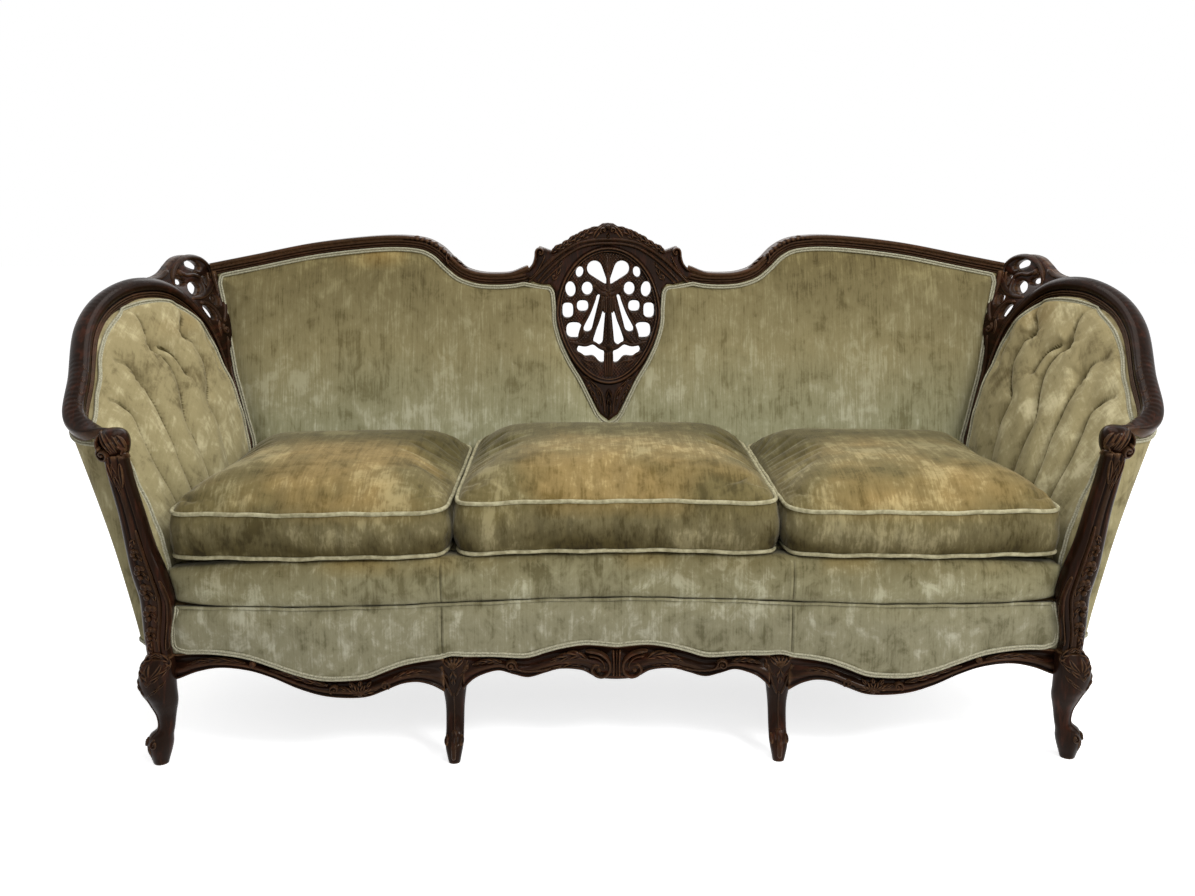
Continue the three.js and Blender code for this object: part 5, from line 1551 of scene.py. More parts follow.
@dataclass
class ArmPosts:
    """The reeded posts that carry the arm scrolls."""

    foot: float = 0.2083
    head: float = 0.5676
    y: float = -0.3744
    half_width: float = 0.0285
    half_depth: float = 0.024
    # Level as a share, middle across and width as a share.
    rows: tuple = (
        (0, 0.8026, 0.72), (0.1, 0.8047, 0.75), (0.2, 0.8016, 0.9), (0.3, 0.8006, 1.0),
        (0.42, 0.8109, 1.0), (0.55, 0.8222, 0.84), (0.72, 0.8335, 0.72), (0.88, 0.8458, 0.68),
        (1.0, 0.853, 0.68))

    def ring(self, level: Array) -> Array:
        """Return the middle's place and the width's share at levels."""
        smooth = curve_through(self.rows, 80)
        return sampled(smooth[:, 1:], smooth[:, 0], level)

    def front(self, across: Array, z: Array, lift: Array) -> Array:
        """Return points on the front of the right-hand post.

        Args:
            across: The place across, in metres from its middle.
            z: The height.
            lift: The lift towards the front.

        Returns:
            Points of the sofa.
        """
        across, z, lift = np.broadcast_arrays(across, z, lift)
        ring = self.ring((z - self.foot) / (self.head - self.foot))
        half = self.half_width * ring[..., 1]
        deep = self.half_depth * mix(ring[..., 1], 1, 0.5)
        round_out = np.sqrt(np.sqrt(np.maximum(1 - (across / half) ** 4, 0.05)))
        return np.stack([ring[..., 0] + across, self.y - deep * round_out - lift, z], axis=-1)

    def build(self, shop: Workshop) -> None:
        """Make both posts with their reeds and curling leaves.

        Args:
            shop: The finishes.
        """
        post = Shape()
        level = np.linspace(0, 1, 90)
        ring = self.ring(level)
        angle = np.linspace(0, 2 * math.pi, 96, endpoint=False)
        cos, sin = np.cos(angle), np.sin(angle)
        first = np.sign(cos) * np.abs(cos) ** 0.7
        second = np.sign(sin) * np.abs(sin) ** 0.7
        groove = np.minimum(np.abs(first + 0.36), np.abs(first - 0.3))
        cut = 0.0048 * np.exp(-groove / 0.075) * (second < 0.2)
        half = self.half_width * ring[:, 1, None]
        deep = self.half_depth * mix(ring[:, 1, None], 1, 0.5)
        post.loft(np.stack([
            ring[:, 0, None] + half * first, self.y + deep * second + cut * np.abs(second),
            mix(self.foot, self.head, level)[:, None] + 0 * first], axis=-1))
        carver = Carver(self.front, post, sink=5)
        for x, z, size in ((5, 396, 8.5), (6, 364, 11), (6.5, 329, 12.5),
                           (7, 290, 13), (5, 253, 10.5)):
            for turn, lobe in ((115, 0.42), (62, 0.5), (8, 0.46), (-52, 0.38)):
                lean = math.radians(turn)
                away = 0.72 * size * np.array([math.cos(lean), 1.25 * math.sin(lean)])
                carver.bead((x - 0.15 * size + away[0], z + away[1]), lobe * size, 5.2)
            leaf = ((x - 0.9 * size, z - 1.3 * size), (x - 0.7 * size, z - 0.2 * size),
                    (x, z + 0.2 * size))
            carver.stroke(leaf, 0.34 * size, 6, Cut.LEAF, 2)
        carver.stroke(((0, 425), (6, 415), (9, 408)), 5, 5.8, Cut.LEAF, 2)
        carver.stroke(((-6, 440), (-9, 360), (-9, 285), (-6, 222)), 2.4, 4.2)
        carver.stroke(((4, 240), (10, 228), (6, 214)), 5.8, 5, Cut.LEAF, 3)
        carver.stroke(((-18, 222), (-22.5, 255), (-23.5, 300), (-20, 350)), 3, 4.2)
        carver.stroke(((4, 556), (2, 530), (1, 500)), 4.8, 5, Cut.LEAF, 3)
        for x in (-10, 12):
            carver.stroke(((x, 556), (x * 0.8, 536), (x * 0.5, 515)), 4, 4.5, Cut.PETAL)
        post.pair("arm_post_carving", shop.upright_wood, "mahogany", ("arm_post",))


@dataclass
class BackPosts:
    """The reeded posts at the two ends of the back."""

    reeds: tuple = (Reed(13, 2, 16, 6), Reed(2, -1.5, 15, 2), Reed(-1.5, -13, 16, 6))
    foot: float = 0.2085
    head: float = 0.826
    behind: float = 0.019

    def build(self, shop: Workshop) -> None:
        """Make both posts.

        Args:
            shop: The finishes.
        """
        z = np.linspace(self.foot, self.head, 120)
        line = curve_through(PLAN.back_post, 120)
        x = np.interp(z, line[:, 0], line[:, 1])
        post = Shape()
        post.sweep(PLAN.on_back(x, z, -self.behind), (0, -1, 0), moulded(self.reeds, 19))
        post.pair("back_post_moulding", shop.upright_wood, "mahogany", ("back_post",))


@dataclass
class Leg:
    """One carved leg, as rings whose middle, width and depth follow its curve."""

    name: str
    node: str
    rows: tuple
    middle: Callable[[Array, Array], tuple[Array, Array]]
    half_width: float
    half_depth: float
    turn: float = 0.0
    squareness: float = 2.6
    height: float = 0.208

    def smooth(self) -> Array:
        """Return rows of height, outward and forward throw, width and depth, smoothly filled in."""
        weight = np.array([3, 1, 1, 1, 1])
        return curve_through(np.asarray(self.rows, float) * weight, 90) / weight

    def place(self, around: Array, z: Array, lift: Array) -> Array:
        """Return points on the leg's skin.

        Args:
            around: The way round from its front edge, in metres at full width.
            z: The height.
            lift: The lift outwards.

        Returns:
            Points of the sofa.
        """
        around, z, lift = np.broadcast_arrays(around, z, lift)
        rows = self.smooth()
        level = np.clip(z / self.height, 0, 1)
        outward, forward, wide, deep = (np.interp(level, rows[:, 0], axis) for axis in rows.T[1:])
        angle = around / self.half_width - math.pi / 2
        middle_x, middle_y = self.middle(outward, forward)
        cos, sin = np.cos(angle), np.sin(angle)
        size = (np.abs(cos) ** self.squareness + np.abs(sin) ** self.squareness) ** (-1 / self.squareness)
        first = (self.half_width * wide * size + lift) * cos
        second = (self.half_depth * deep * size + lift) * sin
        twist = math.radians(self.turn) * ease(1 - level, 0, 0.5)
        return np.stack([
            middle_x + first * np.cos(twist) - second * np.sin(twist),
            middle_y + first * np.sin(twist) + second * np.cos(twist), z], axis=-1)

    def body(self) -> Shape:
        """Return the leg's bare body."""
        shape = Shape()
        z = np.clip(self.smooth()[:, 0], 0, 1)[:, None] * self.height
        around = np.linspace(-math.pi, math.pi, 56, endpoint=False)[None, :] * self.half_width
        shape.loft(self.place(around, z, 0 * z))
        return shape


@dataclass
class Legs:
    """The six legs: two carved corner legs, two carved inner legs and two plain rear legs."""

    # Level, outward and forward throw, width and depth, as shares.
    corner_rows: tuple = (
        (0, 1, -0.6, 0.42, 0.42), (0.05, 1, -0.6, 0.52, 0.52), (0.12, 0.98, -0.57, 0.66, 0.66),
        (0.19, 0.9, -0.52, 0.74, 0.74), (0.27, 0.62, -0.36, 0.66, 0.66), (0.35, 0.02, -0.3, 0.48, 0.48),
        (0.46, -0.08, -0.2, 0.56, 0.56), (0.59, 0.06, 0.06, 0.82, 0.82), (0.7, 0.34, 0.34, 0.98, 0.98),
        (0.84, 0.38, 0.38, 1, 1), (1, 0, 0, 0.8, 0.8))
    inner_rows: tuple = (
        (0, 0, 1, 0.36, 0.46), (0.05, 0, 1, 0.43, 0.54), (0.15, 0, 0.88, 0.56, 0.68),
        (0.26, 0, 0.4, 0.56, 0.58), (0.45, 0, 0.1, 0.59, 0.62), (0.6, 0, 0.15, 0.72, 0.76),
        (0.72, 0, 0.2, 0.88, 0.9), (0.85, 0, 0.25, 1.05, 1), (0.91, 0, 0.18, 1.0, 0.96),
        (0.96, 0, -0.05, 0.9, 0.8), (1, 0, -0.13, 0.8, 0.62))
    rear_rows: tuple = (
        (0, 1, -1, 0.66, 0.66), (0.3, 0.62, -0.62, 0.76, 0.76), (0.62, 0.24, -0.24, 0.9, 0.9),
        (1, 0, 0, 1, 1))

    corner_place: tuple = (0.8026, -0.3744)
    corner_throw: float = 0.016
    inner_x: float = 0.292
    inner_back: float = 0.026
    inner_throw: float = 0.04
    rear_x: float = 0.776
    rear_back: float = 0.019
    rear_throw: tuple = (0.026, 0.072)

    def build(self, shop: Workshop) -> None:
        """Make all of the legs.

        Args:
            shop: The finishes.
        """
        corner_x, corner_y = self.corner_place
        inner_y = float(PLAN.front_y(self.inner_x)) + self.inner_back
        rear_y = float(PLAN.back_y(self.rear_x, 0.2)) + self.rear_back
        out_throw, back_throw = self.rear_throw
        corner = Leg(
            "corner_leg_carving", "front_corner_leg", self.corner_rows,
            lambda out, fore: (corner_x + self.corner_throw * out, corner_y - self.corner_throw * fore),
            half_width=0.0305, half_depth=0.0305, turn=45, squareness=2.3)
        inner = Leg(
            "inner_leg_carving", "front_inner_leg", self.inner_rows,
            lambda out, fore: (self.inner_x + out, inner_y - self.inner_throw * fore),
            half_width=0.029, half_depth=0.024, squareness=2.2)
        rear = Leg(
            "rear_leg_wood", "rear_leg", self.rear_rows,
            lambda out, fore: (self.rear_x - out_throw * out, rear_y - back_throw * fore),
            half_width=0.021, half_depth=0.021, squareness=5)
        for leg, carve in ((corner, self.carve_corner), (inner, self.carve_inner), (rear, None)):
            shape = leg.body()
            if carve:
                carve(Carver(leg.place, shape, sink=4))
            shape.pair(leg.name, shop.upright_wood, "mahogany", (leg.node,))

    @staticmethod
    def carve_corner(carver: Carver) -> None:
        """Cut the knee's crossing leaves and the scrolled foot of a corner leg."""
        for side in (1, -1):
            carver.stroke(((side * 33, 192), (side * 20, 207), (side * -3, 219)), 6, 6.2,
                          Cut.LEAF, 3)
            carver.stroke(((side * 36, 200), (side * 20, 186), (side * -4, 160)), 5.8, 5.4,
                          Cut.LEAF, 4)
            carver.stroke(((side * 30, 172), (side * 18, 156), (side * 2, 140)), 3.6, 4,
                          Cut.LEAF, 3)
            carver.stroke(((side * 12, 200), (side * 10, 190), (side * 2, 178)), 5, 4.4,
                          Cut.PETAL)
            carver.scroll((side * 16.5, 44), 9.5, side * 1.2, 90, 2.4, 3.6, 3.6)
        carver.stroke(((0, 138), (0, 104), (0, 70), (0, 50)), 2.2, 2.2)
        carver.stroke(((0, 40), (0, 28), (0, 14)), 6.5, 3.4, Cut.PETAL)

    @staticmethod
    def carve_inner(carver: Carver) -> None:
        """Cut the shell at the head, the ridge and the lobed foot of an inner leg."""
        for angle in (-60, -30, 0, 30, 60):
            turn = math.radians(angle)
            tip = (23 * math.sin(turn), 182 + 18 * math.cos(turn))
            carver.stroke(((0, 176), (tip[0] * 0.6, mix(176, tip[1], 0.6)), tip), 4.6, 5, Cut.PETAL)
        for side in (1, -1):
            carver.stroke(((side * 30, 196), (side * 26, 176), (side * 6, 152)), 4.2, 4.2,
                          Cut.LEAF, 3)
            carver.scroll((side * 24, 172), 6, side * 1.0, 120, 1.8, 4.2, 1.8)
            carver.bead((side * 25.5, 40), 8, 5.2)
            carver.stroke(((side * 22, 172), (side * 15, 140), (side * 5, 118)), 3, 3.4)
        carver.stroke(((0, 124), (0, 100), (0, 60), (0, 44)), 2.4, 3)
        carver.stroke(((0, 56), (0, 32), (0, 8)), 9, 5.2)
        carver.stroke(((0, 170), (0, 154), (0, 138)), 7.5, 5, Cut.LEAF, 2)
        carver.bead((0, 176.5), 4.8, 7)


@dataclass
class Aprons:
    """The three shaped boards between the front legs."""

    # Across, upper edge and lower edge, in millimetres.
    side_rows: tuple = (
        (789, 205, 159), (778.3, 205.9, 160.2), (740.9, 209, 174.7), (699.7, 208, 183),
        (648.3, 200.7, 178.9), (607.1, 187.2, 166.4), (560.8, 170.6, 145.6), (519.6, 161.2, 132.1),
        (478.5, 160.2, 126.9), (442.5, 163.3, 127.9), (411.6, 174.7, 138.3), (380.7, 185.1, 149.8),
        (354, 190, 151.5), (332, 192.5, 145), (320, 193.5, 138.5), (308, 194, 130))
    centre_rows: tuple = (
        (273.5, 196, 132), (265, 195.7, 143), (253, 195, 153), (236, 194.2, 160.5),
        (210.9, 192.4, 165.5), (185.2, 189.3, 157), (159.5, 188.2, 149.8), (128.6, 196.6, 157),
        (102.9, 202.8, 163.3), (61.7, 209, 159.1), (36, 208, 145.6), (0, 203.8, 141.4))
    depth: float = 0.03

    @staticmethod
    def upper(rows: Sequence, x: Array) -> Array:
        """Return the height of an apron's upper edge."""
        line = curve_through(rows[::-1], 120) * MM
        return np.interp(x, line[:, 0], line[:, 1])

    def board(self, rows: Sequence, mirror: bool) -> Shape:
        """Make one moulded board.

        Args:
            rows: Places across with the upper and the lower height, from its outer end.
            mirror: Whether it runs on over the middle.

        Returns:
            The board.
        """
        line = curve_through(rows[::-1], 110) * MM
        if mirror:
            line = np.vstack([line[:0:-1] * np.array([-1, 1, 1]), line])
        share = np.concatenate([np.linspace(0, 0.86, 16), np.linspace(0.88, 1, 9)])
        z = line[:, 1, None] + (line[:, 2] - line[:, 1])[:, None] * share
        hollow = 0.0045 * np.exp(-((share - 0.3) / 0.16) ** 2)
        belly = 0.0065 * np.exp(-((share - 0.66) / 0.2) ** 2)
        bead = 0.0058 * np.sqrt(np.maximum(np.sin(math.pi * np.clip((share - 0.86) / 0.14, 0, 1)), 0))
        lip = 0.004 * np.exp(-(share / 0.07) ** 2)
        lift = 0.0035 - hollow + belly + bead + lip
        shape = Shape()
        near = PLAN.on_front(line[:, 0, None], z, lift[None, :])
        far = PLAN.on_front(line[:, 0, None], z, -self.depth + 0.004 * (share > 0.97)[None, :])
        shape.slab(near, far)
        return shape

    def build(self, shop: Workshop) -> None:
        """Make the three boards with their scrolls and leaves.

        Args:
            shop: The finishes.
        """
        side = self.board(self.side_rows, False)
        carver = Carver(lambda x, z, lift: PLAN.on_front(x, z, lift + 0.006), side, sink=6)
        for lean, reach in ((-70, 26), (-35, 22), (0, 20), (35, 22), (70, 26)):
            turn = math.radians(lean)
            tip = (455 + reach * 1.5 * math.sin(turn), 137 + reach * math.cos(turn))
            carver.stroke(((455, 134), (mix(455, tip[0], 0.55), mix(134, tip[1], 0.5)), tip), 5.8, 6.6,
                          Cut.LEAF, 3)
        carver.bead((455, 134.5), 5.8, 8)
        carver.scroll((500, 143), 8.5, 1.1, -60, 2.4, 5.8, 2.8)
        carver.scroll((411, 148), 8.5, -1.1, 240, 2.4, 5.8, 2.8)
        carver.stroke(((512, 150), (545, 160), (580, 172), (612, 180)), 5, 5, Cut.LEAF, 5)
        carver.stroke(((402, 156), (380, 166), (352, 170), (330, 168)), 5, 5, Cut.LEAF, 5)
        carver.bead((642, 190.5), 6.2, 7)
        carver.stroke(((655, 192), (690, 197), (730, 195), (762, 186)), 4.6, 5, Cut.LEAF, 5)
        side.pair("side_apron_carving", shop.level_wood, "mahogany", ("front_apron",))
        centre = self.board(self.centre_rows, True)
        carver = Carver(lambda x, z, lift: PLAN.on_front(x, z, lift + 0.006), centre, True, sink=6)
        carver.stroke(((56, 196), (38, 194), (22, 186), (12.5, 172), (14, 156),
                       (25.5, 147.5), (38.5, 151.5), (44, 162), (38.5, 170), (30, 168.5)),
                      3.8, 8.5)
        carver.stroke(((50, 187), (34, 184), (23.5, 174), (22.5, 162)), 2, 7)
        carver.bead((32, 160.5), 5.2, 9)
        for x in (0, 6.2):
            carver.stroke(((x, 197), (x * 0.8, 172), (x * 0.9, 148)), 2.6, 7.8)
        carver.stroke(((52, 180), (74, 189), (100, 184), (126, 172)), 7.4, 7, Cut.LEAF, 4)
        carver.stroke(((62, 168), (86, 174), (112, 166), (138, 159)), 5, 6, Cut.LEAF, 4)
        carver.scroll((190, 173.5), 9.5, -1.3, 200, 2.8, 7.5, 4,
                      lead=((118, 166.5), (138, 163), (160, 163), (176, 166.8)))
        carver.stroke(((206, 180), (230, 184), (258, 178)), 4.6, 5, Cut.LEAF, 4)
        centre.piece("centre_apron_carving", shop.level_wood, "mahogany", nodes=("front_apron_centre",))


# Upholstery


def double_cord(shape: Shape, path: Array, facing: Array, radius: float = 0.0023) -> None:
    """Lay two touching cords side by side.

    Args:
        shape: Where they go.
        path: The line between them.
        facing: The way that they look.
        radius: The radius of one cord.
    """
    side, face = across_frame(path, facing)
    for way in (1, -1):
        shape.tube(path + way * side * radius * 1.04, radius, face, 8)


def pressed(distance: Array, width: float, depth: float) -> Array:
    """Return the dip of a sharp fold at distances from it."""
    return -depth * np.exp(-distance / width)


@dataclass
class SeatFront:
    """The stuffed roll along the seat's front edge and the border below it."""

    end_x: float = 0.7705
    edge_x: float = 0.7685
    """How far out the covers reach before their ends are drawn to the arm posts."""
    roll_low: float = 0.294
    roll_high: float = 0.3778
    roll_depth: float = 0.05
    border_top: float = 0.2927
    seams: tuple = (0.31,)
    leg_head: tuple = ((0.2735, 0.283, 0.3015, 0.311), (0.196, 0.1985, 0.1985, 0.194))
    """Places across the head of an inner leg, and its height there."""

    def stitched(self, x: Array) -> Array:
        """Return the dips of the upright seams and their two rows of stitches."""
        dip = 0 * x
        for seam in self.seams:
            away = np.abs(np.abs(x) - seam)
            dip = dip - 0.0026 * np.exp(-away / 0.0014) + 0.0012 * np.exp(-((away - 0.0045) / 0.002) ** 2)
        return dip

    @staticmethod
    def crush(x: Array, z: Array) -> Array:
        """Return the slight unevenness of the stuffing."""
        return (0.0011 * np.sin(23 * x + 1.3) * np.cos(31 * z)
                + 0.0007 * np.sin(61 * x + 40 * z) + 0.0004 * np.sin(143 * x - 90 * z))

    def to_post(self, x: Array, z: Array) -> Array:
        """Draw the outer ends out to the inner edge of the arm posts.

        Args:
            x: Places along the front.
            z: Their heights.

        Returns:
            The places moved.
        """
        posts = ArmPosts()
        ring = posts.ring((z - posts.foot) / (posts.head - posts.foot))
        edge = ring[..., 0] - posts.half_width * ring[..., 1] + 0.0015
        return x + np.sign(x) * (edge - self.edge_x) * ease(np.abs(x), 0.72, self.edge_x)

    def columns(self, half: float) -> Array:
        """Return places along the front, closer together at the seams."""
        fine = [np.linspace(-half, half, 330)]
        for seam in self.seams:
            for side in (1, -1):
                fine.append(side * seam + np.linspace(-0.014, 0.014, 29))
        return np.unique(np.round(np.concatenate(fine), 5))

    def build(self, shop: Workshop, aprons: Aprons) -> None:
        """Make the roll, the border, the welt and the cord.

        Args:
            shop: The finishes.
            aprons: The boards below the border.
        """
        self.build_roll(shop)
        x = self.columns(self.edge_x)
        low = self.apron_top(aprons, np.abs(x)) + 0.0006
        share = np.linspace(0, 1, 26)[None, :]
        z = mix(low[:, None], self.border_top, share)
        x = self.to_post(x[:, None], z)
        tuck = ease(0.782 - np.abs(x), 0, 0.02)
        round_out = np.sqrt(np.maximum(np.sin(math.pi * mix(0.03, 0.97, share)), 0))
        belly = 0.0085 * round_out * mix(0.5, 1, tuck)
        lift = 0.0025 + belly + self.stitched(x) * np.sin(math.pi * share) ** 0.3 + self.crush(x, z)
        border = Shape()
        border.slab(PLAN.on_front(x, z, lift), PLAN.on_front(x, z, -0.013))
        border.piece(
            "front_border_cover", shop.front_velvet, "velvet", nodes=("front_border",))
        cord = Shape()
        line = np.linspace(-0.768, 0.768, 420)
        top = self.apron_top(aprons, np.abs(line)) + 0.004
        rise = np.linspace(0.008, 0.085, 28)
        end_z = top[-1] + rise
        end = self.to_post(np.full(rise.shape, self.edge_x), end_z) - 0.0055
        path = np.concatenate([
            PLAN.on_front(-end[::-1], end_z[::-1], 0.006), PLAN.on_front(line[3:-3], top[3:-3], 0.0075),
            PLAN.on_front(end, end_z, 0.006)])
        double_cord(cord, softened(spaced(path, 520), 4), (0, -1, 0))
        cord.piece("apron_double_cord", shop.gimp, "velvet")
        welt = Shape()
        wave = 0.0006 * np.sin(line * 37) + 0.0004 * np.sin(line * 91)
        welt.tube(PLAN.on_front(line, 0.2934 + wave, 0.0066), 0.0027, (0, -1, 0), 8)
        welt.piece("front_edge_welt", shop.front_velvet, "velvet")

    def apron_top(self, aprons: Aprons, x: Array) -> Array:
        """Return the height of the boards' upper edge, with the legs' heads between them."""
        outer = aprons.upper(aprons.side_rows, x)
        inner = aprons.upper(aprons.centre_rows, x)
        head = np.interp(x, *self.leg_head)
        start, end = self.leg_head[0][0], self.leg_head[0][-1]
        return np.where(x < start, inner, np.where(x > end, outer, head))

    def build_roll(self, shop: Workshop) -> None:
        """Make the stuffed roll.

        Args:
            shop: The finishes.
        """
        x = self.columns(self.end_x)[:, None]
        angle = np.linspace(-0.5, 0.5, 30)[None, :] * math.pi
        power = np.where(angle > 0, 0.95, 0.62)
        up = np.sign(np.sin(angle)) * np.abs(np.sin(angle)) ** power
        out = np.abs(np.cos(angle)) ** power
        middle, half = (self.roll_low + self.roll_high) / 2, (self.roll_high - self.roll_low) / 2
        tuck = 1 - 0.55 * np.exp(-(self.end_x - np.abs(x)) / 0.026)
        z = middle + half * up * mix(1, tuck, 0.4)
        z = z - (0.0015 + 0.0095 * ease(np.abs(x), 0.56, self.edge_x)) * np.maximum(up, 0)
        x = self.to_post(np.clip(x, -self.edge_x, self.edge_x), z)
        lift = -0.012 + 0.0255 * out * tuck + (self.stitched(x) + self.crush(x, z)) * out
        near = PLAN.on_front(x, z, lift)
        far = PLAN.on_front(x, z, -self.roll_depth)
        roll = Shape()
        roll.slab(near, far)
        roll.piece(
            "spring_edge_roll", shop.front_velvet, "velvet", nodes=("spring_edge",))


@dataclass
class BackCovers:
    """The stuffed inside back, the tight outside back and the cord round both."""

    low: float = 0.2933
    outside_low: float = 0.2083
    outside_edge: tuple = ((0.208, 0.735, 0.836), (0.8294, 0.8685, 0.8726))
    """Heights, and how far out the outside back reaches at them."""
    crown: float = 0.017
    # Across and up, in millimetres.
    top_line: tuple = (
        (0, 517.1), (19.6, 530.1), (38.1, 562.9), (58.7, 603.1), (83.3, 641.4), (101.9, 682.6),
        (109.1, 724.6), (115.2, 785.4), (125.5, 806), (164.6, 815.3), (244.9, 811.6), (290.2, 814.4),
        (326.2, 826.5), (351.9, 847.1), (377.6, 871.4), (405.4, 886.4), (440.4, 892.9), (500.1, 893.9),
        (648.3, 878.9), (775.9, 854.6), (872.6, 835.9))
    point_line: tuple = (
        (178, 798.5), (150, 793), (128.5, 789), (121.5, 752), (119.5, 714), (107, 671), (88, 631),
        (64, 592), (43, 551), (24.5, 515), (11, 502), (0, 498.5))

    def skin(self, edge: Callable[[Array], Array], low: float, rows: int) -> tuple[Array, Array]:
        """Return the places across and up of a grid under the top rail.

        Args:
            edge: Gives how far out the cover reaches at a height.
            low: The height of the lower edge.
            rows: How many rows it has.

        Returns:
            The grid's places across and its heights.
        """
        side = np.concatenate([np.linspace(0, 0.16, 60)[:-1], np.linspace(0.16, 0.48, 60)[:-1],
                               np.linspace(0.48, 0.95, 50)[:-1], np.linspace(0.95, 1, 16)])
        share = np.concatenate([-side[:0:-1], side])[:, None]
        level = 1 - (1 - np.linspace(0, 1, rows)[None, :]) ** 1.7
        line = np.asarray(self.top_line) * MM
        z = low + 0.5 * level + 0 * share
        for _ in range(8):
            x = share * edge(z)
            z = low + level * (np.interp(np.abs(x), line[:, 0], line[:, 1]) - low)
        return x, z

    def build(self, shop: Workshop, crest: CrestRails) -> None:
        """Make the covers and the cords.

        Args:
            shop: The finishes.
            crest: The rails that the cords follow.
        """
        x, z = self.skin(lambda height: PLAN.post_x(height) - 0.005, self.low, 130)
        line = np.asarray(self.top_line) * MM
        flat = np.stack([np.abs(x), z], axis=-1)
        side = curve_through([(b, a) for a, b in PLAN.back_post], 60)
        hidden = mix(0.004, 0.013, ease(np.abs(x), 0.15, 0.2))
        away = np.minimum(distance_to(line, flat) - hidden, distance_to(side, flat) - 0.013)
        lift = mix(-0.008, 0.003, ease(away, -0.003, 0.004))
        lift = lift + self.crown * (1 - np.exp(-np.maximum(away - 0.008, 0) / 0.028))
        lift = lift + 0.0012 * np.sin(17 * x + 1) * np.sin(9 * z) + 0.0006 * np.sin(71 * x + 6 * z)
        inside_cover = Shape()
        inside_cover.slab(PLAN.on_back(x, z, lift), PLAN.on_back(x, z, -0.01))
        inside_cover.piece(
            "inside_back_cover", shop.back_velvet, "velvet", nodes=("inside_back",))
        x, z = self.skin(
            lambda height: np.interp(height, *self.outside_edge), self.outside_low, 60)
        taut = 0.0006 * np.sin(13 * x) * np.sin(11 * z)
        outside_cover = Shape()
        outside_cover.slab(
            PLAN.on_back(x, z, -0.0389), PLAN.on_back(x, z, -0.0441 + taut))
        outside_cover.piece(
            "outside_back_cover", shop.back_velvet, "velvet", nodes=("outside_back",))
        self.build_cords(shop, crest)

    def build_cords(self, shop: Workshop, crest: CrestRails) -> None:
        """Lay the double cord round the inside back and along the outside back.

        Args:
            shop: The finishes.
            crest: The rails that it follows.
        """
        z = np.linspace(0.375, 0.808, 110)
        post = PLAN.on_back(PLAN.post_x(z) - 0.0175, z, 0.0055)
        rail = crest.lower_edge(260, 0.0175, 0.0055)
        rail = rail[(rail[:, 0] < 0.846) & (rail[:, 0] > 0.188)]
        point = curve_through(self.point_line, 150) * MM
        splat = PLAN.on_back(point[:, 0], point[:, 1], 0.0058)
        line = softened(spaced(np.concatenate([post, rail, splat]), 560), 3)
        cord = Shape()
        double_cord(cord, line, (0, -1, 0))
        cord.pair("inside_back_double_cord", shop.gimp, "velvet")
        rim = curve_through(self.top_line[9:], 180) * MM
        outer = PLAN.on_back(rim[:, 0], rim[:, 1] - 0.012, -0.0455)
        z = np.linspace(0.822, 0.214, 120)
        edge = np.interp(z, *self.outside_edge) - 0.004
        seam = Shape()
        double_cord(seam, outer, (0, 1, 0), 0.0021)
        seam.tube(PLAN.on_back(edge, z, -0.044), 0.003, (0, 1, 0))
        seam.pair("outside_back_cord", shop.gimp, "velvet")


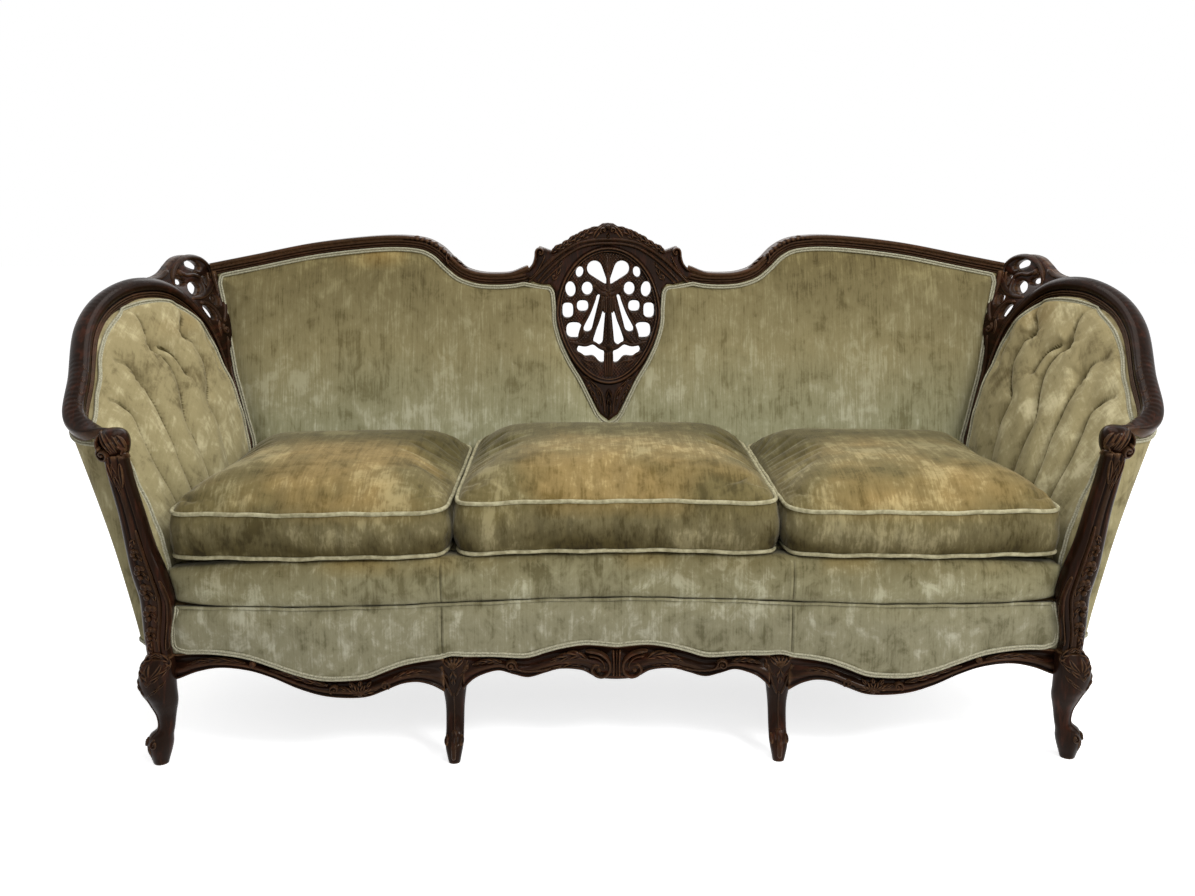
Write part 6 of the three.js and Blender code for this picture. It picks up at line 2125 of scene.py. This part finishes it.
@dataclass
class ArmCovers:
    """The folded and tufted inside arms, the outside arms and the cords along the rails."""

    rail_count: int = 400
    foot_z: float = 0.2933
    outside_foot_z: float = 0.2083
    stuffing: float = 0.019
    rail_reach: float = 0.0205
    """How far the rail's edge lies from its middle where it is widest."""
    tufts: tuple = ((0.577, 0.82), (0.453, 0.802), (0.363, 0.75))
    folds: tuple = (
        ((0.583, 0.975), (0.597, 0.945), (0.597, 0.905), (0.583, 0.84), (0.604, 0.79), (0.62, 0.73),
         (0.597, 0.63), (0.567, 0.555), (0.59, 0.465), (0.588, 0.395), (0.583, 0.25)),
        ((0.437, 0.965), (0.457, 0.93), (0.465, 0.885), (0.46, 0.84), (0.457, 0.802), (0.47, 0.76),
         (0.48, 0.69), (0.468, 0.615), (0.43, 0.525), (0.431, 0.465), (0.43, 0.395), (0.424, 0.24)),
        ((0.462, 0.8), (0.478, 0.785), (0.499, 0.76), (0.513, 0.725), (0.52, 0.675)),
        ((0.33, 0.865), (0.345, 0.83), (0.357, 0.795), (0.363, 0.75), (0.357, 0.7), (0.353, 0.65),
         (0.343, 0.6), (0.331, 0.515), (0.312, 0.435), (0.302, 0.25)),
        ((0.218, 0.865), (0.234, 0.83), (0.25, 0.785), (0.26, 0.725), (0.243, 0.66), (0.219, 0.555),
         (0.208, 0.4), (0.2, 0.26)),
        ((0.673, 0.9), (0.693, 0.85), (0.697, 0.8)),
    )
    # Across, back and up, in millimetres.
    outside_line: tuple = (
        (887, -352, 587.2), (953.9, -302.4, 593.7), (979.6, -209.4, 655.4), (1002.2, -110.2, 734),
        (996.1, -35.8, 774.2), (966.2, 57.2, 794.8), (923, 144, 777.9), (891.1, 215.3, 740.5),
        (868.5, 274.2, 734.9))
    front_tuck: tuple = (
        (0, 0.0255), (0.22, 0.0312), (0.3, 0.037), (0.55, 0.029), (0.7, 0.0258), (1, 0.019))
    """How far the outside arm's front edge is drawn in, by the way up it."""

    def bare(self, rails: ArmRails, u: Array, v: Array) -> Array:
        """Return points of the inside arm before it is stuffed.

        Args:
            rails: The rail that carries the cover.
            u: The way along the arm, from the front.
            v: The way up it, from the seat.

        Returns:
            Points of the sofa.
        """
        path = rails.path(self.rail_count)
        share = np.linspace(0, 1, self.rail_count)
        top = sampled(path, share, u)
        back = float(PLAN.back_y(0.774, 0))
        foot_x = PLAN.half_width * mix(0.775, 0.752, u)
        foot_y = mix(PLAN.front_line, back, u ** 0.85)
        foot = np.stack([foot_x, foot_y, np.full(u.shape, self.foot_z)], axis=-1)
        place = mix(foot, top, v[..., None])
        flare = np.maximum(v - 0.25, 0) / 0.75
        place[..., 0] = mix(foot[..., 0], top[..., 0], flare ** 1.3)
        return place

    def inside(self, rails: ArmRails) -> tuple[Array, Array]:
        """Return the stuffed skin of the inside arm and the skin behind it."""
        columns, rows = 230, 150
        u = np.linspace(0, 1, columns)[:, None] + np.zeros((1, rows))
        v = np.linspace(0, 1, rows)[None, :] + np.zeros((columns, 1))
        place = self.bare(rails, u, v)
        normal = unit(np.cross(np.gradient(place, axis=0), np.gradient(place, axis=1)))
        normal = normal * np.where(normal[..., :1] > 0, -1, 1)
        sharp, soft = np.full(u.shape, np.inf), np.full(u.shape, np.inf)
        for fold in self.folds:
            line = curve_through(fold, 140)
            spine = self.bare(rails, line[:, 0], line[:, 1])
            start = 0.014 * (1 - ease(np.linspace(0, 1, len(spine)), 0, 0.16))
            fade = 0.01 * ease(0.62 - v, 0.36, 0.46)
            for point, late in zip(spine, start):
                away = np.linalg.norm(place - point, axis=-1)
                sharp = np.minimum(sharp, away + late + fade)
                soft = np.minimum(soft, away + 0.6 * late)
        buttons = self.bare(rails, *np.array(self.tufts).T)
        reach = place[:, :, None] - buttons
        pull = np.min(np.linalg.norm(reach, axis=-1), axis=-1)
        closest = np.argmin(np.linalg.norm(reach, axis=-1), axis=-1)
        spoke = np.take_along_axis(reach, closest[..., None, None], axis=2)[..., 0, :]
        gathers = np.sin(9 * np.arctan2(spoke[..., 2], spoke[..., 1]) + 4 * closest)
        ends = np.sin(math.pi * u) ** 0.35
        edge = self.beyond_rail(rails, u, place)
        plump = self.stuffing * np.sqrt(np.maximum(np.sin(math.pi * mix(0.1, 0.78, v)), 0)) * ends
        plump = plump * np.sqrt(ease(edge, -0.004, 0.022)) - 0.008 * ease(-edge, 0, 0.006)
        lift = plump + 0.003 + pressed(sharp, 0.004, 0.0105) + pressed(soft, 0.022, 0.015)
        lift = lift - 0.016 * np.exp(-(pull / 0.013) ** 2)
        lift = lift + 0.0014 * gathers * np.exp(-((pull - 0.022) / 0.013) ** 2)
        lift = lift + 0.0012 * np.sin(31 * u + 5 * v) * np.sin(13 * v) + 0.0008 * np.sin(77 * u - 31 * v)
        lift = lift * ease(v, 0, 0.03)
        near = place + normal * lift[..., None]
        far = place - normal * mix(0.007, 0.016, np.sin(math.pi * v) * ends)[..., None]
        return near, far

    def beyond_rail(self, rails: ArmRails, u: Array, place: Array) -> Array:
        """Return how far places lie beyond the rail's lower edge.

        Args:
            rails: The rail.
            u: The way of each place along the arm.
            place: The places.

        Returns:
            The distances, less than 0 under the rail.
        """
        path = rails.path(self.rail_count)
        side, _ = across_frame(path, rails.facing(path))
        share = np.linspace(0, 1, self.rail_count)
        middle, way = (sampled(line, share, u) for line in (path, side))
        return -np.sum((place - middle) * way, axis=-1) - self.rail_reach * rails.width(u)

    def rail_seam(self, rails: ArmRails, stuffed: Array) -> Array:
        """Find the line on the stuffed skin just beyond the rail's lower edge.

        Args:
            rails: The rail.
            stuffed: The skin of the inside arm.

        Returns:
            The points of the line, from the front.
        """
        columns, rows, _ = stuffed.shape
        share = np.linspace(0, 1, columns)
        path = rails.path(self.rail_count)
        knots = np.linspace(0, 1, self.rail_count)
        middle = sampled(path, knots, share)
        side, face = across_frame(middle, rails.facing(middle))
        reach = self.rail_reach * rails.width(share) + 0.003
        short = np.sum((stuffed - middle[:, None]) * side[:, None], axis=-1)
        line = []
        for column in range(6, columns - 8):
            row = np.interp(-reach[column], short[column], np.arange(rows))
            skin = sampled(stuffed[column], np.arange(rows), row)
            line.append(skin + face[column] * 0.0022)
        return softened(spaced(np.asarray(line), 360), 6)

    @staticmethod
    def lay_post_cord(cord: Shape, stuffed: Array, y: float = -0.3465) -> None:
        """Lay the double cord that runs down behind the arm post.

        Args:
            cord: Where it goes.
            stuffed: The skin of the inside arm.
            y: How far forward it lies.
        """
        line = []
        for row in range(18, 128, 3):
            skin = stuffed[:60, row]
            line.append(sampled(skin, skin[:, 1], y))
        line = curve_through(np.asarray(line) + np.array([-0.0015, 0, 0]), 120)
        double_cord(cord, line, (-0.8, -0.6, 0))

    def outside(self) -> tuple[Array, Array]:
        """Return the outer and the inner skin of the outside arm."""
        u = np.linspace(0, 1, 120)[:, None]
        v = np.linspace(0, 1, 50)[None, :]
        top = curve_through(self.outside_line, 120)[:, None] * MM
        foot_x = PLAN.half_width * mix(0.832, 0.806, ease(u, 0.1, 0.5))
        back = float(PLAN.back_y(0.83, 0.2)) + 0.038
        foot_y = mix(PLAN.front_line + 0.014, back, u)
        wrap = 1 - ease(u, 0, 0.07)
        x = mix(foot_x, top[..., 0], v ** 1.12) - wrap * np.interp(v, *np.array(self.front_tuck).T)
        y = mix(foot_y, top[..., 1], v)
        z = mix(self.outside_foot_z, top[..., 2], v)
        belly = 0.004 * np.sin(math.pi * u) ** 0.5 * np.sin(math.pi * v) ** 0.5
        near = np.stack([x + belly, y, z + 0 * x], axis=-1)
        return near, near - mix(0.007, 0.002, wrap)[..., None] * np.array([1, 0, 0])

    def build(self, shop: Workshop, rails: ArmRails) -> None:
        """Make the covers and the cords of both arms.

        Args:
            shop: The finishes.
            rails: The arm rails.
        """
        cover = Shape()
        stuffed, behind = self.inside(rails)
        cover.slab(stuffed, behind)
        for piece in cover.pair("inside_arm_cover", shop.arm_velvet, "velvet", ("inside_arm",)):
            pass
        near, far = self.outside()
        outer = Shape()
        outer.slab(near, far)
        for piece in outer.pair("outside_arm_cover", shop.arm_velvet, "velvet", ("outside_arm",)):
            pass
        cord = Shape()
        line = self.rail_seam(rails, stuffed)
        double_cord(cord, line, rails.facing(line))
        self.lay_post_cord(cord, stuffed)
        double_cord(cord, near[:, -2] + np.array([0.002, 0, 0]), (1, 0, 0.2), 0.0021)
        foot = near[3:, 1] + np.array([0.002, 0, -0.001])
        double_cord(cord, foot, (1, 0, 0), 0.0016)
        cord.pair("arm_double_cord", shop.gimp, "velvet")


@dataclass
class Cushion:
    """One loose seat cushion: two crowned faces, a boxing strip between them and a welt round each."""

    name: str
    node: str
    body: str
    left: float
    right: float
    narrowing: float
    rise: float
    side: Side = Side.RIGHT
    low: float = 0.3783
    boxing: float = 0.082
    crown: float = 0.056
    inset: float = 0.005
    overhang: float = 0.004
    gap: float = 0.028
    welt_radius: float = 0.0037
    spacing: float = 0.0075
    """How far apart the points of the cover stand when it is filled."""
    pressure: float = 4
    frames: int = 20
    most_swell: float = 0.01

    @property
    def high(self) -> float:
        """The height of the upper seam."""
        return self.low + self.boxing + self.rise

    def outline(self, inset: float, count: int) -> Array:
        """Return the cushion's plan, drawn in by an inset.

        Args:
            inset: How far it is drawn in.
            count: How many points it has.

        Returns:
            Points in plan.
        """
        angle = np.linspace(0, 2 * math.pi, count * 6, endpoint=False)
        power = 0.13
        across = (np.sign(np.cos(angle)) * np.abs(np.cos(angle)) ** power + 1) / 2
        deep = (np.sign(np.sin(angle)) * np.abs(np.sin(angle)) ** power + 1) / 2
        return spaced(self.plan(across, deep, inset), count + 1)[:-1]

    def plan(self, across: Array, deep: Array, inset: float = 0.0) -> Array:
        """Return places in plan from shares across the cushion and from its front to its back."""
        edge = self.right - self.narrowing * deep if self.left > 0 else self.right
        low = self.left if self.left > 0 else -self.right
        x = mix(low + inset, edge - inset, across)
        front = PLAN.front_y(x) - self.overhang + inset
        back = PLAN.back_y(x, 0.3) - self.gap - inset
        return np.stack([self.side.value * x, mix(front, back, deep)], axis=-1)

    def skin(self) -> Shape:
        """Return the sewn but not yet filled cover."""
        rings = []
        count = 220
        middle = self.plan(np.array([0.5]), np.array([0.5]))[0]
        edge = self.outline(self.inset, count)
        for share in (0.12, 0.3, 0.5, 0.68, 0.82, 0.92, 0.98):
            lift = 0.004 * (1 - share ** 4)
            rings.append((mix(middle, edge, share), np.full(count, self.low + lift)))
        rings.append((edge, np.full(count, self.low + 0.002)))
        for share in (0.12, 0.3, 0.5, 0.7, 0.88):
            bulge = 0.0055 * math.sin(math.pi * share) ** 0.6
            level = mix(self.low, self.high, share)
            rings.append((self.outline(self.inset - bulge, count), np.full(count, level)))
        rings.append((edge, np.full(count, self.high)))
        for share in (0.975, 0.94, 0.89, 0.82, 0.74, 0.64, 0.52, 0.38, 0.22, 0.08):
            lift = self.crown * (1 - share ** 3.4) ** 0.75
            rings.append((mix(middle, edge, share), np.full(count, self.high + lift)))
        shape = Shape()
        shape.loft(np.stack([np.column_stack([flat, z]) for flat, z in rings]))
        return shape

    def build(self, shop: Workshop) -> None:
        """Make the cushion and its welts.

        Args:
            shop: The finishes.
        """
        pad = self.skin().piece(
            f"{self.name}_pad", shop.cushion_velvet, "cushion_velvet", self.body, (self.node,))
        self.fill(pad)
        welts = Shape()
        for z in (self.low + self.welt_radius + 0.0005, self.high):
            flat = self.outline(self.inset - 0.0015, 300)
            turn = np.linspace(0, 2 * math.pi, 300, endpoint=False)
            wave = 0.0009 * np.sin(9 * turn + self.left * 7) + 0.0006 * np.sin(23 * turn + z * 50)
            path = np.column_stack([flat, z + wave])
            middle = np.append(self.plan(np.array([0.5]), np.array([0.5]))[0], z)
            outwards = (path - middle) * np.array([1, 1, 0])
            welts.tube(path, self.welt_radius, outwards, 10, loop=True)
        welts.piece(f"{self.name}_welts", shop.welt, "cushion_velvet", self.body)

    def fill(self, pad: bpy.types.Object) -> None:
        """Let the filling swell the sewn cover and wrinkle it along its seams.

        Args:
            pad: The cushion's cover.
        """
        mesh = pad.data
        remesh = pad.modifiers.new("even_mesh", "REMESH")
        remesh.mode = "VOXEL"
        remesh.voxel_size = self.spacing
        apply_modifiers(pad)
        start = mesh_points(pad.data)
        edge = np.vstack([self.outline(self.inset, 160), self.outline(self.inset, 1)])
        away = distance_to(edge, start[:, :2])
        at_seam = np.minimum(np.abs(start[:, 2] - self.high), np.abs(start[:, 2] - self.low))
        held = (away < 0.01) & (at_seam < 0.008) | (start[:, 2] < self.low + 0.006)
        group = pad.vertex_groups.new(name="seams")
        group.add(np.flatnonzero(held).tolist(), 1.0, "REPLACE")
        cloth = pad.modifiers.new("filling", "CLOTH")
        settings = cloth.settings
        for name, value in {
                "quality": 5, "mass": 0.3, "tension_stiffness": 12, "compression_stiffness": 6,
                "shear_stiffness": 5, "bending_stiffness": 0.4, "use_pressure": True,
                "uniform_pressure_force": self.pressure, "vertex_group_mass": "seams",
                "shrink_min": -0.035}.items():
            setattr(settings, name, value)
        settings.effector_weights.gravity = 0
        cloth.point_cache.frame_start = 1
        cloth.point_cache.frame_end = self.frames
        scene = bpy.context.scene
        for frame in range(1, self.frames + 1):
            scene.frame_set(frame)
        graph = bpy.context.evaluated_depsgraph_get()
        swollen = mesh_points(pad.evaluated_get(graph).to_mesh())
        pad.modifiers.remove(cloth)
        pad.vertex_groups.clear()
        scene.frame_set(1)
        move = swollen - start
        length = np.linalg.norm(move, axis=1, keepdims=True)
        move = move * np.minimum(1, self.most_swell / np.maximum(length, 1e-9))
        pad.data.vertices.foreach_set("co", (start + move).astype(np.float32).ravel())
        smooth = pad.modifiers.new("smooth", "SUBSURF")
        smooth.levels = smooth.render_levels = 1
        apply_modifiers(pad)
        pad.data.polygons.foreach_set("use_smooth", [True] * len(pad.data.polygons))
        log.info("%s: filled, most moved %.1f mm", pad.name, 1000 * length.max())
        if mesh.users == 0:
            bpy.data.meshes.remove(mesh)


def mesh_points(mesh: bpy.types.Mesh) -> Array:
    """Return the points of a mesh."""
    place = np.empty(len(mesh.vertices) * 3, np.float32)
    mesh.vertices.foreach_get("co", place)
    return place.reshape(-1, 3).astype(float)


def apply_modifiers(piece: bpy.types.Object) -> None:
    """Give a piece the mesh that its modifiers make, and remove them.

    Args:
        piece: The piece.
    """
    graph = bpy.context.evaluated_depsgraph_get()
    made = bpy.data.meshes.new_from_object(piece.evaluated_get(graph), depsgraph=graph)
    made.name = f"{piece.name}_mesh"
    piece.modifiers.clear()
    piece.data = made


@dataclass
class SeatCushions:
    """The three loose cushions."""

    cushions: tuple = (
        Cushion("cushion_left", "seat_cushion_left", "cushion_left", 0.2945, 0.7855, 0.0237, 0, Side.LEFT),
        Cushion("cushion_middle", "seat_cushion_middle", "cushion_middle", -0.2878, 0.2878, 0, 0.012),
        Cushion("cushion_right", "seat_cushion_right", "cushion_right", 0.2945, 0.7855, 0.0237, 0))

    def build(self, shop: Workshop) -> None:
        """Make the cushions with the shop's finishes."""
        for cushion in self.cushions:
            cushion.build(shop)


@dataclass
class HiddenFrame:
    """The working parts under the upholstery: rails, blocks, webbing, springs, deck and dust cover."""

    bare: tuple = ("seat_rail", "seat_brace", "corner_block", "lower_back_rail")
    roll_space: float = 0.0505
    """How far behind the seat's front the deck begins."""
    back_space: float = 0.013

    def build(self, frame: dict, shop: Workshop) -> None:
        """Dress the model's own parts and make the deck and the dust cover.

        Args:
            frame: The loaded model.
            shop: The finishes.
        """
        for name, node in frame["nodes"].items():
            if name.startswith("seat_spring"):
                self.dress(node, shop.steel)
            elif name == "seat_webbing":
                self.dress(node, shop.burlap)
            elif any(word in name for word in self.bare):
                self.dress(node, shop.bare_wood)
        self.build_deck(shop)
        self.build_dust_cover(shop)

    @staticmethod
    def dress(node: bpy.types.Object, material: bpy.types.Material) -> None:
        """Give a part of the model its finish."""
        if node.data.materials:
            for index in range(len(node.data.materials)):
                node.data.materials[index] = material
        else:
            node.data.materials.append(material)

    def build_deck(self, shop: Workshop) -> None:
        """Make the stuffed deck that the cushions rest on.

        Args:
            shop: The finishes.
        """
        low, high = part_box("seat_deck")
        u = np.linspace(0, 1, 150)[:, None]
        v = np.linspace(0, 1, 70)[None, :]
        x = mix(low[0] + 0.001, high[0] - 0.001, u) + 0 * v
        near_y = PLAN.front_y(x) + self.roll_space
        far_y = np.minimum(PLAN.back_y(x, 0.3) - self.back_space, high[1])
        y = mix(near_y, far_y, v)
        edge = np.minimum(np.minimum(u, 1 - u) * (high[0] - low[0]), np.minimum(v, 1 - v) * 0.5)
        drawn = 0.004 * np.exp(-edge / 0.012)
        quilt = sum(0.0012 * np.exp(-np.abs(np.sin(axis * 12.5)) / 0.03) for axis in (x, y))
        top = np.stack([x, y, high[2] - 0.0005 - drawn - quilt], axis=-1)
        bottom = np.stack([x, y, np.full(x.shape, low[2])], axis=-1)
        deck = Shape()
        deck.slab(top, bottom)
        deck.piece("seat_deck_pad", shop.deck_cloth, "burlap", nodes=("seat_deck",))

    def build_dust_cover(self, shop: Workshop) -> None:
        """Make the thin cloth under the seat.

        Args:
            shop: The finishes.
        """
        low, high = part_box("dust_cover")
        u = np.linspace(0, 1, 120)[:, None]
        v = np.linspace(0, 1, 50)[None, :]
        x = mix(low[0], high[0], u) + 0 * v
        y = mix(low[1], high[1], v) + 0 * u
        sag = 0.003 * np.sin(math.pi * u) ** 0.5 * np.sin(math.pi * v) ** 0.5
        thick = high[2] - low[2]
        middle = (low[2] + high[2]) / 2
        top = np.stack([x, y, np.full(x.shape, middle + thick * 0.25)], axis=-1)
        bottom = np.stack([x, y, middle - thick * 0.25 - sag * 0.3], axis=-1)
        cloth = Shape()
        cloth.slab(top, bottom)
        piece = cloth.piece("dust_cover_cloth", shop.cambric, "dust_cloth", nodes=("dust_cover",))


# Studio


@dataclass
class Studio:
    """The plain floor, the white surroundings, the soft lamps and the camera."""

    camera_place: tuple = (-0.0664, -2.4775, 1.0135)
    camera_turn: tuple = (math.pi / 2 - 0.2048, 0.0, -0.015)
    lens: float = 37.93
    lamps: tuple = (
        ("key_lamp", (2.0, -2.3, 2.7), (-0.1, 0.0, 0.45), (0.9, 0.8), 52.0),
        ("front_lamp", (0.9, -2.8, 1.9), (0.0, 0.0, 0.45), (2.4, 1.6), 18.0),
        ("top_lamp", (0.1, 0.0, 3.0), (0.0, 0.0, 0.4), (2.6, 1.6), 46.0),
        ("right_lamp", (2.8, -1.0, 1.7), (0.2, 0.0, 0.5), (1.2, 1.4), 18.0),
        ("left_lamp", (-2.8, -0.6, 1.6), (-0.2, 0.0, 0.5), (1.2, 1.4), 2.0),
        ("back_lamp", (0.0, 2.8, 2.4), (0.0, 0.0, 0.5), (2.4, 1.4), 22.0))
    soft_colour: tuple = (0.97, 0.98, 1.0, 1)
    soft_strength: float = 0.34
    floor_reach: float = 14.0
    floor_shade: float = 0.93
    floor_glow: float = 0.72

    def build(self) -> None:
        """Make the floor, the world, the lamps and the camera."""
        self.build_camera()
        self.build_world()
        self.build_floor()
        for name, place, target, size, power in self.lamps:
            light = bpy.data.lights.new(name, "AREA")
            light.shape = "RECTANGLE"
            light.size, light.size_y = size
            light.energy = power
            lamp = bpy.data.objects.new(name, light)
            lamp.location = place
            way = Vector(target) - Vector(place)
            lamp.rotation_euler = way.to_track_quat("-Z", "Y").to_euler()
            bpy.context.scene.collection.objects.link(lamp)
        bpy.context.scene.view_settings.view_transform = "Standard"

    def build_camera(self) -> None:
        """Place the camera."""
        camera = bpy.data.cameras.new("camera")
        camera.lens = self.lens
        camera.sensor_width = 36
        camera.sensor_fit = "HORIZONTAL"
        camera.clip_start = 0.05
        holder = bpy.data.objects.new("camera", camera)
        holder.location = self.camera_place
        holder.rotation_euler = self.camera_turn
        bpy.context.scene.collection.objects.link(holder)
        bpy.context.scene.camera = holder

    @staticmethod
    def seen_directly(tree: bpy.types.NodeTree) -> bpy.types.NodeSocket:
        """Return 1 for what is seen directly, in a reflection or through glass.

        Args:
            tree: The node tree to add to.

        Returns:
            The socket.
        """
        path = tree.nodes.new("ShaderNodeLightPath")
        seen = path.outputs["Is Camera Ray"]
        for name in ("Is Glossy Ray", "Is Transmission Ray"):
            either = tree.nodes.new("ShaderNodeMath")
            either.operation = "MAXIMUM"
            tree.links.new(seen, either.inputs[0])
            tree.links.new(path.outputs[name], either.inputs[1])
            seen = either.outputs[0]
        return seen

    def build_world(self) -> None:
        """Make white surroundings that light the sofa softly."""
        world = bpy.data.worlds.new("surroundings")
        world.use_nodes = True
        bpy.context.scene.world = world
        tree = world.node_tree
        tree.nodes.clear()
        white = tree.nodes.new("ShaderNodeBackground")
        white.inputs["Color"].default_value = (1, 1, 1, 1)
        white.inputs["Strength"].default_value = 1.0
        soft = tree.nodes.new("ShaderNodeBackground")
        soft.inputs["Color"].default_value = self.soft_colour
        soft.inputs["Strength"].default_value = self.soft_strength
        blend = tree.nodes.new("ShaderNodeMixShader")
        output = tree.nodes.new("ShaderNodeOutputWorld")
        tree.links.new(self.seen_directly(tree), blend.inputs[0])
        tree.links.new(soft.outputs[0], blend.inputs[1])
        tree.links.new(white.outputs[0], blend.inputs[2])
        tree.links.new(blend.outputs[0], output.inputs[0])

    def build_floor(self) -> None:
        """Make the pale floor."""
        far = self.floor_reach
        mesh = bpy.data.meshes.new("floor")
        corners = [(-far, -far, 0), (far, -far, 0), (far, far, 0), (-far, far, 0)]
        mesh.from_pydata(corners, [], [(0, 1, 2, 3)])
        floor = bpy.data.objects.new("floor", mesh)
        bpy.context.scene.collection.objects.link(floor)
        material = bpy.data.materials.new("floor_paint")
        material.use_nodes = True
        tree = material.node_tree
        shader = tree.nodes["Principled BSDF"]
        for name, value in (("Base Color", (*[self.floor_shade] * 3, 1)), ("Roughness", 0.9),
                            ("Specular IOR Level", 0.1), ("Emission Color", (1, 1, 1, 1))):
            shader.inputs[name].default_value = value
        glow = tree.nodes.new("ShaderNodeMath")
        glow.operation = "MULTIPLY"
        glow.inputs[1].default_value = self.floor_glow
        tree.links.new(self.seen_directly(tree), glow.inputs[0])
        tree.links.new(glow.outputs[0], shader.inputs["Emission Strength"])
        mesh.materials.append(material)


def main() -> None:
    """Build the sofa on its frame, in order."""
    logging.basicConfig(level=logging.INFO, format="%(name)s: %(message)s")
    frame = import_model()
    Studio().build()
    shop = Workshop()
    crest, arms, aprons = CrestRails(), ArmRails(), Aprons()
    for wood in (crest, Medallion(), CornerCarvings(), arms, ArmPosts(), BackPosts(), Legs(), aprons):
        log.info("making the %s", type(wood).__name__)
        wood.build(shop)
    SeatFront().build(shop, aprons)
    BackCovers().build(shop, crest)
    ArmCovers().build(shop, arms)
    SeatCushions().build(shop)
    HiddenFrame().build(frame, shop)


if __name__ == "__main__":
    main()
